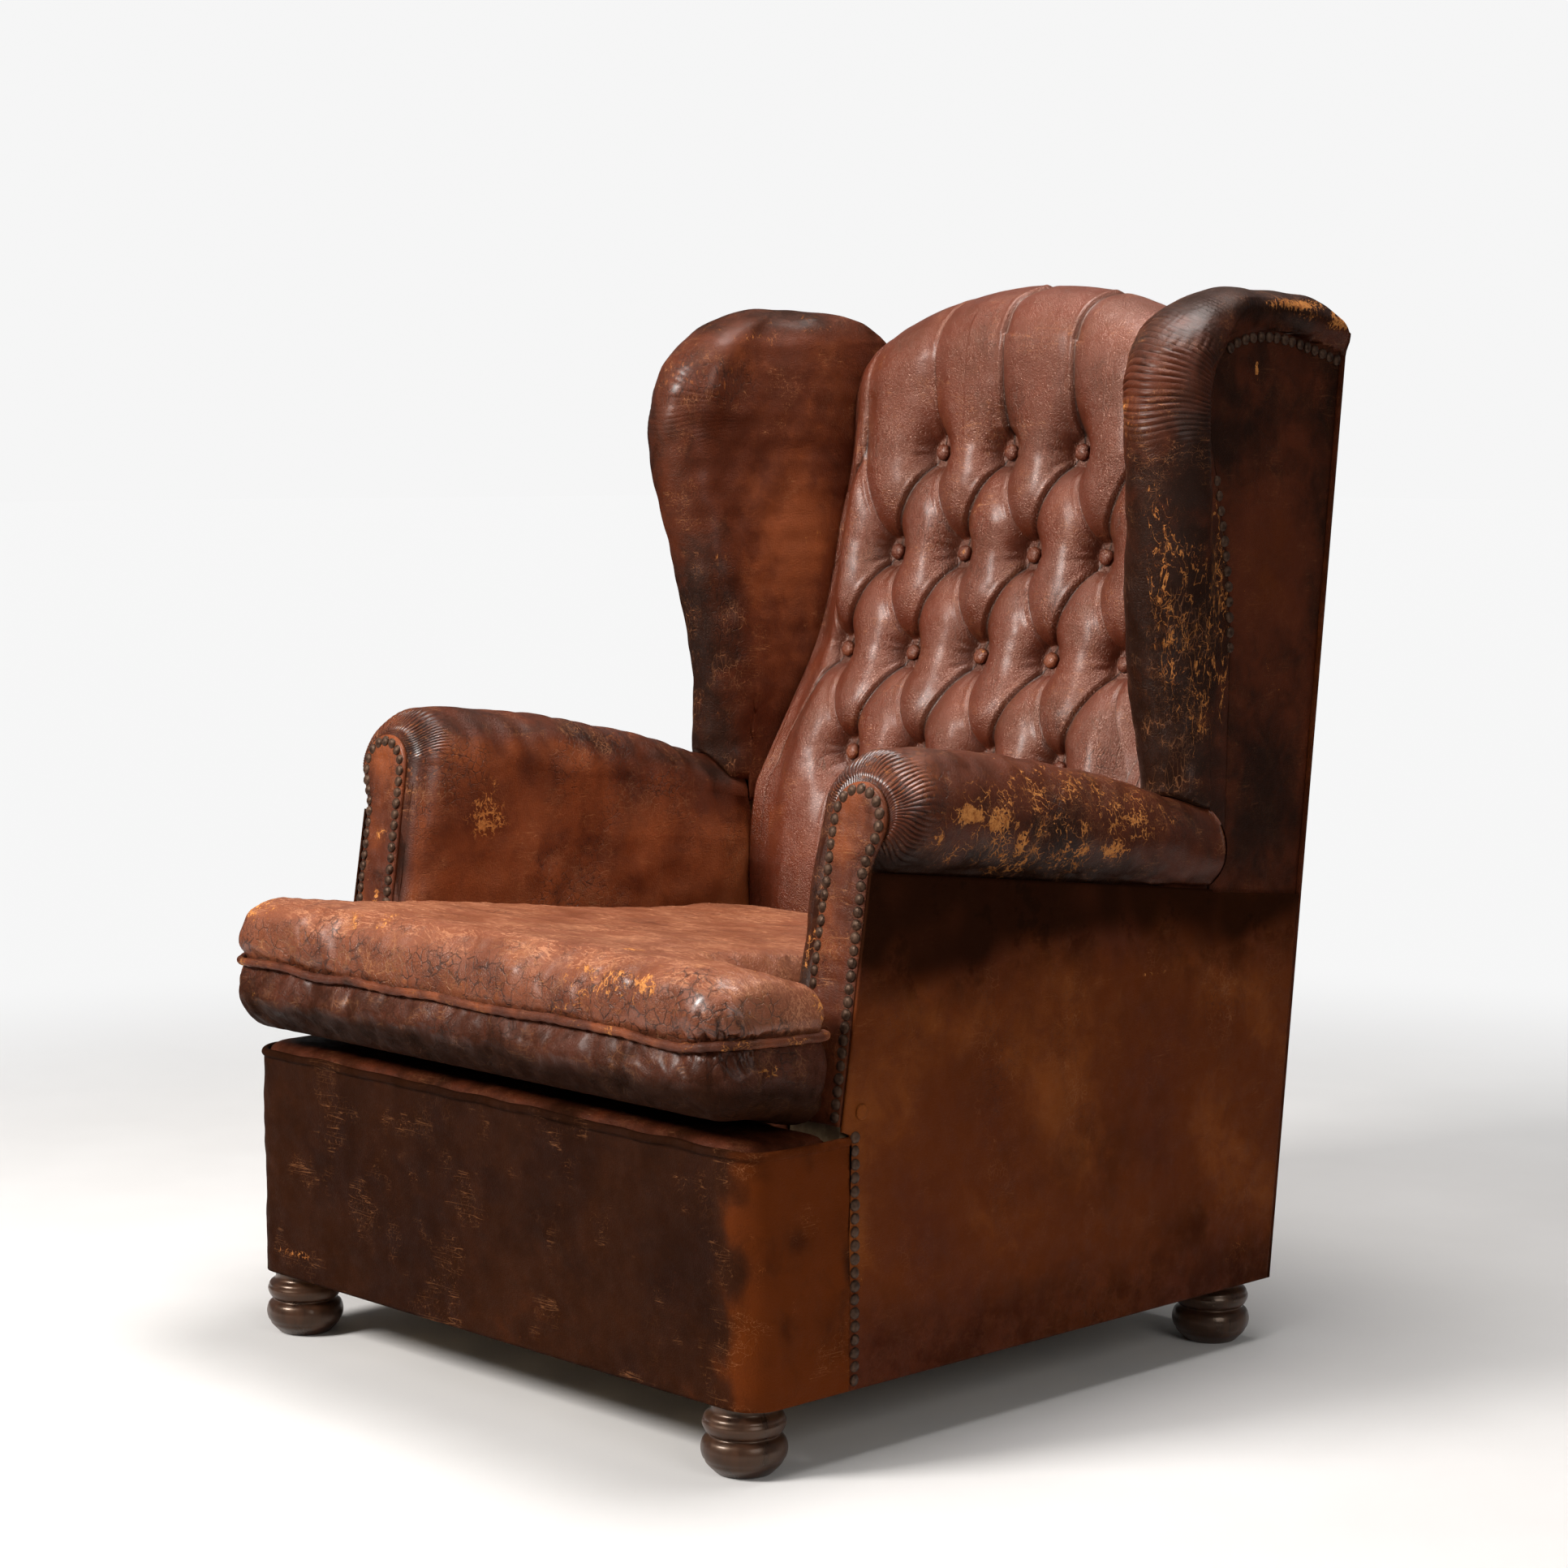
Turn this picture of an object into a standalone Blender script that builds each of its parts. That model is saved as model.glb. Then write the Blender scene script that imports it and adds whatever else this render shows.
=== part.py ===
"""A worn high-backed wing chair in leather, on four turned feet.

Metres, +Z up, the floor at Z = 0.  The chair faces -Y; its right side, as it stands
in the front view, is +X.  Every upholstered piece is one closed body with a gap of
FIT to its neighbour, so the frame, the springs and the covers come apart as they
would on a bench.
"""
import math

import bmesh
import bpy
from mathutils import Matrix, Vector

# ---- driving dimensions -------------------------------------------------------
FIT = 0.0003                # gap between two pieces that touch
HIDE = 0.003                # a leather cover with its lining

BASE_HALF = 0.371           # outer face of the base, from the middle
BASE_FRONT = -0.400         # front face of the base
BASE_BOTTOM = 0.063         # underside of the base, on top of the feet
BASE_TOP = 0.287            # centre of the welt along the front border
CORNER_R = 0.032            # rounded front corners of the base
SEAM_Y = -0.282             # where the front border meets the outside arm panel

BACK_Y0 = 0.307             # outer face of the back at the floor
BACK_LEAN = 0.110           # how far it leans back for each metre of height
BACK_TOP = 0.985            # top of the back frame

RAIL_BOTTOM = 0.0665        # seat rails stop above the webbing
RAIL_TOP = 0.260
RAIL_T = 0.025
BLOCK = 0.083               # corner block, square in plan
POST_T = 0.040              # back post, square in section
POST_X = (0.310, 0.350)

FOOT_X = 0.328
FOOT_Y = (-0.369, 0.274)
PEG_R = 0.009
PEG_LENGTH = 0.040

DECK_TOP = 0.2975
DECK_HALF = 0.2997

ARM_IN = 0.277              # inner face of an arm beside the cushion
ARM_WALL = 0.3003           # outer side of that inner wall
ARM_END = 0.215             # rear end of an arm
ROLL_X = 0.341              # middle of an arm's roll
ROLL_HALF = 0.056           # half its width
FACING_FOOT = (-0.291, 0.300)   # facing plane, (y, z) at the deck
FACING_HEAD = (-0.245, 0.590)   # and at the top of the arm
FACING_T = 0.0045           # board and leather of a facing
FACING_X = 0.336            # middle of its strip
FACING_HALF = 0.0240        # half width to the line of nails
HEAD_X = 0.346              # middle of its round head
HEAD_Z = 0.566
NAIL_MARGIN = 0.0065        # leather outside a line of nails
BOARD_OUT = 0.3630          # outer side of the arm and wing boards
ARM_POST_T = 0.022
RAIL_DEPTH = 0.050          # height of an arm rail
HOOK = (0.525, 0.116)       # underside of a roll: height at y = 0, fall per metre

WING_IN = 0.2648            # inner face of a wing at the back
WING_NOSE_R = 0.046         # radius of its rounded front
WING_BOARD = (0.340, BOARD_OUT)
WING_PANEL = (0.3635, 0.3665)
WING_BOTTOM = 0.5026        # behind the arm; its nose rests on the arm's roll
LAP_BOTTOM = 0.530          # lowest the nose drapes over the roll

PAD_HALF = 0.2642           # half width of the buttoned back
BUTTON_STEP = 0.100         # sideways from button to button
BUTTON_TOP = 0.890          # highest and lowest rows of buttons
BUTTON_LOW = 0.5654
BUTTON_R = 0.0085

CUSHION_FRONT = -0.4343
CUSHION_REAR = 0.150
CUSHION_HALF = 0.268        # between the arms
CUSHION_FALL = 0.042        # how far its worn top sinks towards the back
EAR_HALF = 0.370            # in front of the arms
EAR_REAR = -0.3005
CUSHION_BOTTOM = 0.2978
SEAM_Z = 0.385
PIPING_R = 0.004

NAIL_R = 0.0052
NAIL_RISE = 0.004
NAIL_PITCH = 0.0112

COLOURS = {
    "leather": ((0.20, 0.065, 0.028), 0.42, 0.0),
    "panel_leather": ((0.30, 0.105, 0.035), 0.50, 0.0),
    "piping_leather": ((0.36, 0.15, 0.06), 0.55, 0.0),
    "foot_wood": ((0.045, 0.030, 0.024), 0.30, 0.0),
    "frame_wood": ((0.46, 0.33, 0.19), 0.65, 0.0),
    "jute": ((0.50, 0.40, 0.26), 0.90, 0.0),
    "deck_cloth": ((0.16, 0.12, 0.09), 0.90, 0.0),
    "spring_steel": ((0.30, 0.29, 0.28), 0.40, 1.0),
    "nail_iron": ((0.16, 0.13, 0.11), 0.50, 1.0),
}


# ---- the lines that several pieces share --------------------------------------
def back_y(z):
    """Outer face of the leaning back at height z."""
    return BACK_Y0 + BACK_LEAN * z


def facing_y(z):
    """Front plane of the arm facings, which lean back."""
    run = (FACING_HEAD[0] - FACING_FOOT[0]) / (FACING_HEAD[1] - FACING_FOOT[1])
    return FACING_FOOT[0] + run * (z - FACING_FOOT[1])


def smooth(t):
    """An S-shaped ramp from 0 to 1."""
    t = min(1.0, max(0.0, t))
    return t * t * (3.0 - 2.0 * t)


def spline(knots, samples):
    """A Catmull-Rom curve through a few knots, as a list of tuples."""
    ends = [knots[0]] + list(knots) + [knots[-1]]
    out = []
    for i in range(1, len(ends) - 2):
        a, b, c, d = (Vector(p) for p in ends[i - 1:i + 3])
        for k in range(samples):
            t = k / samples
            point = b * 2 + (c - a) * t + (a * 2 - b * 5 + c * 4 - d) * t ** 2
            point += (b * 3 - a - c * 3 + d) * t ** 3
            out.append(tuple(point * 0.5))
    out.append(tuple(knots[-1]))
    return out


def along(curve, value):
    """Second coordinate of a curve where its first is value."""
    if value <= curve[0][0]:
        return curve[0][1]
    for (u0, v0), (u1, v1) in zip(curve, curve[1:]):
        if value <= u1:
            return v0 + (v1 - v0) * (value - u0) / (u1 - u0)
    return curve[-1][1]


# a wing at each height: the y of its front tip, the x of its nose, the y of its rear,
# and the y of the front edge of its outside panel
WING_TIP = spline([(0.500, 0.178), (0.640, 0.175), (0.780, 0.150), (0.885, 0.131),
                   (0.945, 0.132), (0.985, 0.146), (1.019, 0.180), (1.035, 0.209),
                   (1.050, 0.262)], 3)
WING_NOSE = spline([(0.500, 0.319), (0.640, 0.319), (0.780, 0.333), (0.880, 0.344),
                    (0.980, 0.337), (1.050, 0.336)], 3)
WING_REAR = spline([(0.960, 0.4350), (1.006, 0.4340), (1.025, 0.413), (1.037, 0.388),
                    (1.050, 0.340)], 3)
PANEL_EDGE = spline([(0.440, 0.236), (0.580, 0.241), (0.730, 0.243), (0.830, 0.228),
                     (0.915, 0.209), (0.968, 0.217)], 4)
# (y, height) of the outside wing panel's arched top
PANEL_ARCH = spline([(0.217, 0.968), (0.228, 0.990), (0.255, 1.004), (0.300, 1.008),
                     (0.350, 1.001), (0.4155, 0.9853)], 3)


def roll_shape(y):
    """Middle height and half height of an arm's roll at depth y."""
    fall = min(1.0, max(0.0, (y + 0.170) / 0.380))
    top = 0.626 - 0.075 * fall ** 1.3
    half = (top - roll_flank(y)) / 1.866
    return top - half, half


def roll_flank(y):
    """Height at which an arm's roll meets the outside arm panel."""
    return 0.494 - 0.121 * y


# ---- making objects -----------------------------------------------------------
def material(name):
    """The Principled material of one kind of stuff."""
    found = bpy.data.materials.get(name)
    if found:
        return found
    colour, roughness, metallic = COLOURS[name]
    made = bpy.data.materials.new(name)
    made.use_nodes = True
    shader = made.node_tree.nodes["Principled BSDF"]
    shader.inputs["Base Color"].default_value = (*colour, 1.0)
    shader.inputs["Roughness"].default_value = roughness
    shader.inputs["Metallic"].default_value = metallic
    made.diffuse_color = (*colour, 1.0)
    return made


def finish(name, bm, stuff, angle=50.0):
    """Turn a bmesh into a named object with outward faces; angle 0 leaves them flat."""
    bmesh.ops.recalc_face_normals(bm, faces=bm.faces)
    mesh = bpy.data.meshes.new(name)
    bm.to_mesh(mesh)
    bm.free()
    if angle:
        mesh.shade_smooth()
        mesh.set_sharp_from_angle(angle=math.radians(angle))
    own = material(stuff).copy()
    own.name = name + "_" + stuff
    mesh.materials.append(own)
    made = bpy.data.objects.new(name, mesh)
    bpy.context.scene.collection.objects.link(made)
    return made


def loft(sections, closed=False):
    """A bmesh skin over rings of equal length, capped unless it closes on itself."""
    bm = bmesh.new()
    rings = [[bm.verts.new(p) for p in ring] for ring in sections]
    pairs = list(zip(rings, rings[1:]))
    if closed:
        pairs.append((rings[-1], rings[0]))
    for low, high in pairs:
        for i in range(len(low)):
            j = (i + 1) % len(low)
            bm.faces.new((low[i], low[j], high[j], high[i]))
    if not closed:
        bm.faces.new(rings[0])
        bm.faces.new(rings[-1])
    return bm


def box(name, xs, ys, zs, stuff):
    """A plain block between three pairs of planes."""
    plan = [(xs[0], ys[0]), (xs[1], ys[0]), (xs[1], ys[1]), (xs[0], ys[1])]
    return finish(name, loft([[(x, y, z) for x, y in plan] for z in zs]), stuff)


def side_prism(outline, xs):
    """A bmesh of a (y, z) outline drawn out along X."""
    return loft([[(x, y, z) for y, z in outline] for x in xs])


def lathe(profile, segments):
    """A bmesh turned about Z from (radius, height) pairs, bottom to top."""
    rings = []
    for radius, height in profile:
        turn = [2.0 * math.pi * k / segments for k in range(segments)]
        rings.append([(radius * math.cos(a), radius * math.sin(a), height) for a in turn])
    return loft(rings)


def tube(path, radius, sides, closed=False):
    """A bmesh tube along a list of points, its rings square to the path."""
    rings = []
    count = len(path)
    for i, point in enumerate(path):
        before = path[i - 1] if closed or i else path[i]
        after = path[(i + 1) % count] if closed or i < count - 1 else path[i]
        ahead = (Vector(after) - Vector(before)).normalized()
        across = ahead.cross(Vector((0, 0, 1))).normalized()
        up = across.cross(ahead)
        turn = [2.0 * math.pi * k / sides for k in range(sides)]
        rings.append([Vector(point) + (across * math.cos(a) + up * math.sin(a)) * radius
                      for a in turn])
    return loft(rings, closed)


def boolean(target, tool, operation):
    """Cut a tool out of a target, or fuse it on, and keep the tool hidden."""
    tool.hide_render = True
    tool.display_type = "WIRE"
    step = target.modifiers.new(operation.lower(), "BOOLEAN")
    step.operation = operation
    step.object = tool
    step.solver = "EXACT"


def cutter(name, bm):
    """A tool that only cuts."""
    return finish(name, bm, "frame_wood")


def mirrored(points, side):
    """Points of the +X side, moved to the given side."""
    return [(side * x, y, z) for x, y, z in points]


def side_name(name, side):
    """Name with _right for +X and _left for -X."""
    return name + ("_right" if side > 0 else "_left")


def spaced(path, pitch):
    """Points at an even pitch along a path, with the path's direction there."""
    lengths = [0.0]
    for a, b in zip(path, path[1:]):
        lengths.append(lengths[-1] + (Vector(b) - Vector(a)).length)
    count = int(lengths[-1] / pitch)
    out = []
    for k in range(count + 1):
        reach = lengths[-1] * k / count
        i = max(j for j in range(len(path) - 1) if lengths[j] <= reach + 1e-9)
        t = (reach - lengths[i]) / (lengths[i + 1] - lengths[i])
        out.append(Vector(path[i]).lerp(Vector(path[i + 1]), t))
    return out


def add_nails(carrier, name, places, normal):
    """Fuse a row of low pointed nail heads to the panel that they hold."""
    bm = bmesh.new()
    out = Vector(normal).normalized()
    across = out.cross(Vector((0, 0, 1))).normalized()
    up = across.cross(out)
    for place in places:
        foot = Vector(place) - out * 0.001
        rim = [bm.verts.new(foot + (across * math.cos(a) + up * math.sin(a)) * NAIL_R)
               for a in (math.pi * k / 3.0 for k in range(6))]
        crown = bm.verts.new(foot + out * (0.001 + NAIL_RISE))
        for i in range(6):
            bm.faces.new((rim[i], rim[(i + 1) % 6], crown))
        bm.faces.new(rim)
    boolean(carrier, finish(name, bm, "nail_iron"), "UNION")


# ---- feet and frame -----------------------------------------------------------
def foot(name, x, y):
    """A turned bun foot: floor, bun, groove, ring, neck and peg."""
    profile = [(0.0245, 0.0), (0.0275, 0.003), (0.0350, 0.011), (0.0385, 0.021),
               (0.0365, 0.030), (0.0315, 0.0345), (0.0345, 0.038), (0.0372, 0.045),
               (0.0350, 0.052), (0.0300, 0.056), (0.0290, BASE_BOTTOM - FIT)]
    profile += [(PEG_R, BASE_BOTTOM - FIT), (PEG_R, BASE_BOTTOM + PEG_LENGTH)]
    made = finish(name, lathe(profile, 16), "foot_wood", 35.0)
    made.location = (x, y, 0.0)


def peg_hole(name, x, y):
    """The tool that bores a corner block for a foot's peg."""
    made = cutter(name, lathe([(PEG_R + FIT, 0.0), (PEG_R + FIT, PEG_LENGTH + 0.002)], 20))
    made.location = (x, y, BASE_BOTTOM - 0.001)
    return made


def front_block(side):
    """Corner block behind a rounded front corner."""
    high = BASE_HALF - HIDE - 2 * FIT
    front = BASE_FRONT + HIDE + 2 * FIT
    radius = CORNER_R - HIDE - 2 * FIT
    centre = (high - radius, front + radius)
    plan = [(high - BLOCK, front + BLOCK), (high - BLOCK, front)]
    for k in range(7):
        turn = -math.pi / 2 + math.pi / 2 * k / 6
        plan.append((centre[0] + radius * math.cos(turn), centre[1] + radius * math.sin(turn)))
    plan.append((high, front + BLOCK))
    rings = [mirrored([(x, y, z) for x, y in plan], side) for z in (BASE_BOTTOM, RAIL_TOP)]
    made = finish(side_name("corner_block_front", side), loft(rings), "frame_wood")
    hole = peg_hole(side_name("front_peg_hole", side), side * FOOT_X, FOOT_Y[0])
    boolean(made, hole, "DIFFERENCE")


def rear_block(side):
    """Corner block behind, cut to the back's lean."""
    high = BASE_HALF - HIDE - 2 * FIT
    reach = -HIDE - 2 * FIT
    front = back_y(BASE_BOTTOM) + reach - BLOCK
    outline = [(front, BASE_BOTTOM), (back_y(BASE_BOTTOM) + reach, BASE_BOTTOM),
               (back_y(RAIL_TOP) + reach, RAIL_TOP), (front, RAIL_TOP)]
    bm = side_prism(outline, (side * (high - BLOCK), side * high))
    made = finish(side_name("corner_block_back", side), bm, "frame_wood")
    hole = peg_hole(side_name("back_peg_hole", side), side * FOOT_X, FOOT_Y[1])
    boolean(made, hole, "DIFFERENCE")


def leaning_rail(name, half, bottom, top, near, far):
    """A cross rail that leans with the back, near and far from its outer face."""
    outline = [(back_y(bottom) - near, bottom), (back_y(bottom) - far, bottom),
               (back_y(top) - far, top), (back_y(top) - near, top)]
    finish(name, side_prism(outline, (-half, half)), "frame_wood")


def frame():
    """Rails, posts, boards and blocks of the wooden frame."""
    high = BASE_HALF - HIDE - 2 * FIT
    front = BASE_FRONT + HIDE + 2 * FIT
    inner = high - BLOCK - FIT
    rail_z = (RAIL_BOTTOM, RAIL_TOP)
    lining = HIDE + 2 * FIT
    rear = back_y(BASE_BOTTOM) - lining - BLOCK - FIT
    box("seat_rail_front", (-inner, inner), (front, front + RAIL_T), rail_z, "frame_wood")
    leaning_rail("seat_rail_back", inner, *rail_z, lining + RAIL_T, lining)
    leaning_rail("lower_back_rail", POST_X[0] - FIT, 0.380, 0.420, lining + POST_T, lining + 0.012)
    leaning_rail("top_rail", POST_X[0] - FIT, 0.940, BACK_TOP, lining + POST_T, lining)
    for side in (1, -1):
        xs = sorted((side * (high - RAIL_T), side * high))
        ys = (front + BLOCK + FIT, rear)
        box(side_name("seat_rail", side), xs, ys, rail_z, "frame_wood")
        front_block(side)
        rear_block(side)
        back_post(side)
        arm_post(side)
        arm_rail(side)
        wing_board(side)


def back_post(side):
    """Upright of the back, on top of the rear corner block."""
    low = RAIL_TOP + FIT
    lining = HIDE + 2 * FIT
    outline = [(back_y(low) - lining - POST_T, low), (back_y(low) - lining, low),
               (back_y(BACK_TOP) - lining, BACK_TOP),
               (back_y(BACK_TOP) - lining - POST_T, BACK_TOP)]
    bm = side_prism(outline, [side * x for x in POST_X])
    finish(side_name("back_post", side), bm, "frame_wood")


def hook_z(y):
    """Underside of an arm's roll, where it lies straight on the arm rail."""
    return HOOK[0] - HOOK[1] * y


def arm_post(side):
    """Front upright of an arm, behind its facing."""
    low = RAIL_TOP + FIT
    top = hook_z(facing_y(0.55)) - 0.002
    near = FACING_T + 2 * FIT
    far = near + ARM_POST_T
    outline = [(facing_y(low) + near, low), (facing_y(low) + far, low),
               (facing_y(top) + far, top - HOOK[1] * ARM_POST_T), (facing_y(top) + near, top)]
    bm = side_prism(outline, [side * (ARM_WALL + FIT), side * BOARD_OUT])
    finish(side_name("arm_post", side), bm, "frame_wood")


def arm_rail(side):
    """Board under an arm's roll, from the arm post to the back post."""
    start = facing_y(0.55) + FACING_T + ARM_POST_T + 4 * FIT
    depths = [start + (ARM_END - start) * k / 5 for k in range(6)]
    top = [(y, hook_z(y) - FIT) for y in depths]
    rear = back_y(0.445) - HIDE - 2 * FIT - POST_T - 2 * FIT
    top.append((rear, hook_z(ARM_END) - FIT))
    low = [(y, z - RAIL_DEPTH) for y, z in reversed(top)]
    low[-1] = (start + 0.004, low[-1][1])
    bm = side_prism(top + low, [side * (ARM_WALL + 0.012), side * 0.3390])
    finish(side_name("arm_rail", side), bm, "frame_wood")


def panel_outline():
    """Outline of an outside wing panel in (y, z), from its lower front corner."""
    edge = [(y, z) for z, y in PANEL_EDGE]
    arch = PANEL_ARCH[1:]
    inset = HIDE + 2 * FIT
    rear = [(back_y(BACK_TOP) - inset, BACK_TOP), (back_y(0.440) - inset, 0.440)]
    arch = [p for p in arch if p[0] < rear[0][0] - 0.002]
    return edge + arch + rear


def wing_board(side):
    """Wooden board inside a wing, shaped like the outside panel."""
    floor = hook_z(ARM_END) + 0.002
    inset = HIDE + 2 * FIT + POST_T + FIT
    edge = [(y + 0.004, z) for z, y in PANEL_EDGE if z > floor + 0.01]
    arch = [(y, z - 0.004) for y, z in PANEL_ARCH[2:] if y < back_y(z) - inset - 0.002]
    low = [(along([(z, y) for z, y in PANEL_EDGE], floor) + 0.004, floor)]
    corner = back_y(0.980) - inset
    rear = [(corner, along(PANEL_ARCH, corner) - 0.004), (back_y(floor) - inset, floor)]
    bm = side_prism(low + edge + arch + rear, [side * x for x in WING_BOARD])
    finish(side_name("wing_board", side), bm, "frame_wood")


# ---- seat ---------------------------------------------------------------------
def webbing():
    """Jute straps across and along the seat, tacked under the rails."""
    width = 0.052
    xs = sorted(x + side * width / 2 for x in (-0.195, -0.065, 0.065, 0.195)
                for side in (-1, 1))
    ys = sorted(y + side * width / 2 for y in (-0.215, -0.0813, 0.0523, 0.186)
                for side in (-1, 1))
    xs = [-0.362] + xs + [0.362]
    ys = [-0.390] + ys + [0.305]
    zs = (RAIL_BOTTOM - FIT - HIDE, RAIL_BOTTOM - FIT)
    bm = bmesh.new()
    made = {}

    def vert(i, j, k):
        if (i, j, k) not in made:
            made[i, j, k] = bm.verts.new((xs[i], ys[j], zs[k]))
        return made[i, j, k]

    def strap(i, j):
        inside = 0 <= i < len(xs) - 1 and 0 <= j < len(ys) - 1
        return inside and (i % 2 == 1 or j % 2 == 1)

    for i in range(len(xs) - 1):
        for j in range(len(ys) - 1):
            if not strap(i, j):
                continue
            ring = [(i, j), (i + 1, j), (i + 1, j + 1), (i, j + 1)]
            for k in (0, 1):
                bm.faces.new([vert(a, b, k) for a, b in ring])
            near = ((i, j - 1), (i + 1, j), (i, j + 1), (i - 1, j))
            for n, place in enumerate(near):
                if not strap(*place):
                    a, b = ring[n], ring[(n + 1) % 4]
                    bm.faces.new((vert(*a, 0), vert(*b, 0), vert(*b, 1), vert(*a, 1)))
    finish("seat_webbing", bm, "jute")


def strap_end():
    """Frayed end of a strap that hangs below the webbing at the front left."""
    top = RAIL_BOTTOM - 2 * FIT - HIDE
    path = [(-0.330, top - 0.0012), (-0.318, top - 0.0012), (-0.304, 0.056),
            (-0.299, 0.046), (-0.304, 0.036), (-0.299, 0.030)]
    path = spline(path, 3)
    rings = []
    for i, (y, z) in enumerate(path):
        back = path[max(0, i - 1)]
        ahead = path[min(len(path) - 1, i + 1)]
        run = Vector((ahead[0] - back[0], ahead[1] - back[1])).normalized() * 0.001
        taper = 0.019 * (1.0 - 0.35 * i / (len(path) - 1))
        low, high = -0.222 - taper, -0.222 + taper
        rings.append([(low, y - run.y, z + run.x), (high, y - run.y, z + run.x),
                      (high, y + run.y, z - run.x), (low, y + run.y, z - run.x)])
    finish("strap_end", loft(rings), "jute")


def springs():
    """Four waisted coil springs between the webbing and the deck."""
    wire = 0.0022
    low = RAIL_BOTTOM + wire
    high = RAIL_TOP - wire
    turns, step = 5, 6
    for n, (x, y) in enumerate([(-0.130, -0.15), (0.130, -0.15), (-0.130, 0.12), (0.130, 0.12)]):
        path = []
        for k in range(turns * step + 1):
            t = k / (turns * step)
            radius = 0.030 + 0.014 * (2.0 * t - 1.0) ** 2
            turn = 2.0 * math.pi * k / step
            path.append((x + radius * math.cos(turn), y + radius * math.sin(turn),
                         low + (high - low) * t))
        finish("coil_spring_%d" % (n + 1), tube(path, wire, 4), "spring_steel")


def rounded(corners, radii, steps=4):
    """A plan outline with each corner rounded to its own radius, anticlockwise."""
    out = []
    for i, (corner, radius) in enumerate(zip(corners, radii)):
        here = Vector(corner)
        before = (Vector(corners[i - 1]) - here).normalized()
        after = (Vector(corners[(i + 1) % len(corners)]) - here).normalized()
        middle = here + (before + after) * radius
        for k in range(steps + 1):
            turn = math.pi / 2 * k / steps
            out.append(middle - after * radius * math.cos(turn) - before * radius * math.sin(turn))
    return [tuple(p) for p in out]


def tee(front, rear, half, ear_half, ear_rear):
    """The T plan of the cushion and the deck, anticlockwise from the front left."""
    return [(-ear_half, front), (ear_half, front), (ear_half, ear_rear), (half, ear_rear),
            (half, rear), (-half, rear), (-half, ear_rear), (-ear_half, ear_rear)]


def tee_ring(sides, radii, amount):
    """The T plan moved inwards by an amount, outer corners tighter, inner ones wider."""
    front, rear, half, ear_half, ear_rear = sides
    corners = tee(front + amount, rear - amount, half - amount, ear_half - amount,
                  ear_rear - amount)
    turned = [max(0.003, radius - amount) for radius in radii]
    turned[3], turned[6] = radii[3] + amount, radii[6] + amount
    return rounded(corners, turned)


def stack(sides, radii, levels):
    """Rings of a T plan at (inset, height) levels."""
    rings = []
    for amount, height in levels:
        rings.append([(x, y, height) for x, y in tee_ring(sides, radii, amount)])
    return rings


def deck():
    """Covered platform that the cushion lies on, T-shaped like it."""
    front = BASE_FRONT + HIDE + 2 * FIT
    ear = BASE_HALF - HIDE - 2 * FIT
    rear = back_y(RAIL_TOP) - HIDE - POST_T - 4 * FIT
    corner = CORNER_R - HIDE
    radii = [corner, corner, 0.006, 0.006, 0.012, 0.012, 0.006, 0.006]
    levels = [(0.0, RAIL_TOP + FIT), (0.0, 0.280), (0.006, 0.292), (0.014, DECK_TOP)]
    sides = (front, rear, DECK_HALF, ear, facing_y(RAIL_TOP) - 0.006)
    finish("seat_deck", loft(stack(sides, radii, levels)), "deck_cloth")


CUSHION_SIDES = (CUSHION_FRONT, CUSHION_REAR, CUSHION_HALF, EAR_HALF, EAR_REAR)
CUSHION_RADII = (0.045, 0.045, 0.014, 0.014, 0.030, 0.030, 0.014, 0.014)


def sunk(x, y, z):
    """A point of the cushion, its worn top and seam lower towards the back."""
    share = 0.6 * smooth((z - 0.330) / 0.040) + 0.4 * smooth((z - 0.400) / 0.030)
    return (x, y, z - CUSHION_FALL * share * smooth((y + 0.400) / 0.480))


def cushion():
    """Loose seat cushion: two full borders meeting at a groove for the piping."""
    groove = PIPING_R * 1.45
    levels = [(0.040, CUSHION_BOTTOM), (0.018, 0.303), (0.004, 0.320), (-0.001, 0.345),
              (0.000, SEAM_Z - 0.008), (groove, SEAM_Z), (0.000, SEAM_Z + 0.008),
              (0.002, 0.410), (0.010, 0.427), (0.026, 0.439), (0.045, 0.445)]
    rings = [[sunk(*p) for p in ring] for ring in stack(CUSHION_SIDES, CUSHION_RADII, levels)]
    finish("seat_cushion", loft(rings), "leather")
    path = [sunk(x, y, SEAM_Z) for x, y in tee_ring(CUSHION_SIDES, CUSHION_RADII, FIT)]
    finish("cushion_piping", tube(path, PIPING_R, 5, True), "piping_leather")


# ---- outer covers -------------------------------------------------------------
def front_border():
    """Leather band round the front of the base, its welt on the top edge."""
    section = [(0.0, BASE_BOTTOM), (0.0, 0.2845)]
    for k in range(7):
        turn = math.radians(-50 + 280 * k / 6)
        section.append((-HIDE / 2 + PIPING_R * math.cos(turn), BASE_TOP + PIPING_R * math.sin(turn)))
    section += [(-HIDE, 0.2845), (-HIDE, BASE_BOTTOM)]
    path = [((BASE_HALF, SEAM_Y - FIT), (1.0, 0.0))]
    centre = (BASE_HALF - CORNER_R, BASE_FRONT + CORNER_R)
    for k in range(9):
        turn = -math.pi / 2 * k / 8
        out = (math.cos(turn), math.sin(turn))
        path.append(((centre[0] + CORNER_R * out[0], centre[1] + CORNER_R * out[1]), out))
    path += [((0.11, BASE_FRONT), (0.0, -1.0)), ((-0.11, BASE_FRONT), (0.0, -1.0))]
    path += [((-x, y), (-u, v)) for (x, y), (u, v) in reversed(path[:10])]
    rings = []
    for (x, y), (u, v) in path:
        rings.append([(x + u * reach, y + v * reach, z) for reach, z in section])
    finish("front_border", loft(rings), "leather")


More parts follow.
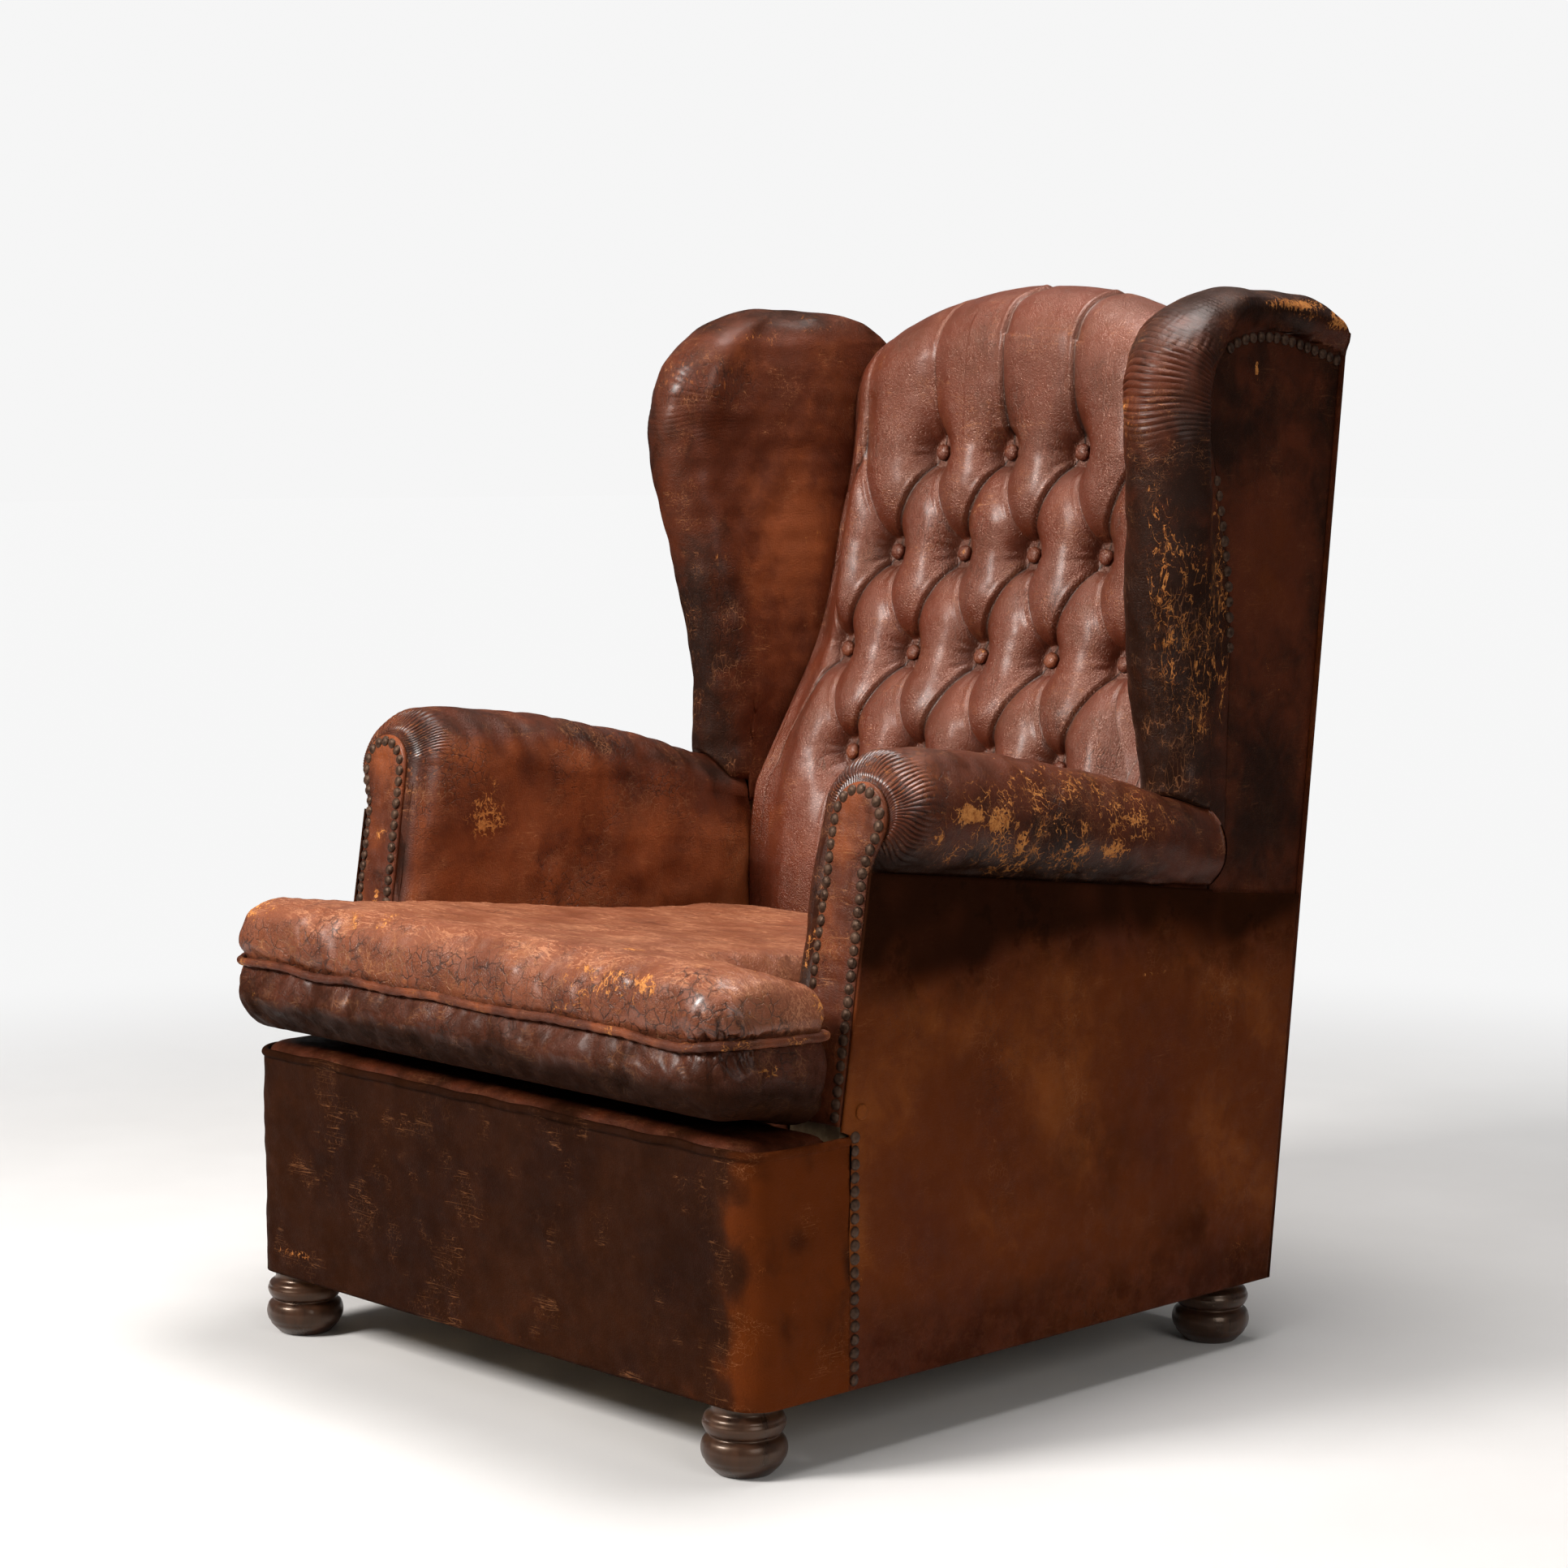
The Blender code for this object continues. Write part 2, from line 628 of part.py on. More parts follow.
def outside_arm(side):
    """Outside arm panel with its nail column and the covered stud."""
    rear = BACK_Y0 - HIDE - 2 * FIT
    low = [(SEAM_Y, BASE_BOTTOM), (SEAM_Y, 0.292)]
    front = [(facing_y(z) + FIT, z) for z in (0.296, 0.400)]
    depths = [facing_y(0.5) + 0.012 + (ARM_END - facing_y(0.5) - 0.014) * k / 6 for k in range(7)]
    head = [(facing_y(0.5) + FIT, roll_flank(facing_y(0.5)) - 0.0025)]
    head += [(y, roll_flank(y) - 0.0025) for y in depths]
    step = [(ARM_END + 0.004, 0.4665), (rear + BACK_LEAN * 0.4515, 0.4515)]
    foot_end = [(rear + BACK_LEAN * BASE_BOTTOM, BASE_BOTTOM)]
    outline = low + front + head + step + foot_end
    bm = side_prism(outline, [side * (BASE_HALF - HIDE), side * BASE_HALF])
    made = finish(side_name("outside_arm", side), bm, "panel_leather", 0)
    run = [(side * BASE_HALF, SEAM_Y + 0.0058, 0.072), (side * BASE_HALF, SEAM_Y + 0.0058, 0.290)]
    add_nails(made, side_name("border_nails", side), spaced(run, NAIL_PITCH), (side, 0, 0))
    stud = lathe([(0.0065, -0.001), (0.0065, 0.001), (0.0045, 0.0022)], 12)
    stud.transform(Matrix.Translation((side * BASE_HALF, SEAM_Y + 0.013, 0.312))
                   @ Matrix.Rotation(side * math.pi / 2, 4, "Y"))
    boolean(made, finish(side_name("covered_stud", side), stud, "panel_leather"), "UNION")


def outside_wing(side):
    """Outside wing panel with nails down its front edge and along its arch."""
    outline = panel_outline()
    made = finish(side_name("outside_wing", side),
                  side_prism(outline, [side * x for x in WING_PANEL]), "panel_leather", 0)
    edge = [(side * WING_PANEL[1], y + NAIL_MARGIN, z) for z, y in PANEL_EDGE if z > 0.485]
    arch = [(side * WING_PANEL[1], y + 0.003, z - NAIL_MARGIN) for y, z in PANEL_ARCH[2:-1]]
    places = spaced(edge + arch, NAIL_PITCH)
    add_nails(made, side_name("wing_nails", side), places, (side, 0, 0))


def outside_back():
    """Flat leather panel over the whole rear."""
    outline = [(back_y(BASE_BOTTOM) - HIDE, BASE_BOTTOM), (back_y(BASE_BOTTOM), BASE_BOTTOM),
               (back_y(BACK_TOP), BACK_TOP), (back_y(BACK_TOP) - HIDE, BACK_TOP)]
    finish("outside_back", side_prism(outline, (-BASE_HALF, BASE_HALF)), "panel_leather")


# ---- arms ---------------------------------------------------------------------
def arm_section(y, shrink):
    """Section (x, z) of an arm: inner wall, roll and the hook over the rail."""
    middle, half = roll_shape(y)
    hook = hook_z(y)
    points = [(ARM_WALL, DECK_TOP + FIT), (ARM_IN, DECK_TOP + FIT), (ARM_IN, 0.380),
              (ARM_IN + 0.001, 0.450), (ARM_IN + 0.004, middle - half)]
    for k in range(13):
        turn = math.radians(180 - 20 * k)
        width = ROLL_HALF - shrink - 0.008 * smooth((y + 0.05) / 0.25)
        points.append((ROLL_X + width * math.cos(turn), middle + (half - shrink) * math.sin(turn)))
    points += [(0.3639, roll_flank(y) + 0.0015), (0.3639, hook), (ARM_WALL, hook)]
    return points


def arm(side):
    """A rolled arm, its front end rounded over behind the facing."""
    stations = [(0.0, 0.008), (0.006, 0.0025), (0.016, 0.0)]
    stations += [(0.016 + 0.472 * k / 10, 0.0) for k in range(1, 11)]
    rings = []
    for reach, shrink in stations:
        ring = []
        level = facing_y(0.55) + reach
        fade = 1.0 - reach / stations[-1][0]
        shift = (FACING_T + 2 * FIT) * fade
        for x, z in arm_section(min(level + shift, ARM_END), shrink):
            lean = facing_y(z) - facing_y(0.55)
            y = level + shift + lean * fade
            ring.append((side * x, min(y, ARM_END), z))
        rings.append(ring)
    finish(side_name("arm", side), loft(rings), "leather")


def facing_outline(spread):
    """Outline (x, z) of an arm facing, grown by spread: a strip with a round head."""
    half = FACING_HALF + spread
    widening = 0.0035
    points = [(FACING_X - half, DECK_TOP + 0.0028), (FACING_X + half, DECK_TOP + 0.0028)]
    reach = HEAD_X - FACING_X + widening
    for z in (0.521, 0.532, 0.543, 0.554):
        points.append((FACING_X + half + reach * smooth((z - 0.521) / (HEAD_Z - 0.521)), z))
    for k in range(9):
        turn = math.pi * k / 8
        points.append((HEAD_X + (half + widening) * math.cos(turn),
                       HEAD_Z + (half + widening) * math.sin(turn)))
    return points


def arm_facing(side):
    """Covered strip on the front of an arm, nailed round its edge."""
    outline = facing_outline(NAIL_MARGIN)
    rings = []
    for depth in (0.0, FACING_T):
        rings.append([(side * x, facing_y(z) + depth, z) for x, z in outline])
    made = finish(side_name("arm_facing", side), loft(rings), "leather", 0)
    line = facing_outline(0.0)
    line = line[1:] + line[:1]
    line[0] = (line[0][0], line[0][1] + NAIL_MARGIN)
    line[-1] = (line[-1][0], line[-1][1] + NAIL_MARGIN)
    path = [(side * x, facing_y(z), z) for x, z in line]
    normal = Vector((0, -(FACING_HEAD[1] - FACING_FOOT[1]), FACING_HEAD[0] - FACING_FOOT[0]))
    add_nails(made, side_name("facing_nails", side), spaced(path, NAIL_PITCH), normal)


# ---- wings --------------------------------------------------------------------
def wing_section(z):
    """Plan outline (x, y) of a wing's padding before its frame is cut out."""
    over = max(0.0, z - 1.004) / 0.048
    pull = 0.043 * (1.0 - math.sqrt(max(0.0, 1.0 - over * over)))
    radius = WING_NOSE_R - 0.7 * pull
    nose, tip = along(WING_NOSE, z), along(WING_TIP, z)
    middle = tip + radius
    rear = along(WING_REAR, z) if z > 0.960 else back_y(z) + 0.018
    edge = along(PANEL_EDGE, z)
    points = []
    for k in range(11):
        turn = math.pi + math.pi * k / 10
        points.append((nose + radius * math.cos(turn), middle + radius * math.sin(turn)))
    points.append((nose + radius - 0.002, middle + 0.4 * max(0.010, edge - middle)))
    for k in range(1, 7):
        y = edge + (rear - 0.010 - edge) * k / 6 if z < 0.968 else middle + (rear - middle) * k / 6.6
        swell = 0.016 * smooth((z - along(PANEL_ARCH, y)) / 0.030) if z > 0.968 else 0.0
        points.append((0.3682 + swell - 0.9 * pull, y))
    points += [(0.356 - 0.5 * pull, rear), (WING_IN + 0.010 + pull, rear)]
    for k in range(7):
        t = k / 6.5
        inner = WING_IN + pull + (nose - radius - WING_IN - pull) * smooth(1.6 * t - 0.55)
        points.append((max(WING_IN, inner), rear - 0.010 + (middle - rear + 0.010) * t))
    return points


def wing(side):
    """Padded wing: a full form with the board, post and panels cut out of it."""
    heights = [WING_BOTTOM + (1.002 - WING_BOTTOM) * k / 15 for k in range(16)]
    heights += [1.012, 1.022, 1.031, 1.039, 1.045, 1.049]
    rings = [mirrored([(x, y, z) for x, y in wing_section(z)], side) for z in heights]
    made = finish(side_name("wing", side), loft(rings), "leather")
    outline = [(y - FIT, z) for y, z in panel_outline()[:21]]
    outline += [(y, z + FIT) for y, z in panel_outline()[21:-2]]
    outline = [(outline[0][0], 0.40)] + outline + [(0.60, outline[-1][1]), (0.60, 0.40)]
    pocket = side_prism(outline, (side * (WING_BOARD[0] - FIT), side * 0.50))
    boolean(made, cutter(side_name("wing_pocket", side), pocket), "DIFFERENCE")
    near = HIDE + POST_T + 3 * FIT
    slab = [(back_y(0.40) - near, 0.40), (0.60, 0.40), (0.60, BACK_TOP + FIT),
            (back_y(BACK_TOP + FIT) - near, BACK_TOP + FIT)]
    rear = side_prism(slab, (side * 0.20, side * 0.50))
    boolean(made, cutter(side_name("post_pocket", side), rear), "DIFFERENCE")
    boolean(made, cutter(side_name("lap_pocket", side), arm_lap(side)), "DIFFERENCE")


def arm_lap(side):
    """The rear of an arm's roll, grown by the gap, that a wing's nose drapes over."""
    rings = []
    for y in (0.100, 0.140, 0.180, ARM_END + FIT):
        middle, half = roll_shape(min(y, ARM_END))
        half += 0.0012
        width = ROLL_HALF - 0.0075 * smooth((y + 0.05) / 0.25)
        start = math.asin((LAP_BOTTOM - middle) / half)
        ring = [(0.250, 0.400), (0.250, LAP_BOTTOM)]
        for k in range(9):
            turn = math.pi - start - (math.pi - 2 * start) * k / 8
            ring.append((ROLL_X + width * math.cos(turn), middle + half * math.sin(turn)))
        ring += [(0.450, LAP_BOTTOM), (0.450, 0.400)]
        rings.append([(side * x, y, z) for x, z in ring])
    return loft(rings)


# ---- buttoned back ------------------------------------------------------------
# (height, y) of the buttoned back's face where its buttons pull it in
BUTTON_LINE = spline([(0.300, 0.212), (0.440, 0.216), (0.575, 0.244), (0.680, 0.286),
                      (0.785, 0.312), (0.890, 0.330), (1.000, 0.346)], 4)
# (height, y) of its outer edges, beside the arms and wings
EDGE_LINE = spline([(0.300, 0.205), (0.440, 0.202), (0.530, 0.214), (0.600, 0.250),
                    (0.670, 0.290), (0.725, 0.311), (0.814, 0.332), (0.888, 0.352),
                    (1.000, 0.362)], 3)
CREST = spline([(0.0, 1.071), (0.07, 1.066), (0.13, 1.053), (0.18, 1.036), (0.22, 1.018),
                (0.265, 1.002)], 4)


def button_places():
    """(x, z) of every button: rows of three, four, five and four."""
    places = []
    for row, count in enumerate((3, 4, 5, 4)):
        z = BUTTON_TOP + (BUTTON_LOW - BUTTON_TOP) * row / 3
        for k in range(count):
            places.append(((k - (count - 1) / 2) * BUTTON_STEP, z))
    return places


def tuft(x, z):
    """How far the leather stands out in front of the buttons at (x, z)."""
    rise = 0.036
    if z > BUTTON_TOP or z < BUTTON_LOW:
        above = z > BUTTON_TOP
        wave = math.sin(math.pi * x / BUTTON_STEP) if above else math.cos(math.pi * x / BUTTON_STEP)
        reach = z - BUTTON_TOP if above else BUTTON_LOW - z
        swell = smooth(reach / 0.08)
        return rise * abs(wave) ** 0.55 * (1.0 - 0.3 * swell) + 0.020 * swell
    down = (BUTTON_TOP - z) / (BUTTON_TOP - BUTTON_LOW) * 1.5
    u = (x / BUTTON_STEP + down) % 1.0
    v = (x / BUTTON_STEP - down) % 1.0
    return rise * (math.sin(math.pi * u) * math.sin(math.pi * v)) ** 0.42


def pad_section(x):
    """Section (y, z) of the buttoned back at x, from its foot up and over the crest."""
    crest = along(CREST, abs(x))
    edge = smooth((abs(x) - 0.200) / 0.062)
    top = crest - 0.060
    cell = (BUTTON_TOP - BUTTON_LOW) / 12
    levels = [0.302 + (BUTTON_LOW - 0.302) * k / 9 for k in range(9)]
    levels += [BUTTON_LOW + cell * k for k in range(13)]
    levels += [BUTTON_TOP + (top - BUTTON_TOP) * k / 4 for k in range(1, 5)]
    points = []
    for z in levels:
        y = along(BUTTON_LINE, z) - tuft(x, z)
        points.append((y + (along(EDGE_LINE, z) - y) * edge, z))
    start = points[-1][0]
    rear = back_y(1.0) + 0.021 - 0.012 * edge
    low = BACK_TOP + 2 * FIT
    for k in range(1, 9):
        turn = math.pi * k / 8
        base = top if k < 5 else low + 0.012
        y = (start + rear) / 2 - (rear - start) / 2 * math.cos(turn)
        points.append((y, base + (crest - base - 0.006 * tuft_dip(x)) * math.sin(turn)))
    inset = HIDE + POST_T + 3 * FIT
    points += [(rear - 0.006, low + 0.004), (back_y(low), low), (back_y(low) - inset, low),
               (back_y(0.302) - inset, 0.302)]
    return points


def tuft_dip(x):
    """1 on a channel between two swellings of the crest, 0 on top of one."""
    return 1.0 - abs(math.sin(math.pi * x / BUTTON_STEP)) ** 0.6


def split_at_folds(bm):
    """Split the quads of the buttoned field the way the nearest diagonal fold runs."""
    across = BUTTON_STEP / 8
    down = (BUTTON_TOP - BUTTON_LOW) / 12
    for face in list(bm.faces):
        grid = {(round(v.co.x / across, 2), round((BUTTON_TOP - v.co.z) / down, 2)): v
                for v in face.verts}
        a, b = min(i for i, j in grid), min(j for i, j in grid)
        cell = ((a, b), (a + 1, b + 1), (a + 1, b), (a, b + 1))
        in_front = face.calc_center_median().y < back_y(BUTTON_TOP) - POST_T
        if in_front and 0 <= b < 12 and all(place in grid for place in cell):
            to_one = min((a - b) % 8, (b - a) % 8)
            to_other = min((a + b + 1) % 8, (-a - b - 1) % 8)
            ends = cell[:2] if to_one < to_other else cell[2:]
            bmesh.utils.face_split(face, grid[ends[0]], grid[ends[1]])


def inside_back():
    """Deep-buttoned back with its pillow roll, and a socket for each button."""
    cells = range(-20, 21)
    places = [-PAD_HALF] + [BUTTON_STEP * k / 8 for k in cells] + [PAD_HALF]
    rings = [[(x, y, z) for y, z in pad_section(x)] for x in places]
    padding = loft(rings)
    split_at_folds(padding)
    made = finish("inside_back", padding, "leather")
    bm = bmesh.new()
    for x, z in button_places():
        socket = lathe([(BUTTON_R + 0.0010, -0.050), (BUTTON_R + 0.0010, 0.0)], 8)
        socket.transform(button_frame(x, z))
        shape = bpy.data.meshes.new("socket")
        socket.to_mesh(shape)
        socket.free()
        bm.from_mesh(shape)
        bpy.data.meshes.remove(shape)
    boolean(made, cutter("button_sockets", bm), "DIFFERENCE")


def button_frame(x, z):
    """Where a button sits: its own Z looks into the padding."""
    slope = (along(BUTTON_LINE, z + 0.02) - along(BUTTON_LINE, z - 0.02)) / 0.04
    into = Vector((0.0, 1.0, -slope)).normalized()
    across = Vector((1.0, 0.0, 0.0))
    turn = Matrix((across, into.cross(across), into)).transposed().to_4x4()
    turn = turn @ Matrix.Rotation(math.pi / 8, 4, "Z")
    return Matrix.Translation((x, along(BUTTON_LINE, z) + 0.001, z)) @ turn


def buttons():
    """Leather-covered buttons, each on the floor of its socket."""
    for n, (x, z) in enumerate(button_places()):
        profile = [(0.003, -0.0075), (0.0062, -0.0062), (BUTTON_R, -0.0030),
                   (BUTTON_R * 0.86, -FIT)]
        bm = lathe(profile, 8)
        bm.transform(button_frame(x, z))
        finish("back_button_%02d" % (n + 1), bm, "leather")


# ---- the whole chair ----------------------------------------------------------
def build():
    """Every sub-part, from the floor up."""
    for ob in list(bpy.data.objects):
        bpy.data.objects.remove(ob, do_unlink=True)
    for row, y in zip(("front", "back"), FOOT_Y):
        foot("foot_%s_right" % row, FOOT_X, y)
        foot("foot_%s_left" % row, -FOOT_X, y)
    frame()
    webbing()
    strap_end()
    springs()
    deck()
    front_border()
    outside_back()
    for side in (1, -1):
        outside_arm(side)
        outside_wing(side)
        arm(side)
        arm_facing(side)
        wing(side)
    inside_back()
    buttons()
    cushion()


build()
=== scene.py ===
"""A worn leather wing chair: its padded hides, nails, turned feet, plain floor and soft light.

Metres, +Z up, the floor at Z = 0.  The chair faces -Y and its right side is +X.
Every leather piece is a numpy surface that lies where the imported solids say; the loose
seat cushion is also blown up as cloth.  The finishes are node groups shared by all hides.
"""
import math

import bpy
import numpy as np
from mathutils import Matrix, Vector
from mathutils.geometry import tessellate_polygon


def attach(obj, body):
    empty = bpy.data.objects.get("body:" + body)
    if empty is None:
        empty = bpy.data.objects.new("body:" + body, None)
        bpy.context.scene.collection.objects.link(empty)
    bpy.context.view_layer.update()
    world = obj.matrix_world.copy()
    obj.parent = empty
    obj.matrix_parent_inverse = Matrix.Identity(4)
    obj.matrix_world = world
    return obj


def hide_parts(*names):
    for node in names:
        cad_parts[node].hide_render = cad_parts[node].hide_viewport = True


bl_info = {
    "name": "Worn Wing Chair",
    "version": (1, 0, 0),
    "blender": (4, 5, 0),
    "location": "3D Viewport > Sidebar > Chair",
    "description": "Builds a worn, deep-buttoned leather wing chair piece by piece",
    "category": "Add Mesh",
}

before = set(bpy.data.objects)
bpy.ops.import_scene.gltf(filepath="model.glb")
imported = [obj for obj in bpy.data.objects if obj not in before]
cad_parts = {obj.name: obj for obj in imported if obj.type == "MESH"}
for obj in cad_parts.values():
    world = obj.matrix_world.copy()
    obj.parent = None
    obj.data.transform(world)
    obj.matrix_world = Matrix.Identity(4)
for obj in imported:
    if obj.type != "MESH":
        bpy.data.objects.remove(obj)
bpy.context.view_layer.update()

# ---- the lines the solids are built on ---------------------------------------------
FIT = 0.0003
BASE_HALF, BASE_FRONT, BASE_BOTTOM, BASE_TOP = 0.371, -0.400, 0.063, 0.287
CORNER_R, SEAM_Y = 0.032, -0.282
BACK_Y0, BACK_LEAN, BACK_TOP = 0.307, 0.110, 0.985
DECK_TOP, RAIL_TOP, LIP_X = 0.2975, 0.260, 0.3639
ARM_IN, ARM_WALL, ARM_END, ROLL_X, ROLL_HALF = 0.277, 0.3003, 0.215, 0.341, 0.056
FACING_FOOT, FACING_HEAD = (-0.291, 0.300), (-0.245, 0.590)
FACING_X, FACING_HALF, HEAD_X, HEAD_Z, FACING_T = 0.336, 0.0240, 0.346, 0.566, 0.0045
NAIL_MARGIN, NAIL_PITCH = 0.0065, 0.0112
WING_IN, WING_NOSE_R, WING_BOTTOM, WING_FREE = 0.2648, 0.046, 0.5026, 0.66
ROUND_NOSE, CLOSING = 76, 15
PANEL_X, POST_X, BACK_INSET = 0.3665, 0.3394, 0.0439
PAD_HALF, BUTTON_STEP, BUTTON_TOP, BUTTON_LOW = 0.2642, 0.100, 0.890, 0.5654
JOIN_STEPS = 240
SEAM_Z, CUSHION_FALL, CUSHION_BOTTOM = 0.385, 0.042, 0.2978
CUSHION_SIDES = (-0.4343, 0.150, 0.268, 0.370, -0.3005)
CUSHION_RADII = (0.045, 0.045, 0.014, 0.014, 0.030, 0.030, 0.014, 0.014)
CUSHION_LEVELS = [(0.045, CUSHION_BOTTOM), (0.020, 0.3015), (0.006, 0.318), (0.0005, 0.345),
                  (0.0015, SEAM_Z - 0.012), (0.0075, SEAM_Z), (0.0015, SEAM_Z + 0.012),
                  (0.002, 0.410), (0.009, 0.427), (0.022, 0.438), (0.040, 0.4435)]
SWELL_FRAMES, PLAN_POINTS, PUCKER, CORD_R = 16, 420, 0.0135, 0.0042
FOOT_X, FOOT_Y = 0.328, (-0.369, 0.274)


def smooth(t):
    """S-shaped ramp from 0 to 1: three t squared less two t cubed, held at both ends."""
    t = np.clip(t, 0.0, 1.0)
    return t * t * (3.0 - 2.0 * t)


def curve(knots, steps=14):
    """Catmull-Rom curve through the knots: each point weighs four knots by cubics of t."""
    k = np.array(knots, float)
    k = np.vstack([k[:1], k, k[-1:]])
    t = np.linspace(0.0, 1.0, steps, endpoint=False)[:, None]
    runs = []
    for a, b, c, d in zip(k[:-3], k[1:-2], k[2:-1], k[3:]):
        runs.append(0.5 * (2 * b + (c - a) * t + (2 * a - 5 * b + 4 * c - d) * t ** 2
                           + (3 * b - a - 3 * c + d) * t ** 3))
    return np.vstack(runs + [k[-1:]])


def circle(count):
    """Angles of a full turn in equal steps."""
    return np.linspace(0.0, 2 * np.pi, count, endpoint=False)


def unit(vectors):
    """Vectors of the same directions, each one long."""
    return vectors / np.linalg.norm(vectors, axis=-1, keepdims=True)


def read(line, at):
    """Second coordinate of a line where its first is at."""
    return np.interp(at, line[:, 0], line[:, 1])


def evenly(line, count):
    """The same line cut into points at equal steps of length."""
    step = np.linalg.norm(np.diff(line, axis=0), axis=1)
    reach = np.concatenate([[0.0], np.cumsum(step)])
    at = np.linspace(0.0, reach[-1], count)
    return np.stack([np.interp(at, reach, line[:, k]) for k in range(line.shape[1])], -1)


# height to y of a wing's front tip, to x of its nose, and to y of its outside panel's edge
WING_TIP = curve([(0.500, 0.178), (0.640, 0.175), (0.780, 0.150), (0.885, 0.131),
                  (0.945, 0.132), (0.985, 0.146), (1.019, 0.180), (1.035, 0.209),
                  (1.048, 0.250), (1.0505, 0.290)])
WING_NOSE = curve([(0.500, 0.319), (0.640, 0.319), (0.780, 0.333), (0.880, 0.344),
                   (0.980, 0.339), (1.050, 0.338)])
PANEL_EDGE = curve([(0.440, 0.236), (0.580, 0.241), (0.730, 0.243), (0.830, 0.228),
                    (0.915, 0.209), (0.968, 0.217)])
PANEL_ARCH = curve([(0.217, 0.968), (0.228, 0.990), (0.255, 1.004), (0.300, 1.008),
                    (0.350, 1.001), (0.4155, 0.9853)])
# height to y of the buttoned back where its buttons pull, and of its outer edges
BUTTON_LINE = curve([(0.300, 0.212), (0.440, 0.216), (0.575, 0.244), (0.680, 0.286),
                     (0.785, 0.312), (0.890, 0.330), (1.000, 0.346), (1.030, 0.3503)])
EDGE_LINE = curve([(0.300, 0.205), (0.440, 0.202), (0.530, 0.214), (0.600, 0.250),
                   (0.670, 0.290), (0.725, 0.311), (0.814, 0.332), (0.888, 0.352),
                   (1.000, 0.362), (1.030, 0.3647)])
FRONT_EDGE = np.vstack([PANEL_EDGE, [(0.990, 0.228), (1.004, 0.255), (1.008, 0.300)]])
CREST = curve([(0.0, 1.071), (0.07, 1.066), (0.13, 1.053), (0.18, 1.036), (0.22, 1.018),
               (0.265, 1.002)])


def back_y(z):
    """Outer face of the leaning back at a height."""
    return BACK_Y0 + BACK_LEAN * z


def facing_y(z):
    """Front plane of the arm facings, which lean back."""
    run = (FACING_HEAD[0] - FACING_FOOT[0]) / (FACING_HEAD[1] - FACING_FOOT[1])
    return FACING_FOOT[0] + run * (z - FACING_FOOT[1])


def roll_flank(y):
    """Height where an arm's roll meets the outside arm panel."""
    return 0.494 - 0.121 * y


def roll_shape(y):
    """Middle height and half height of an arm's roll at depth y."""
    fall = np.clip((y + 0.170) / 0.380, 0.0, 1.0)
    top = 0.626 - 0.075 * fall ** 1.3
    half = (top - roll_flank(y)) / 1.866
    return top - half, half


# ---- fields on points ----------------------------------------------------------------
def drift(points, size, seed, waves=10):
    """Smooth random field of about -1 to 1: ten sine waves in seeded directions, summed.

    Each wave is about one size long; the sum is divided by the root of their number."""
    rng = np.random.default_rng(seed)
    way = rng.normal(size=(waves, 3))
    length = np.linalg.norm(way, axis=1) * size / (2 * np.pi * rng.uniform(0.55, 1.45, waves))
    way = way / length[:, None]
    phase = rng.uniform(0.0, 2 * np.pi, waves)
    return np.sin(points @ way.T + phase).sum(-1) / math.sqrt(waves)


def near(points, centre, reach):
    """A soft spot: 1 at the centre, falling as a bell whose half-widths are reach."""
    off = (points - np.array(centre)) / np.array(reach)
    return np.exp(-(off ** 2).sum(-1))


def spots(points, places):
    """The strongest of several soft spots, each ((x, y, z), (reach x, y, z), strength)."""
    out = np.zeros(points.shape[:-1])
    for centre, reach, strength in places:
        out = np.maximum(out, strength * near(points, centre, reach))
    return out


# ---- meshes from grids ----------------------------------------------------------------
def grid_normals(rings):
    """Unit normals of a grid closed across: the cross product of its two slopes."""
    down = np.gradient(rings, axis=0)
    across = np.roll(rings, -1, axis=1) - np.roll(rings, 1, axis=1)
    normal = np.cross(down, across)
    length = np.linalg.norm(normal, axis=-1, keepdims=True)
    return normal / np.maximum(length, 1e-12)


def outward(rings):
    """Grid normals turned so that they point away from the middle of each ring."""
    normal = grid_normals(rings)
    away = rings - rings.mean(axis=1, keepdims=True)
    if (normal * away).sum() < 0.0:
        normal = -normal
    return normal


def swell(rings, amount):
    """Move a grid along its outward normals by an amount for each point."""
    return rings + outward(rings) * amount[..., None]


def skin(rings, loop=False, bent=False):
    """Vertices, quads and end fans over rings (row, point, xyz), each ring closed.

    A ring's points join the next ring's; a loop joins the last ring to the first, and
    otherwise each end is closed by a fan to the middle of its ring, or, if its outline
    is bent so that a fan would leave it, by triangles between its own points."""
    rows, count, _ = rings.shape
    i = np.arange(rows if loop else rows - 1)[:, None]
    j = np.arange(count)[None, :]
    k, m = (i + 1) % rows, (j + 1) % count
    quads = np.stack([i * count + j, i * count + m, k * count + m, k * count + j], -1)
    verts = rings.reshape(-1, 3)
    fans = np.zeros((0, 3), int)
    if bent:
        tris = np.array(tessellate_polygon([rings[0].tolist()]))
        fans = np.vstack([tris[:, ::-1], tris + (rows - 1) * count])
        verts = np.vstack([verts, rings[0, :1], rings[-1, :1]])
    elif not loop:
        j = np.arange(count)
        m = (j + 1) % count
        last = (rows - 1) * count
        low, high = len(verts), len(verts) + 1
        verts = np.vstack([verts, rings[0].mean(0), rings[-1].mean(0)])
        fans = np.vstack([np.stack([m, j, np.full(count, low)], -1),
                          np.stack([last + j, last + m, np.full(count, high)], -1)])
    return verts, quads.reshape(-1, 4), fans


def ends(field):
    """A field over rings as one row, with zeros for the two middles that skin adds."""
    return np.concatenate([field.ravel(), [0.0, 0.0]])


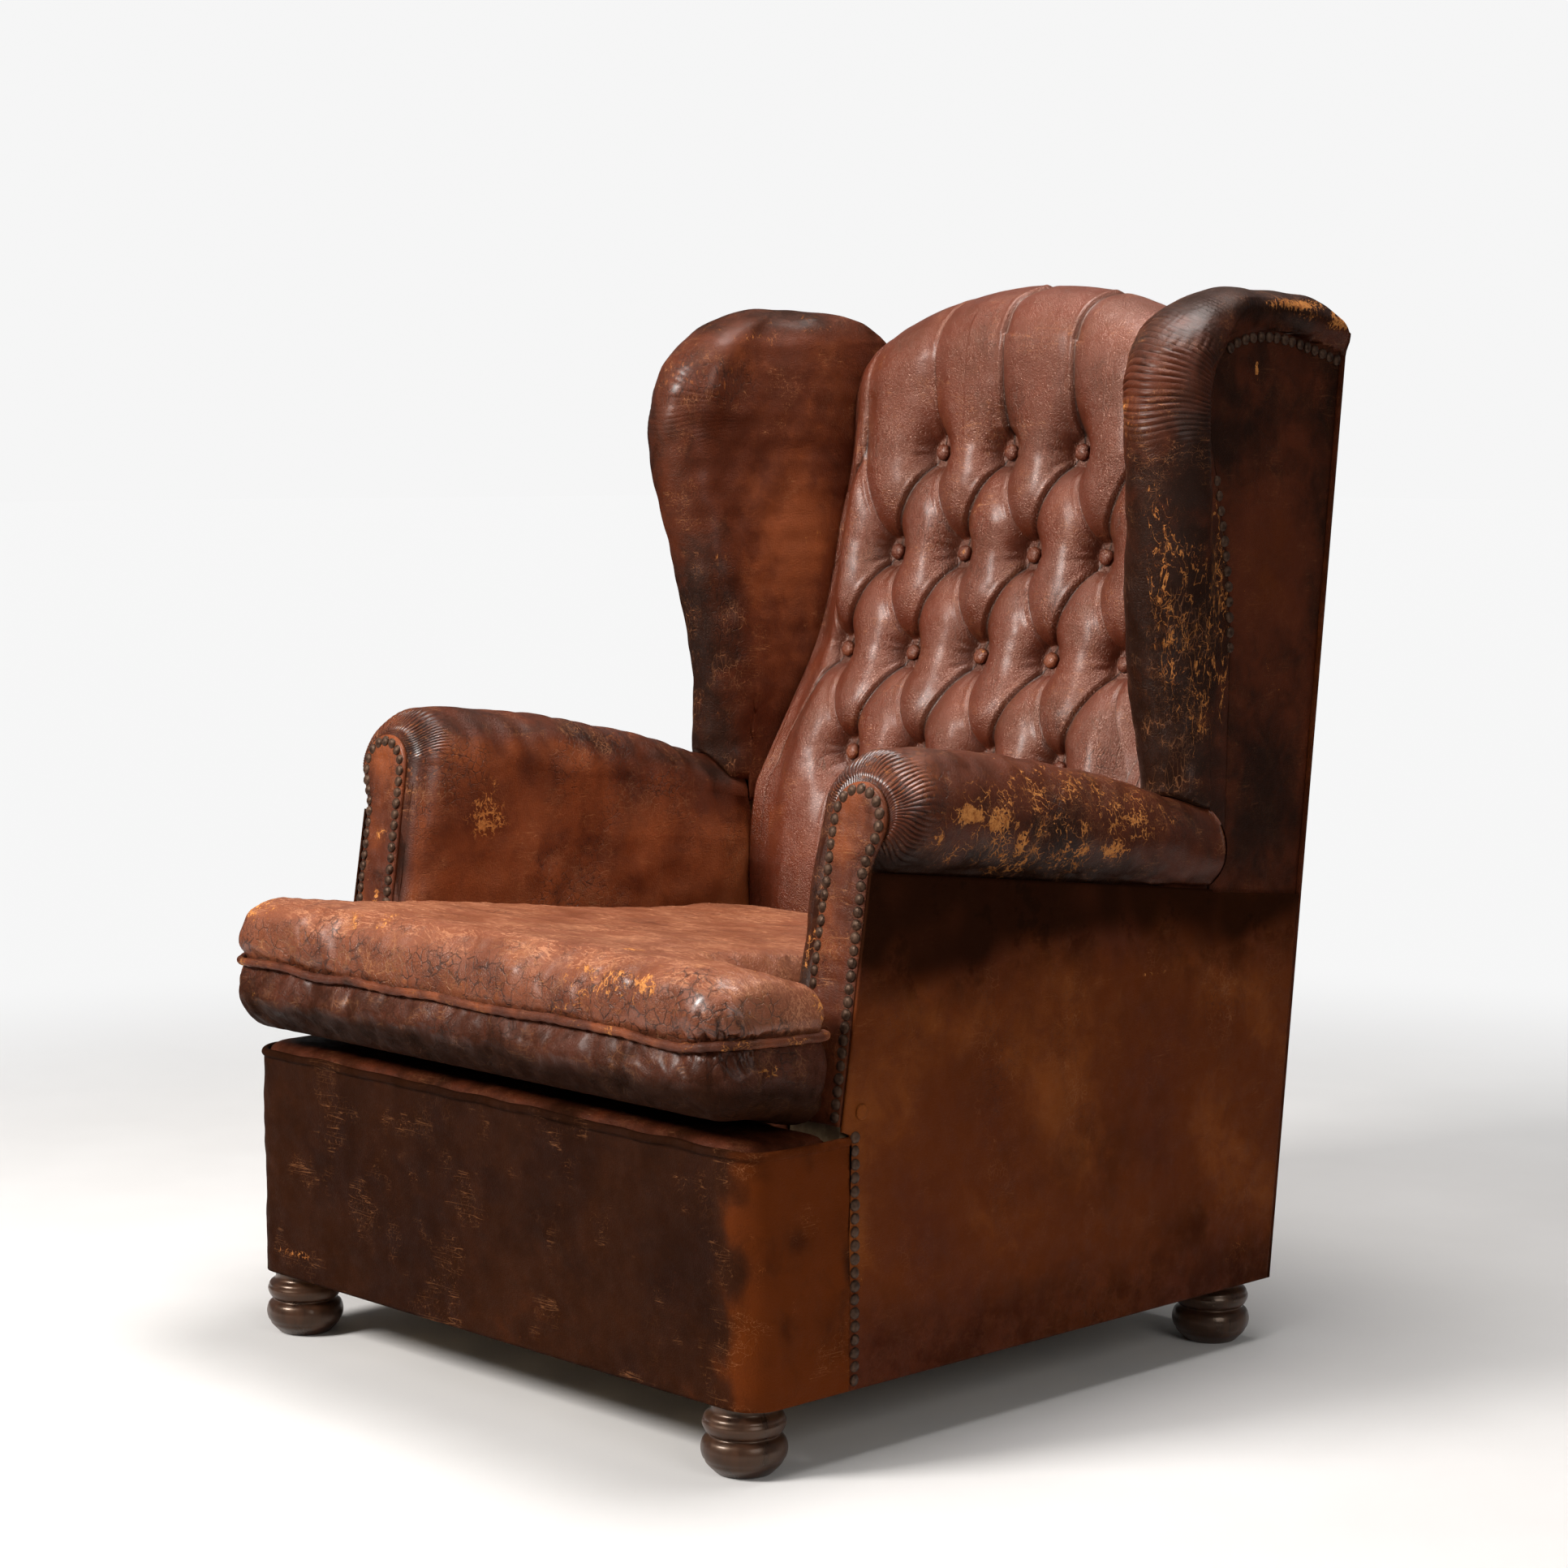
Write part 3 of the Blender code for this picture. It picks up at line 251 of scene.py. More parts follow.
def plate(front, back):
    """Vertices, quads and tris of a sheet: a front grid, its back grid and the rim between."""
    rows, cols, _ = front.shape
    i, j = np.arange(rows - 1)[:, None], np.arange(cols - 1)[None, :]
    face = np.stack([i * cols + j, i * cols + j + 1, (i + 1) * cols + j + 1,
                     (i + 1) * cols + j], -1).reshape(-1, 4)
    shift = rows * cols
    rim = np.concatenate([np.arange(cols), np.arange(1, rows) * cols + cols - 1,
                          (rows - 1) * cols + np.arange(cols - 2, -1, -1),
                          np.arange(rows - 2, 0, -1) * cols])
    after = np.roll(rim, -1)
    edge = np.stack([after, rim, rim + shift, after + shift], -1)
    verts = np.vstack([front.reshape(-1, 3), back.reshape(-1, 3)])
    return verts, np.vstack([face, face[:, ::-1] + shift, edge]), np.zeros((0, 3), int)


def merge(parts):
    """Several (vertices, quads, tris) as one."""
    verts, quads, tris, start = [], [], [], 0
    for v, q, t in parts:
        verts.append(v)
        quads.append(q + start)
        tris.append(t + start)
        start += len(v)
    return np.vstack(verts), np.vstack(quads), np.vstack(tris)


def volume(verts, quads, tris):
    """Signed volume: a sixth of the triple product of every triangle's corners."""
    all_tris = np.vstack([quads[:, [0, 1, 2]], quads[:, [0, 2, 3]], tris])
    a, b, c = (verts[all_tris[:, k]] for k in range(3))
    return float(np.einsum("ij,ij->i", a, np.cross(b, c)).sum() / 6.0)


def make(name, solid):
    """A mesh object from (vertices, quads, tris), faces outwards and shaded smooth."""
    verts, quads, tris = solid
    if volume(verts, quads, tris) < 0.0:
        quads, tris = quads[:, ::-1], tris[:, ::-1]
    loops = np.concatenate([quads.ravel(), tris.ravel()]).astype(np.int32)
    starts = np.concatenate([np.arange(len(quads)) * 4,
                             len(quads) * 4 + np.arange(len(tris)) * 3]).astype(np.int32)
    mesh = bpy.data.meshes.new(name)
    mesh.vertices.add(len(verts))
    mesh.vertices.foreach_set("co", np.ascontiguousarray(verts, np.float32).ravel())
    mesh.loops.add(len(loops))
    mesh.loops.foreach_set("vertex_index", loops)
    mesh.polygons.add(len(starts))
    mesh.polygons.foreach_set("loop_start", starts)
    mesh.update(calc_edges=True)
    mesh.validate()
    mesh.shade_smooth()
    return placed(name, mesh)


def placed(name, data):
    """A new object of some data, linked to the scene."""
    made = bpy.data.objects.new(name, data)
    bpy.context.scene.collection.objects.link(made)
    return made


def points_of(piece, normals=False):
    """A piece's vertices, or their normals, as an array."""
    layer, key = (piece.data.vertex_normals, "vector") if normals else (piece.data.vertices, "co")
    out = np.zeros(len(layer) * 3, np.float32)
    layer.foreach_get(key, out)
    return out.reshape(-1, 3).astype(float)


def put_back(piece, points):
    """Write an array back as a piece's vertices."""
    piece.data.vertices.foreach_set("co", points.astype(np.float32).ravel())
    piece.data.update()


def store(piece, name, *fields):
    """Store one field or three at each vertex, as an attribute that a material reads.

    A set of folds is stored as phase, strength and width: a fold runs wherever the phase
    is whole."""
    values = np.zeros((len(piece.data.vertices), len(fields)), np.float32)
    for k, field in enumerate(fields):
        values[:, k] = field
    kind, key = ("FLOAT", "value") if len(fields) == 1 else ("FLOAT_VECTOR", "vector")
    piece.data.attributes.new(name, kind, "POINT").data.foreach_set(key, values.ravel())


def fit_out(piece, finish, nodes):
    """Give a piece its finish, hang it from the root, and hide the solids it stands for."""
    piece.data.materials.append(finish)
    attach(piece, "root")
    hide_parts(*nodes)


def side_name(name, side):
    """Name with _right for +X and _left for -X."""
    return name + ("_right" if side > 0 else "_left")


# ---- feet and base ------------------------------------------------------------------
def foot_rings(x, y):
    """A turned foot: its radius at each height is a smooth curve through a few knots,
    with two grooves cut in, and each ring is a circle of 72 points."""
    line = curve([(0.0, 0.0245), (0.003, 0.0280), (0.011, 0.0352), (0.021, 0.0386),
                  (0.030, 0.0366), (0.0345, 0.0315), (0.038, 0.0345), (0.045, 0.0373),
                  (0.052, 0.0350), (0.056, 0.0300), (BASE_BOTTOM - FIT, 0.0290)], 6)
    turn = circle(72)
    radius = line[:, 1] - 0.0008 * np.exp(-((line[:, 0] - 0.012) / 0.0011) ** 2)
    radius = radius - 0.0007 * np.exp(-((line[:, 0] - 0.049) / 0.0009) ** 2)
    height = np.repeat(line[:, :1], 72, axis=1)
    return np.stack([x + radius[:, None] * np.cos(turn), y + radius[:, None] * np.sin(turn),
                     height], -1)


def border_path(step=0.003):
    """Plan of the base's front: side, rounded corner, front, corner, side, evenly cut."""
    centre = BASE_HALF - CORNER_R
    turn = np.radians(np.linspace(0.0, -90.0, 12))
    half = [(BASE_HALF, SEAM_Y - FIT)]
    half += list(zip(centre + CORNER_R * np.cos(turn),
                     BASE_FRONT + CORNER_R + CORNER_R * np.sin(turn)))
    plan = np.array(half + [(-x, y) for x, y in reversed(half)])
    reach = np.linalg.norm(np.diff(plan, axis=0), axis=1).sum()
    return evenly(plan, int(reach / step))


def border_rings():
    """Leather band with its welt: a section of the band, the round welt on its upper
    edge and the lining, carried round the path; drift makes it bag and sag a little."""
    path = border_path()
    along_path = unit(np.gradient(path, axis=0))
    out = np.stack([-along_path[:, 1], along_path[:, 0]], -1)
    if (out[0] * np.array([1.0, 0.0])).sum() < 0.0:
        out = -out
    face, round_welt, under_welt = 72, 18, 0.2838
    front = np.stack([np.zeros(face), np.linspace(BASE_BOTTOM, under_welt, face)], -1)
    turn = np.radians(np.linspace(-50.0, 230.0, round_welt))
    welt = np.stack([-0.0015 + CORD_R * np.cos(turn), BASE_TOP + CORD_R * np.sin(turn)], -1)
    back = np.stack([np.full(14, -0.003), np.linspace(under_welt, BASE_BOTTOM, 14)], -1)
    section = np.vstack([front, welt, back])
    rings = np.zeros((len(path), len(section), 3))
    rings[..., :2] = path[:, None] + out[:, None] * section[None, :, :1]
    rings[..., 2] = section[None, :, 1]
    slack = np.zeros(len(section))
    slack[:face] = np.sin(np.pi * np.linspace(0.0, 1.0, face)) ** 0.5
    soft = 0.0011 * drift(rings, 0.11, 3) + 0.0005 * drift(rings, 0.030, 4) + 0.0010
    rings[..., :2] += (slack * soft)[..., None] * out[:, None]
    rise = 0.0007 * drift(rings[:, face + 8], 0.05, 5)
    rings[:, face:face + round_welt, 2] += rise[:, None]
    return rings


def arm_panel_sheet(side):
    """Outside arm panel: a sheet from its front seam to the rear, and from the floor of
    the base to the roll above; it bellies out between its edges and puckers at the nails."""
    u, v = np.meshgrid(np.linspace(0, 1, 200), np.linspace(0, 1, 150))
    z = BASE_BOTTOM + (0.48 - BASE_BOTTOM) * v
    for _ in range(4):
        front = np.where(z < 0.294, SEAM_Y, facing_y(z) + FIT)
        rear = BACK_Y0 - 0.0036 + BACK_LEAN * z
        y = front + (rear - front) * u
        top = np.where(y < ARM_END, roll_flank(y) - 0.0025, 0.4625 - 0.10 * (y - ARM_END))
        z = BASE_BOTTOM + (top - BASE_BOTTOM) * v
    belly = (np.sin(np.pi * u) * np.sin(np.pi * v)) ** 0.4
    flat = np.stack([np.full_like(y, side * BASE_HALF), y, z], -1)
    soft = 0.0016 + 0.0014 * drift(flat, 0.16, 11) + 0.0005 * drift(flat, 0.035, 12)
    pucker = 0.0007 * np.cos(2 * np.pi * z / NAIL_PITCH) * np.exp(-((u - 0.012) / 0.03) ** 2)
    x = BASE_HALF + belly * soft + pucker * belly
    return np.stack([side * x, y, z], -1), np.stack([side * (x - 0.003), y, z], -1)


def wing_panel_sheet(side):
    """Outside wing panel: a sheet from the nailed front edge to the rear seam, and from
    the arm up to its arched top, bellied out a little between the nails and the seam."""
    u, v = np.meshgrid(np.linspace(0, 1, 110), np.linspace(0, 1, 240))
    z = 0.440 + 0.56 * v
    for _ in range(4):
        front = read(PANEL_EDGE, z)
        front = front + (ARM_END + 0.0015 - front) * smooth((0.508 - z) / 0.010)
        rear = back_y(z) - 0.0036
        y = front + (rear - front) * u
        over = 0.0060 * smooth((y - 0.360) / 0.04)
        z = 0.440 + (read(PANEL_ARCH, y) + over - 0.440) * v
    belly = (np.sin(np.pi * u) * np.sin(np.pi * v)) ** 0.45
    flat = np.stack([np.full_like(y, side * PANEL_X), y, z], -1)
    x = PANEL_X + belly * (0.0022 + 0.0010 * drift(flat, 0.12, 21))
    x = x + belly * 0.0005 * drift(flat, 0.030, 22)
    return np.stack([side * x, y, z], -1), np.stack([side * (x - 0.003), y, z], -1)


def back_panel_sheet():
    """Outside back: a nearly flat sheet over the whole rear, drawn in along its middle
    and rippled sideways near its edges, where it is blind-stitched."""
    u, v = np.meshgrid(np.linspace(0, 1, 150), np.linspace(0, 1, 180))
    x = BASE_HALF * (2 * u - 1)
    z = BASE_BOTTOM + (BACK_TOP - BASE_BOTTOM) * v
    flat = np.stack([x, back_y(z), z], -1)
    belly = (np.sin(np.pi * u) * np.sin(np.pi * v)) ** 0.5
    edge = np.exp(-np.minimum(u, 1 - u) / 0.03)
    y = back_y(z) + belly * (0.0012 + 0.0014 * drift(flat, 0.22, 31))
    y = y + edge * belly * 0.0010 * drift(flat, 0.020, 32)
    z = z + 0.0016 * v ** 12 * smooth((np.abs(x) - 0.362) / 0.006)
    return np.stack([x, y, z], -1), np.stack([x, y - 0.003, z], -1)


# ---- arms and facings ---------------------------------------------------------------
def arm_rings(side, pleats):
    """A rolled arm as sections along its length, (row, point, xyz).

    Each section climbs the inner wall, goes round the roll as part of an ellipse, runs
    down to the outside panel and returns under the roll.  The rows start behind the
    facing, where the section shrinks as a quarter ellipse.  Round the roll's front end
    the hide is gathered: pleats are ridges between sharp creases, so a crease is where
    a wandering sine crosses zero, and they fade out as the square of the distance back."""
    reach = np.concatenate([0.030 * (1 - np.cos(np.linspace(0, np.pi / 2, 26))),
                            np.linspace(0.0325, 0.488, 190)])
    fade = (1.0 - reach / 0.488)[:, None]
    front = np.clip(1.0 - reach / 0.030, 0.0, 1.0)
    shrink = 0.0215 * (1.0 - np.sqrt(1.0 - front ** 2))[:, None]
    level = (facing_y(0.55) + reach)[:, None] + (FACING_T - 0.0006) * fade
    depth = np.minimum(level, ARM_END)
    middle, half = roll_shape(depth)
    hook = 0.525 - 0.116 * depth
    flank = roll_flank(depth)
    climb = np.linspace(0.0, 1.0, 60)[None, :]
    z = (DECK_TOP + FIT) + (middle - half - DECK_TOP - FIT) * climb
    x = ARM_IN + shrink + 0.004 * smooth((z - 0.40) / 0.13)
    turn = np.radians(180.0 - 240.0 * np.linspace(0.0, 1.0, 264))[None, :]
    width = ROLL_HALF - shrink - 0.008 * smooth((depth + 0.05) / 0.25)
    roll_x = ROLL_X + 0.2 * shrink * np.cos(turn) ** 2 + width * np.cos(turn)
    puff = np.exp(-((reach - 0.015) / 0.06) ** 2)[:, None]
    roll_x = roll_x + 0.0075 * puff * np.maximum(np.cos(turn), 0.0) ** 2
    roll_z = middle + (half - shrink) * np.sin(turn)
    lip = np.linspace(0.0, 1.0, 6)[None, 1:]
    lip_x = roll_x[:, -1:] + (LIP_X - roll_x[:, -1:]) * lip
    lip_z = roll_z[:, -1:] + (flank - 0.0065 - roll_z[:, -1:]) * lip
    under = np.linspace(0.0, 1.0, 22)[None, :]
    under_x = LIP_X + (ARM_WALL - LIP_X) * under + 0 * hook
    under_z = hook + 0 * under
    down = np.linspace(0.0, 1.0, 24)[None, 1:]
    down_z = hook + (DECK_TOP + FIT - hook) * down
    down_x = ARM_WALL + 0 * down_z
    xs = np.hstack([x, roll_x, lip_x, under_x, down_x])
    zs = np.hstack([z, roll_z, lip_z, under_z, down_z])
    lean = (facing_y(zs) - facing_y(0.55)) * fade
    ys = np.minimum(level + lean, ARM_END)
    rings = np.stack([xs, ys, zs], -1)
    count, seen = xs.shape[1], x.shape[1] + roll_x.shape[1]
    place = np.arange(seen - 4)
    shown = np.zeros(count)
    shown[4:seen] = smooth(place / 10.0) * smooth((seen - 4 - place) / 14.0)
    shown = shown * (smooth((reach + 0.004) / 0.008) * smooth((0.478 - reach) / 0.02))[:, None]
    back = reach[:, None] + 0 * zs
    around = np.arange(count)[None, :] / seen
    phase = pleats * around + 1.6 * drift(rings * np.array([1.0, 0.25, 1.0]), 0.06, 41)
    high = smooth((around - 0.20) / 0.10) * smooth((0.99 - around) / 0.03)
    gather = np.exp(-((back - 0.012) / 0.017) ** 2) * high
    gather = gather * (0.95 + 0.25 * drift(rings, 0.03, 46))
    crease = np.abs(np.sin(np.pi * phase)) ** 0.6
    soft = 0.0024 * drift(rings, 0.13, 42) + 0.0008 * drift(rings, 0.034, 43)
    slack = 0.0004 * drift(rings * np.array([0.35, 2.2, 0.35]), 0.060, 44)
    hem = np.exp(-((around - 0.985) / 0.02) ** 2) * 0.0024 * drift(rings, 0.05, 45)
    dent = 0.0026 * (crease - 0.65) * gather - 0.0012 * gather
    moved = swell(rings, shown * (dent + soft + slack) - 0.0004 * shown)
    moved[..., 2] += hem * (around > 0.90) * smooth((reach - 0.003) / 0.012)[:, None]
    moved[..., 0] *= side
    return moved, phase, np.clip(gather, 0.0, 1.0)


def facing_line():
    """Outline (x, z) of an arm facing: a strip with a round head."""
    half = FACING_HALF
    low = DECK_TOP + 0.0028
    z = np.linspace(0.521, 0.560, 8)
    reach = (HEAD_X - FACING_X + 0.0035) * smooth((z - 0.521) / (HEAD_Z - 0.521))
    turn = np.linspace(0.0, np.pi, 28)
    head = np.stack([HEAD_X + (half + 0.0035) * np.cos(turn),
                     HEAD_Z + (half + 0.0035) * np.sin(turn)], -1)
    right = np.stack([FACING_X + half + reach, z], -1)
    points = np.vstack([[(FACING_X + half, low)], right, head, [(FACING_X - half, low)]])
    return evenly(points, 160)


def facing_sheet(side):
    """Leather strip on the front of an arm: rows at rising heights between its two sides,
    which close over the round head as a circle; it is puffed up inside its nails."""
    half = FACING_HALF + NAIL_MARGIN
    low, radius = DECK_TOP + 0.0028, half + 0.0035
    turn = np.radians(np.linspace(0.0, 86.0, 34))[1:]
    z = np.concatenate([np.linspace(low, HEAD_Z, 120), HEAD_Z + radius * np.sin(turn)])[:, None]
    share = np.clip((z - low) / (HEAD_Z - low), 0.0, 1.0)
    reach = (HEAD_X - FACING_X + 0.0035) * smooth((z - 0.521) / (HEAD_Z - 0.521))
    round_half = np.sqrt(np.maximum(radius ** 2 - (z - HEAD_Z) ** 2, 0.0))
    left = np.where(z < HEAD_Z, FACING_X - half + (HEAD_X - FACING_X - 0.0035) * share,
                    HEAD_X - round_half)
    right = np.where(z < HEAD_Z, FACING_X + half + reach, HEAD_X + round_half)
    x = left + (right - left) * np.linspace(0.0, 1.0, 44)[None, :]
    z = z + 0 * x
    edge = np.minimum(np.minimum(x - left, right - x), z - low + 0.004)
    edge = np.where(z > HEAD_Z, radius - np.hypot(x - HEAD_X, z - HEAD_Z), edge)
    flat = np.stack([side * x, facing_y(z), z], -1)
    puff = smooth((edge - 0.001) / 0.014) * (0.0016 + 0.0009 * drift(flat, 0.05, 51)
                                             + 0.0003 * drift(flat, 0.014, 52))
    y = facing_y(z) + 0.0014 * (1.0 - smooth(edge / 0.002)) - puff
    return (np.stack([side * x, y, z], -1),
            np.stack([side * x, facing_y(z) + FACING_T, z], -1))


def nail_row(path, outward_way, seed, pitch=NAIL_PITCH):
    """Domed nail heads at equal steps along a path, each tipped and turned a little.

    A head is a dome of three rings of ten points over a short rim; whole arrays of rings
    are placed at once.  Some sit deeper than others."""
    reach = np.linalg.norm(np.diff(path, axis=0), axis=1).sum()
    spots_on = evenly(path, max(2, int(round(reach / pitch))))
    rng = np.random.default_rng(seed)
    count = len(spots_on)
    way = np.array(outward_way, float)
    way = unit(unit(way) + rng.normal(0.0, 0.09, (count, 3)))
    aside = unit(np.cross(way, np.array([0.13, 0.31, 0.94])))
    third = np.cross(way, aside)
    profile = np.array([(0.0053, -0.0009), (0.0057, 0.0004), (0.0053, 0.0015),
                        (0.0039, 0.0027), (0.0018, 0.0033)])
    turn = circle(10)
    size = rng.uniform(0.93, 1.04, count)[:, None, None, None]
    sunk = rng.uniform(-0.0005, 0.0002, count)[:, None, None, None]
    radius = profile[None, :, 0, None, None] * size
    ring = radius * (np.cos(turn)[None, None, :, None] * aside[:, None, None, :]
                     + np.sin(turn)[None, None, :, None] * third[:, None, None, :])
    lift = (profile[None, :, 1, None, None] + sunk) * way[:, None, None, :]
    rings = spots_on[:, None, None, :] + ring + lift
    return merge([skin(rings[k]) for k in range(count)])


# ---- wings --------------------------------------------------------------------------
def roof(x, y):
    """Lowest height a wing may reach at (x, y): clear of the arm's roll it rests on."""
    middle, half = roll_shape(np.minimum(y, ARM_END))
    width = ROLL_HALF - 0.0075 * smooth((y + 0.05) / 0.25)
    across = np.clip((x - ROLL_X) / width, -1.0, 1.0)
    over = middle + (half + 0.0014) * np.sqrt(1.0 - across ** 2)
    over = np.where(np.abs(x - ROLL_X) < width, over, 0.0)
    return np.where(y < ARM_END + 0.0006, np.maximum(over, 0.5305), WING_BOTTOM)


def wing_rings(side, gathers):
    """A padded wing as plan outlines at rising heights, (row, point, xyz).

    An outline is the round nose, the outer side, the rear and the slack inner side.
    Above 1.004 m it is drawn in as an ellipse, and its last rows close over the same
    outline as an oval.  Where the outside panel, the post and the arm's roll are, it
    keeps out of their space.  Round the nose's shoulder the hide
    is gathered: creases where a wandering sine crosses zero, in a band of heights."""
    low = np.concatenate([np.linspace(WING_BOTTOM, 0.880, 120), np.linspace(0.881, 0.984, 104)])
    mid = np.array([0.9850, 0.9853, 0.9861, 0.9905, 0.9950, 0.9995])
    dome = np.radians(np.linspace(2.0, 86.0, 34))
    level = np.concatenate([low, mid, 1.004 + 0.0478 * np.sin(dome)])
    pull = np.concatenate([np.zeros(len(low) + len(mid)), 0.043 * (1.0 - np.cos(dome))])
    z, pull = level[:, None], pull[:, None]
    taper = smooth((0.670 - z) / 0.13)
    radius = WING_NOSE_R - 0.7 * pull - 0.008 * taper
    nose, tip = read(WING_NOSE, level)[:, None] + 0.010 * taper, read(WING_TIP, level)[:, None]
    centre = tip + radius
    far = np.array([(0.960, 0.4290), (0.988, 0.4315), (0.998, 0.4290), (1.008, 0.4220),
                    (1.020, 0.4090), (1.034, 0.3870), (1.0505, 0.335)])
    rear = np.where(z > 0.960, np.interp(z, far[:, 0], far[:, 1]), back_y(z) + 0.018)
    turn = np.pi + np.pi * np.linspace(0.0, 1.0, ROUND_NOSE)[None, :]
    nose_x, nose_y = nose + radius * np.cos(turn), centre + radius * np.sin(turn)
    edge = read(FRONT_EDGE, z)
    near_t = np.linspace(0.0, 1.0, 22)[None, 1:]
    far_t = np.linspace(0.0, 1.0, 51)[None, 1:]
    out_y = np.hstack([centre + (edge - 0.0010 - centre) * near_t,
                       edge - 0.0006 + (rear - 0.0094 - edge) * far_t ** 1.3])
    hump = 0.016 * smooth((z - read(PANEL_ARCH, out_y)) / 0.030) * (z > 0.960)
    full = PANEL_X + hump - 0.9 * pull
    out_x = nose + radius + (full - nose - radius) * smooth((out_y - centre) / 0.03)
    behind = (out_y > edge - 0.0008) & (z < read(PANEL_ARCH, out_y) + 0.0006)
    behind = behind & (z < 1.009)
    out_x = np.where(behind, POST_X, out_x)
    t = np.linspace(0.0, 1.0, 30)[None, :]
    turn = np.pi * t
    wide = (0.356 - 0.5 * pull) - (WING_IN + 0.010 + pull)
    end_x = (0.356 - 0.5 * pull) - wide * t
    end_x = np.where(behind[:, -1:], np.minimum(end_x, POST_X), end_x)
    end_y = rear - 0.010 + 0.010 * np.sin(turn) ** 0.5
    t = np.linspace(0.0, 1.0, 92)[None, 1:-1]
    into = WING_IN + pull
    in_x = into + (nose - radius - into) * smooth(1.55 * t - 0.55)
    in_y = rear - 0.010 + (centre - rear + 0.010) * t
    xs = np.hstack([nose_x, out_x, end_x, np.maximum(in_x, WING_IN)])
    ys = np.hstack([nose_y, out_y, end_y, in_y])
    closing = (np.cos(dome[-CLOSING:]) / np.cos(dome[-CLOSING - 1]))[:, None]
    for plan in (xs, ys):
        last = plan[-CLOSING - 1]
        middle = (last.min() + last.max()) / 2
        plan[-CLOSING:] = middle + (last - middle) * closing
    stop = back_y(z) - BACK_INSET
    ys = np.where(z < BACK_TOP + 0.0004, np.minimum(ys, stop), ys)
    zs = z + 0 * xs
    floor = roof(xs, ys)
    share = np.clip((WING_FREE - zs) / (WING_FREE - WING_BOTTOM), 0.0, 1.0)
    zs = zs + (floor - WING_BOTTOM) * share
    rings = np.stack([xs, ys, zs], -1)
    outer = slice(ROUND_NOSE, ROUND_NOSE + out_x.shape[1])
    shown = np.ones_like(xs)
    shown[:, outer] = np.where(behind, 0.0, 1.0)
    shown = shown * np.where(zs < BACK_TOP + 0.001, (ys < stop - 0.004), True)
    edge_gap = np.ones_like(xs)
    edge_gap[:, outer] = smooth((edge + 0.001 - ys[:, outer]) / 0.008)
    edge_gap = np.where(zs > 1.009, 1.0, edge_gap)
    shown = shown * edge_gap * smooth((zs - floor + 0.001) / 0.008)
    ledge = (zs > BACK_TOP - 0.0005) & (ys > stop - 0.004)
    shown = np.where(ledge, shown * smooth((zs - 0.990) / 0.010), shown)
    wander = 0.9 * drift(rings * np.array([1.0, 0.5, 1.0]), 0.10, 61 + int(side))
    spread = np.arctan2(zs - 0.925, ys - 0.275) / np.pi
    phase = gathers * spread + wander
    shoulder = np.exp(-(np.maximum(np.abs(zs - 0.972) - 0.036, 0.0) / 0.030) ** 2)
    shoulder = shoulder * smooth((0.290 - ys) / 0.05) * smooth((xs - 0.285) / 0.02)
    shoulder = shoulder * (0.75 + 0.35 * drift(rings, 0.035, 65))
    crease = np.abs(np.sin(np.pi * phase)) ** 0.7
    broken = drift(rings * np.array([0.4, 0.4, 1.0]), 0.020, 66)
    shoulder = shoulder * (0.45 + 0.55 * smooth(broken + 0.5))
    depth = 0.0022 if side > 0 else 0.0004
    soft = 0.0018 * drift(rings, 0.13, 62) + 0.0005 * drift(rings, 0.035, 63)
    slack = 0.0004 * drift(rings * np.array([0.6, 0.6, 1.4]), 0.06, 64)
    rings = swell(rings, shown * (soft + slack + depth * (crease - 0.7) * shoulder))
    rings[..., 0] = np.maximum(rings[..., 0], WING_IN - 0.0005)
    rings[..., 0] *= side
    return rings, phase, np.clip(shoulder, 0.0, 1.0)


# ---- the buttoned back and its buttons ----------------------------------------------
def button_places():
    """(x, z) of every button: rows of three, four, five and four."""
    places = []
    for row, count in enumerate((3, 4, 5, 4)):
        z = BUTTON_TOP + (BUTTON_LOW - BUTTON_TOP) * row / 3
        places += [((k - (count - 1) / 2) * BUTTON_STEP, z) for k in range(count)]
    return np.array(places)


def pleat(across, soft, sharp):
    """Section of a pleat: 1 in its crease, falling gently on one side, steeply on the other.

    Before the crease it is an exponential of the distance over soft; past it a bell of
    half-width sharp, less a low lip beyond that."""
    gentle = np.exp(-np.abs(across) / soft)
    steep = np.exp(-(across / sharp) ** 2)
    lip = 0.20 * np.exp(-((across - 2.6 * sharp) / (1.5 * sharp)) ** 2)
    return np.where(across < 0.0, gentle, steep - lip * smooth(across / sharp))


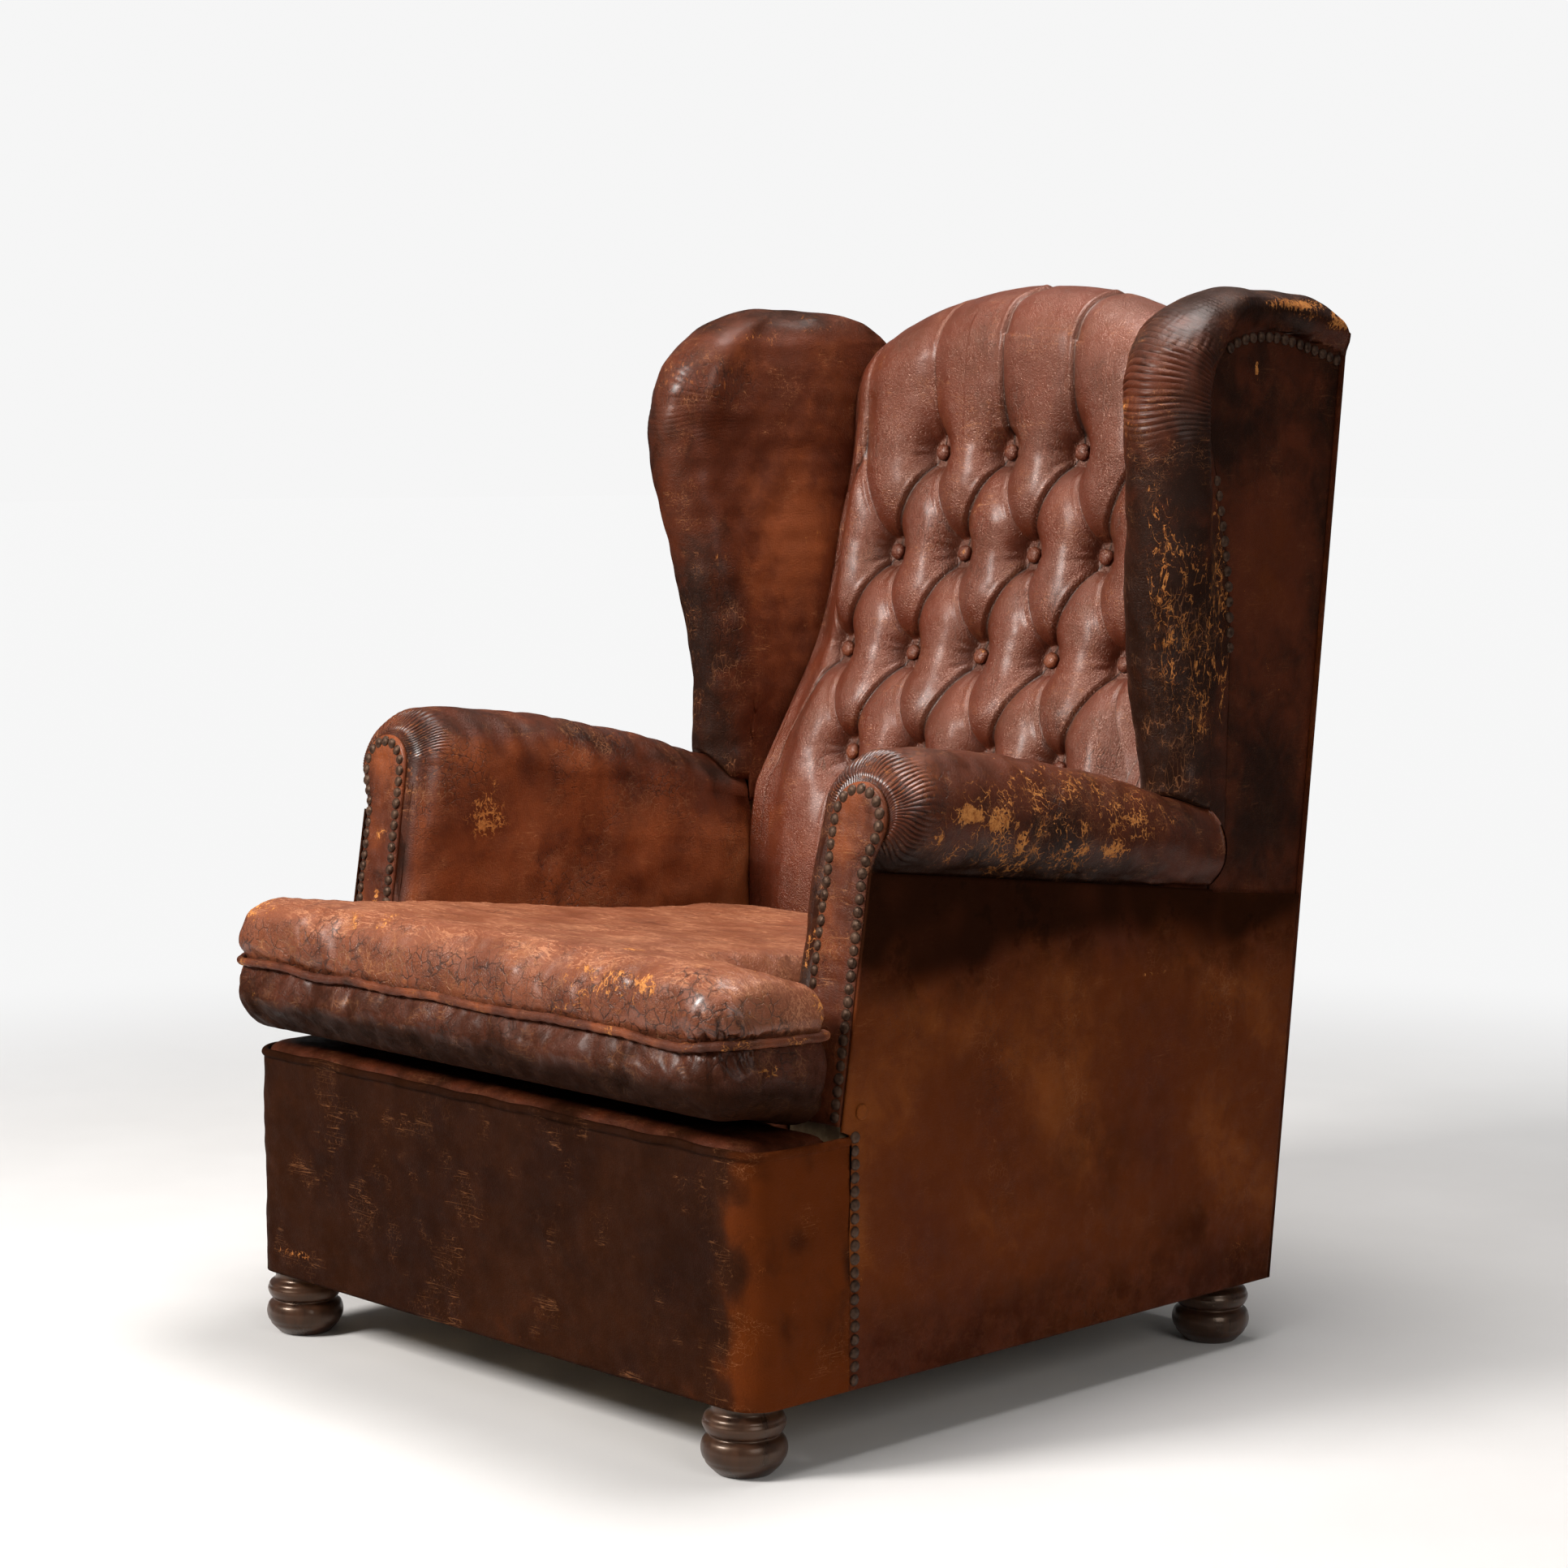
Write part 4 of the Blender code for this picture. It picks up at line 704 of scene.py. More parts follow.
def tuft(x, z, height=0.034):
    """How far the buttoned hide stands out in front of its buttons, and what is folded.

    Every button sits in a pit that opens as one less a stretched exponential of the
    distance from it.  Between the rows a pleat falls to the left from each button and a
    softer fold to the right; above the top row and below the lowest, pleats stand
    upright.  Pleats are deepest half way between two buttons, as the root of a sine."""
    row = (BUTTON_TOP - BUTTON_LOW) / 3
    p, q = x / BUTTON_STEP, (BUTTON_TOP - z) / row
    gap, pit = np.full(x.shape, 1.0), np.zeros(x.shape)
    for bx, bz in button_places():
        here = np.hypot(x - bx, (z - bz) * 0.92)
        gap = np.minimum(gap, here)
        pit += np.exp(-(np.maximum(here - 0.0086, 0.0) / 0.018) ** 1.05)
    pit = np.minimum(pit, 1.0)
    held = np.clip(q, 0.0, 3.0)
    bow = np.abs(np.sin(np.pi * held)) ** 0.8
    a, b = p + held / 2 + 0.075 * bow, p - held / 2 + 0.030 * bow
    pitch = 0.0907
    from_a, from_b = (a - np.round(a)) * pitch, (b - np.round(b)) * pitch
    above = q <= 0.0
    reach = np.where(above, z - BUTTON_TOP, np.maximum(BUTTON_LOW - z, 0.0))
    upright = smooth(reach / 0.035)
    left, right = np.zeros(x.shape), np.zeros(x.shape)
    for step in (-pitch, 0.0, pitch):
        left += 0.58 * np.exp(-(np.abs(from_a + step) / 0.013) ** 1.4)
        right += 0.62 * np.exp(-((from_b + step) / 0.013) ** 2)
    left += 0.42 * pleat(-from_a, 0.0065, 0.0019)
    right += 0.38 * pleat(-from_b, 0.004, 0.0017)
    left, right = (1.0 - upright) * left, (1.0 - upright) * right
    nearest = np.where(above, np.round(p), np.floor(p) + 0.5)
    from_c = (p - nearest) * BUTTON_STEP
    crisp = np.where(above, np.interp(nearest, [-2, -1, 0, 1, 2], [0.25, 0.35, 1.0, 1.0, 0.4]),
                     0.7)
    fade = upright * (1.0 - 0.72 * smooth((reach - 0.02) / 0.12))
    channel = fade * crisp * (0.45 * np.exp(-(from_c / 0.016) ** 2)
                              + 0.45 * pleat(-from_c, 0.0060, 0.0019))
    broad = fade * (1 - crisp) * np.exp(-(from_c / 0.018) ** 2)
    out = height * (1.0 - pit) - 0.0105 * left - 0.0075 * right - 0.0105 * channel - 0.010 * broad
    out = np.where(gap < 0.0090, 0.0, np.maximum(out, 0.0))
    strong = (1.0 - upright) + fade ** 0.5 * crisp
    return out, (a, strong, b, 0.55 * (1.0 - upright)), gap


def back_pad():
    """The buttoned back as sections across its width, (row, point, xyz), and its folds.

    A section climbs the tufted face, rolls over the crest as part of an ellipse and
    goes down behind.  Where face and ellipse join, each point is moved towards the middle
    of its two neighbours, many times over.  Wrinkles radiate from each button: waves of
    the angle round it that die away with distance."""
    across = np.linspace(-PAD_HALF, PAD_HALF, 318)[:, None]
    ax = np.abs(across)
    crest = read(CREST, ax)
    edge = smooth((ax - 0.200) / 0.062)
    top = crest - 0.060
    low_run, high_run = np.linspace(0.302, 0.520, 70), np.linspace(0.0, 1.0, 311)[1:]
    z = np.hstack([np.repeat(low_run[None, :], len(across), 0),
                   0.520 + (top - 0.520) * high_run[None, :]])
    x = across + 0 * z
    rise, lines, gap = tuft(x, z)
    y = read(BUTTON_LINE, z) - rise
    y = y + (read(EDGE_LINE, z) - y) * edge
    y = y - 0.0036 * np.clip(1.0 - (top - z) / 0.05, 0.0, 1.0) ** 2
    start = y[:, -1:]
    rear = back_y(1.0) + 0.021 - 0.012 * edge
    low = BACK_TOP + 2 * FIT
    turn = np.pi * np.linspace(0.0, 1.0, 72)[None, 1:]
    base = np.where(turn < np.pi / 2, top, low + 0.012)
    over_y = (start + rear) / 2 - (rear - start) / 2 * np.cos(turn)
    over_z = base + (crest - base) * np.sin(turn)
    inset = 0.003 + 0.040 + 3 * FIT
    last = np.array([back_y(low), back_y(low) - inset, back_y(0.302) - inset])
    last_z = np.array([low, low, 0.302])
    behind_y = np.hstack([rear - 0.006, np.repeat(last[None, :], len(across), 0)])
    behind_z = np.hstack([0 * rear + low + 0.004, np.repeat(last_z[None, :], len(across), 0)])
    ys, zs = np.hstack([y, over_y, behind_y]), np.hstack([z, over_z, behind_z])
    count, face = ys.shape[1], z.shape[1]
    for grid in (ys, zs):
        join = grid[:, face - 60:face + 40]
        for _ in range(JOIN_STEPS):
            join[:, 1:-1] += 0.25 * (join[:, :-2] + join[:, 2:] - 2.0 * join[:, 1:-1])
    rings = np.stack([across + 0 * ys, ys, zs], -1)
    pad = ((0, 0), (0, count - face))
    a, strong, b, weak = (np.pad(f, pad) for f in lines)
    gap = np.pad(gap, pad, constant_values=1.0)
    place = across / BUTTON_STEP
    from_line = (place - np.round(place)) * BUTTON_STEP
    crisp = np.interp(np.round(place), [-2, -1, 0, 1, 2], [0.2, 0.3, 1.0, 1.0, 0.4])
    groove = crisp * pleat(-from_line, 0.007, 0.0020) * np.ones_like(zs)
    groove[:, :face] = 0.0
    groove[:, face + 62:] = 0.0
    a[:, face:], strong[:, face:face + 60] = place, 0.6 * crisp
    strong, weak = strong * (1 - 0.6 * edge), weak * (1 - 0.6 * edge)
    shown = np.zeros(count)
    shown[:face + 64] = 1.0
    shown = shown[None, :] * smooth((PAD_HALF - ax) / 0.010) * smooth((zs - 0.306) / 0.02)
    spokes = np.zeros_like(zs)
    for n, (bx, bz) in enumerate(button_places()):
        dx, dz = rings[..., 0] - bx, rings[..., 2] - bz
        far, turn = np.hypot(dx, dz), np.arctan2(dz, dx)
        wave = np.sin(11 * turn + n) + 0.6 * np.sin(17 * turn + 2.1 * n)
        spokes += wave * np.exp(-((far - 0.020) / 0.010) ** 2)
    soft = 0.0007 * drift(rings, 0.085, 73) + 0.00012 * drift(rings, 0.026, 74)
    clear = smooth((gap - 0.010) / 0.010)
    rings = swell(rings, shown * (clear * (0.0003 * spokes + soft) - 0.0036 * groove))
    fill = 0.0118 * smooth((ax - 0.232) / 0.030) * smooth((0.555 - zs) / 0.030)
    fill[:, face:] = 0.0
    rings[..., 0] += np.sign(across) * fill
    return rings, (a, strong, b, weak), gap


def button_solid(seed):
    """Covered buttons: lathed domes of 26 sides set on the back where the hide is pulled
    in, each facing out along the slope, its leather crumpled a little at the rim."""
    rng = np.random.default_rng(seed)
    parts = []
    profile = curve([(0.0072, -0.0006), (0.0086, -0.0022), (0.0087, -0.0036), (0.0074, -0.0058),
                     (0.0048, -0.0072), (0.0018, -0.0078)], 3)
    turn = circle(26)
    for x, z in button_places():
        lean = float(read(BUTTON_LINE, z + 0.02) - read(BUTTON_LINE, z - 0.02)) / 0.04
        into = np.array([0.0, 1.0, -lean]) / math.hypot(1.0, lean)
        up = np.cross(into, np.array([1.0, 0.0, 0.0]))
        tip = rng.normal(0.0, 0.0004, 26)
        ring = profile[:, :1] + tip[None, :]
        centre = np.array([x, float(read(BUTTON_LINE, z)) + 0.0002, z])
        rings = (centre + profile[:, 1, None, None] * into
                 + ring[..., None] * (np.cos(turn)[None, :, None] * np.array([1.0, 0.0, 0.0])
                                      + np.sin(turn)[None, :, None] * up))
        parts.append(skin(rings))
    return merge(parts)


# ---- the seat --------------------------------------------------------------------------
def tee_plan(sides, radii, inset, count):
    """T-shaped plan moved inwards by an inset, its corners rounded, cut evenly."""
    front, rear, half, ear, ear_rear = sides
    front, rear, ear_rear = front + inset, rear - inset, ear_rear - inset
    half, ear = half - inset, ear - inset
    corners = np.array([(-ear, front), (ear, front), (ear, ear_rear), (half, ear_rear),
                        (half, rear), (-half, rear), (-half, ear_rear), (-ear, ear_rear)])
    turned = np.maximum(0.003, np.array(radii) - inset)
    turned[[3, 6]] = np.array(radii)[[3, 6]] + inset
    turn = np.linspace(0.0, np.pi / 2, 9)[None, :, None]
    before = np.roll(corners, 1, axis=0) - corners
    after = np.roll(corners, -1, axis=0) - corners
    before, after = unit(before)[:, None], unit(after)[:, None]
    reach = turned[:, None, None]
    line = (corners[:, None] + (before + after) * reach
            - after * reach * np.cos(turn) - before * reach * np.sin(turn)).reshape(-1, 2)
    return evenly(np.vstack([line, line[:1]]), count + 1)[:-1]


def sink(points):
    """Drop the cushion's top and seam towards the back, where it is sat flat."""
    z = points[..., 2]
    share = 0.6 * smooth((z - 0.330) / 0.040) + 0.4 * smooth((z - 0.400) / 0.030)
    moved = points.copy()
    moved[..., 2] = z - CUSHION_FALL * share * smooth((points[..., 1] + 0.400) / 0.480)
    return moved


def tee_stack(sides, radii, levels):
    """Rings of the T plan at (inset, height) levels."""
    return np.array([np.column_stack([tee_plan(sides, radii, inset, PLAN_POINTS),
                                      np.full(PLAN_POINTS, height)])
                     for inset, height in levels])


def capped(name, rings):
    """A mesh object over rings whose ends are single flat faces."""
    verts, quads, _ = skin(rings)
    verts = verts[:-2]
    count, last = rings.shape[1], (rings.shape[0] - 1) * rings.shape[1]
    faces = quads.tolist() + [np.arange(count)[::-1].tolist(), (last + np.arange(count)).tolist()]
    if volume(verts, quads, np.zeros((0, 3), int)) < 0.0:
        faces = [face[::-1] for face in faces]
    mesh = bpy.data.meshes.new(name)
    mesh.from_pydata(verts.tolist(), [], faces)
    return placed(name, mesh)


def baked(piece):
    """Apply every modifier of a piece to its mesh."""
    bpy.context.view_layer.update()
    shape = bpy.data.meshes.new_from_object(
        piece.evaluated_get(bpy.context.evaluated_depsgraph_get()))
    piece.modifiers.clear()
    piece.data = shape
    return piece


def remeshed(piece, size):
    """Give a piece an even mesh of square faces of one size."""
    grid = piece.modifiers.new("remesh", "REMESH")
    grid.mode = "VOXEL"
    grid.voxel_size = size
    grid.adaptivity = 0.0
    return baked(piece)


def blow_up(piece, pressure, cap):
    """Swell a piece as cloth under pressure, its seam held; no point moves past a cap.

    The seam is every vertex close to the seam's height; it and the underside are pinned."""
    start = points_of(piece)
    seam = seam_height(start)
    held = np.exp(-((start[:, 2] - seam) / 0.006) ** 2)
    held = np.where(start[:, 2] < 0.301, 1.0, held)
    pins = piece.vertex_groups.new(name="seam")
    for least, weight in ((0.15, 0.3), (0.85, 1.0)):
        pins.add(np.nonzero(held > least)[0].tolist(), weight, "REPLACE")
    cloth = piece.modifiers.new("cloth", "CLOTH")
    for key, value in (("quality", 4), ("mass", 0.4), ("use_pressure", True),
                       ("uniform_pressure_force", pressure), ("shrink_min", -0.030),
                       ("tension_stiffness", 25.0), ("bending_stiffness", 0.35),
                       ("vertex_group_mass", "seam")):
        setattr(cloth.settings, key, value)
    cloth.settings.effector_weights.gravity = 0.0
    cloth.point_cache.frame_start, cloth.point_cache.frame_end = 1, 20
    for number in range(1, SWELL_FRAMES + 1):
        bpy.context.scene.frame_set(number)
    baked(piece)
    bpy.context.scene.frame_set(1)
    step = points_of(piece) - start
    length = np.linalg.norm(step, axis=1, keepdims=True)
    step *= np.minimum(1.0, cap / np.maximum(length, 1e-9))
    put_back(piece, start + step)


def seam_height(points):
    """Height of the cushion's seam under any point of its plan."""
    return SEAM_Z - 0.6 * CUSHION_FALL * smooth((points[..., 1] + 0.400) / 0.480)


def strap(line, width, lift, seed):
    """A woven strap: a sheet whose middle line has a lift up and down, its edges fuzzy.

    line is (x, y) from end to end, and lift(x, y) the height of the middle of the strap."""
    path = evenly(np.array(line, float), 170)
    run = unit(path[-1] - path[0])
    aside = np.array([-run[1], run[0]])
    u = np.linspace(-0.5, 0.5, 12)[None, :, None]
    rng = np.random.default_rng(seed)
    spread = width * u + np.where(np.abs(u) > 0.49, rng.normal(0, 0.0004, (170, 12, 1)), 0.0)
    plan = path[:, None] + spread * aside
    height = lift(plan[..., 0], plan[..., 1])
    top = np.concatenate([plan, (height + 0.00055)[..., None]], -1)
    bottom = np.concatenate([plan, (height - 0.00055)[..., None]], -1)
    return plate(top, bottom)


def webbing_solid():
    """Straps woven over and under: the height is a product of two cosines, and straps
    that run the other way have the opposite sign, so that they never meet."""
    xs = (-0.195, -0.065, 0.065, 0.195)
    ys = (-0.215, -0.0813, 0.0523, 0.186)
    level = 0.0647

    def weave(sign):
        def height(x, y):
            over = np.sin(np.pi * (x + 0.13) / 0.13) * np.sin(np.pi * (y + 0.1482) / 0.1337)
            return level + sign * 0.00085 * np.tanh(3.0 * over)
        return height

    parts = [strap([(x, -0.390), (x, 0.305)], 0.052, weave(1.0), 80 + n)
             for n, x in enumerate(xs)]
    parts += [strap([(-0.362, y), (0.362, y)], 0.052, weave(-1.0), 90 + n)
              for n, y in enumerate(ys)]
    return merge(parts)


def loose_strap_solid():
    """End of a strap hanging down, its cut end unravelled into a dozen thin threads."""
    line = curve([(-0.330, 0.0610), (-0.318, 0.0608), (-0.304, 0.0560), (-0.299, 0.0470),
                  (-0.303, 0.0390), (-0.300, 0.0345)], 8)
    path = evenly(line, 60)
    run = unit(np.gradient(path, axis=0))
    off = np.stack([-run[:, 1], run[:, 0]], -1)
    u = np.linspace(-1.0, 1.0, 16)
    taper = 0.018 * (1.0 - 0.30 * np.linspace(0.0, 1.0, 60))
    x = -0.222 + taper[:, None] * u
    wave = 0.0006 * drift(np.stack([x, path[:, :1] + 0 * x, path[:, 1:] + 0 * x], -1), 0.02, 96)
    y, z = path[:, :1] + off[:, :1] * wave, path[:, 1:] + off[:, 1:] * wave
    thick = 0.00045
    front = np.stack([x, y + off[:, :1] * thick, z + off[:, 1:] * thick], -1)
    back = np.stack([x, y - off[:, :1] * thick, z - off[:, 1:] * thick], -1)
    parts = [plate(front, back)]
    rng = np.random.default_rng(97)
    for n in range(13):
        at = -0.222 + 0.0125 * (n / 6.0 - 1.0)
        length = rng.uniform(0.006, 0.013)
        t = np.linspace(-0.15, 1.0, 8)
        bend = rng.normal(0.0, 0.004, 2)
        thread = np.stack([at + bend[0] * np.clip(t, 0, 1) ** 2,
                           -0.300 + bend[1] * np.clip(t, 0, 1) ** 2, 0.0345 - length * t], -1)
        parts.append(skin(tube_rings(thread, 0.00045, 5)))
    return merge(parts)


def tube_rings(path, radius, sides):
    """Circles square to a path: two directions across each point come from cross
    products of its tangent with one fixed direction."""
    path = np.asarray(path, float)
    ahead = unit(np.gradient(path, axis=0))
    across = unit(np.cross(ahead, np.array([0.31, 0.95, 0.06])))
    other = np.cross(ahead, across)
    turn = circle(sides)[None, :, None]
    radius = np.broadcast_to(radius, (len(path),))[:, None, None]
    spoke = np.cos(turn) * across[:, None] + np.sin(turn) * other[:, None]
    return path[:, None] + radius * spoke


def piping_rings():
    """The cushion's piping: a closed tube that follows the seam, rises and dips a little
    with it, and is thicker and thinner where the hide is folded over its cord."""
    plan = tee_plan(CUSHION_SIDES, CUSHION_RADII, 0.0012, 900)
    line = np.column_stack([plan, np.zeros(len(plan))])
    line[:, 2] = seam_height(line) + 0.0016 * drift(line, 0.14, 101)
    ahead = unit(np.roll(line, -1, axis=0) - np.roll(line, 1, axis=0))
    across = unit(np.cross(ahead, np.array([0.0, 0.0, 1.0])))
    other = np.cross(across, ahead)
    turn = circle(14)[None, :, None]
    spoke = np.cos(turn) * across[:, None] + np.sin(turn) * other[:, None]
    rings = line[:, None] + CORD_R * spoke
    return rings + (0.0004 * drift(rings, 0.012, 102))[..., None] * spoke


# ---- finishes ----------------------------------------------------------------------
class Net:
    """Short names for adding and joining the nodes of one shader tree."""

    def __init__(self, tree):
        self.tree = tree

    def node(self, kind, **settings):
        """A new node with its settings."""
        made = self.tree.nodes.new(kind)
        for key, value in settings.items():
            setattr(made, key, value)
        return made

    def put(self, socket, value):
        """Join a socket to another, or give it a value."""
        if isinstance(value, bpy.types.NodeSocket):
            self.tree.links.new(value, socket)
        elif isinstance(value, tuple) and len(value) == 3 and socket.type == "RGBA":
            socket.default_value = (*value, 1.0)
        else:
            socket.default_value = value

    def math(self, kind, *values, clamp=False):
        """Arithmetic on one to three values."""
        made = self.node("ShaderNodeMath", operation=kind, use_clamp=clamp)
        for socket, value in zip(made.inputs, values):
            self.put(socket, value)
        return made.outputs[0]

    def add(self, first, *rest):
        """Sum of several values."""
        for value in rest:
            first = self.math("ADD", first, value)
        return first

    def times(self, first, *rest):
        """Product of several values."""
        for value in rest:
            first = self.math("MULTIPLY", first, value)
        return first

    def ramp(self, value, low, high, start=0.0, end=1.0):
        """Smooth ramp from start to end as value goes from low to high."""
        made = self.node("ShaderNodeMapRange", interpolation_type="SMOOTHSTEP")
        for socket, given in zip(made.inputs, (value, low, high, start, end)):
            self.put(socket, given)
        return made.outputs[0]

    def noise(self, vector, scale, detail=3.0, rough=0.55, twist=0.0, output=0):
        """Cloudy value about 0.5, or a cloudy colour as output 1."""
        made = self.node("ShaderNodeTexNoise")
        for key, value in (("Vector", vector), ("Scale", scale), ("Detail", detail),
                           ("Roughness", rough), ("Distortion", twist)):
            self.put(made.inputs[key], value)
        return made.outputs[output]

    def cells(self, vector, scale, feature="F1", output="Distance"):
        """Distance or colour of cellular cells."""
        made = self.node("ShaderNodeTexVoronoi", feature=feature)
        self.put(made.inputs["Vector"], vector)
        self.put(made.inputs["Scale"], scale)
        return made.outputs[output]

    def vector(self, kind, first, second):
        """Vector arithmetic."""
        made = self.node("ShaderNodeVectorMath", operation=kind)
        self.put(made.inputs[0], first)
        self.put(made.inputs[1], second)
        return made.outputs[0]

    def bent(self, vector, scale, amount):
        """A vector pushed about by coloured noise."""
        cloud = self.noise(vector, scale, 2.0, 0.5, output=1)
        push = self.vector("MULTIPLY", self.vector("SUBTRACT", cloud, (0.5, 0.5, 0.5)),
                           (amount, amount, amount))
        return self.vector("ADD", vector, push)

    def mix(self, factor, first, second, kind="MIX"):
        """Blend of two colours."""
        made = self.node("ShaderNodeMix", data_type="RGBA", blend_type=kind)
        self.put(made.inputs["Factor"], factor)
        self.put(made.inputs[6], first)
        self.put(made.inputs[7], second)
        return made.outputs[2]

    def parts(self, vector):
        """The three parts of a vector."""
        made = self.node("ShaderNodeSeparateXYZ")
        self.put(made.inputs[0], vector)
        return made.outputs

    def stored(self, name, output="Vector"):
        """A stored attribute."""
        return self.node("ShaderNodeAttribute", attribute_name=name).outputs[output]

    def line(self, value, width):
        """1 where a value is 0, falling to 0 as its size grows to a width."""
        return self.ramp(self.math("ABSOLUTE", value), 0.0, width, 1.0, 0.0)

    def stretched(self, vector, scale, turn=(0.0, 0.0, 0.0)):
        """A vector turned and drawn out."""
        made = self.node("ShaderNodeMapping")
        self.put(made.inputs["Vector"], vector)
        made.inputs["Rotation"].default_value = turn
        made.inputs["Scale"].default_value = scale
        return made.outputs[0]

    def relief(self, shader, height, strength, distance):
        """Bump a shader by a height."""
        made = self.node("ShaderNodeBump")
        for key, value in (("Strength", strength), ("Distance", distance), ("Height", height)):
            self.put(made.inputs[key], value)
        self.put(shader["Normal"], made.outputs[0])

    def share(self, name, **values):
        """One of the shared groups, its inputs given; returns its outputs by name."""
        made = self.node("ShaderNodeGroup")
        made.node_tree = SHARED[name]()
        for key, value in values.items():
            self.put(made.inputs[key], value)
        return made.outputs


def shared(name, inputs, outputs):
    """A named node group with its sockets, or None and the group if it exists already."""
    found = bpy.data.node_groups.get(name)
    if found:
        return found, None, None, None
    tree = bpy.data.node_groups.new(name, "ShaderNodeTree")
    for key, kind in inputs:
        tree.interface.new_socket(key, in_out="INPUT", socket_type="NodeSocket" + kind)
    for key in outputs:
        tree.interface.new_socket(key, in_out="OUTPUT", socket_type="NodeSocketFloat")
    net = Net(tree)
    return tree, net, net.node("NodeGroupInput").outputs, net.node("NodeGroupOutput").inputs


def pebble_group():
    """Leather grain: rounded pebbles between fine valleys, two sizes added together."""
    tree, net, given, out = shared("Hide Pebbles", [("Vector", "Vector"), ("Scale", "Float")],
                                   ["Height"])
    if net:
        place = net.bent(given["Vector"], 90.0, 0.004)
        large = net.ramp(net.cells(place, given["Scale"], "DISTANCE_TO_EDGE"), 0.0, 0.22)
        fine = net.ramp(net.cells(place, net.times(given["Scale"], 2.3), "DISTANCE_TO_EDGE"),
                        0.0, 0.25)
        net.put(out["Height"], net.add(net.times(large, 0.65), net.times(fine, 0.35)))
    return tree


def crackle_group():
    """Crazed finish: lines where cells meet, coarse and fine, bent and broken by noise.

    A line's mask is 1 in the crack and falls to 0 over its width; the second mask is a
    few plates in every hundred that have lost their colour."""
    tree, net, given, out = shared(
        "Crackle", [("Vector", "Vector"), ("Scale", "Float"), ("Width", "Float")],
        ["Lines", "Plates"])
    if net:
        place = net.bent(net.bent(given["Vector"], 42.0, 0.012), 190.0, 0.0030)
        wide = given["Width"]
        coarse = net.cells(place, given["Scale"], "DISTANCE_TO_EDGE")
        fine = net.cells(place, net.times(given["Scale"], 2.7), "DISTANCE_TO_EDGE")
        first = net.math("SUBTRACT", 1.0, net.ramp(coarse, 0.0, wide))
        second = net.math("SUBTRACT", 1.0, net.ramp(fine, 0.0, net.times(wide, 1.6)))
        broken = net.ramp(net.noise(place, 60.0), 0.42, 0.58)
        first = net.times(first, net.ramp(net.noise(place, 85.0), 0.36, 0.50))
        net.put(out["Lines"], net.math("MAXIMUM", first, net.times(second, broken, 0.55)))
        value = net.cells(place, net.times(given["Scale"], 2.7), "F1", "Color")
        net.put(out["Plates"], net.ramp(value, 0.78, 0.86))
    return tree


def ragged_group():
    """Worn-through patches that spread along cracks: the distance to the nearest edge of
    coarse or fine cells, plus cloudy noise, is compared with a level that rises with the
    amount of rub, so that thin broken lines join into lace and then into a patch with islands."""
    tree, net, given, out = shared(
        "Ragged Wear", [("Vector", "Vector"), ("Amount", "Float"), ("Scale", "Float")],
        ["Mask", "Fringe"])
    if net:
        place = net.bent(net.bent(given["Vector"], 48.0, 0.012), 230.0, 0.0045)
        coarse = net.cells(place, net.times(given["Scale"], 0.45), "DISTANCE_TO_EDGE")
        fine = net.cells(place, net.times(given["Scale"], 1.5), "DISTANCE_TO_EDGE")
        cloud = net.add(net.noise(place, net.times(given["Scale"], 0.55), 8.0, 0.68), -0.5)
        gaps = net.ramp(net.noise(place, net.times(given["Scale"], 0.20)), 0.42, 0.58)
        vein = net.add(net.noise(place, net.times(given["Scale"], 0.35), 2.0), -0.5)
        coarse = net.math("MINIMUM", net.add(coarse, net.times(gaps, 0.07)),
                          net.times(net.math("ABSOLUTE", vein), 2.6))
        web = net.add(net.times(net.add(given["Amount"], -0.33), 0.80), net.times(cloud, 0.55),
                      net.times(coarse, -3.2), 0.02)
        patch = net.add(net.times(net.add(given["Amount"], -0.60), 0.85), net.times(cloud, 1.5),
                        net.times(fine, -0.55), 0.02)
        level = net.math("MAXIMUM", web, patch)
        some = net.ramp(given["Amount"], 0.05, 0.20)
        net.put(out["Mask"], net.times(net.ramp(level, 0.0, 0.025), some))
        net.put(out["Fringe"], net.times(net.ramp(level, -0.085, 0.010), some))
    return tree


def scratch_group():
    """Thin scratches: two sets of noise stretched along slanting lines, kept where both
    a narrow band of the noise and a cloudy mask allow."""
    tree, net, given, out = shared("Scratches", [("Vector", "Vector"), ("Amount", "Float")],
                                   ["Lines"])
    if net:
        lines = []
        for turn, stretch, scale in (((0.5, 0.9, 0.2), (1.0, 0.06, 1.0), 150.0),
                                     ((1.1, 0.3, 1.3), (0.05, 1.0, 1.0), 120.0)):
            cloud = net.noise(net.stretched(given["Vector"], stretch, turn), scale, 2.0)
            band = net.math("ABSOLUTE", net.add(cloud, -0.5))
            line = net.math("SUBTRACT", 1.0, net.ramp(band, 0.0, 0.010))
            lines.append(net.times(line, net.ramp(net.noise(given["Vector"], 21.0), 0.54, 0.62)))
        net.put(out["Lines"], net.times(net.math("MAXIMUM", *lines), given["Amount"]))
    return tree


def mottle_group():
    """Uneven dyeing: broad clouds, middling blotches and fine specks in one value."""
    tree, net, given, out = shared("Mottle", [("Vector", "Vector")], ["Value", "Specks"])
    if net:
        broad = net.noise(given["Vector"], 9.0, 3.0, 0.5)
        middle = net.noise(given["Vector"], 34.0, 6.0, 0.65, 0.6)
        net.put(out["Value"], net.add(net.times(broad, 0.5), net.times(middle, 0.5)))
        specks = net.noise(given["Vector"], 420.0, 4.0, 0.7)
        net.put(out["Specks"], net.ramp(specks, 0.58, 0.70))
    return tree


SHARED = {"pebbles": pebble_group, "crackle": crackle_group, "ragged": ragged_group,
          "scratches": scratch_group, "mottle": mottle_group}


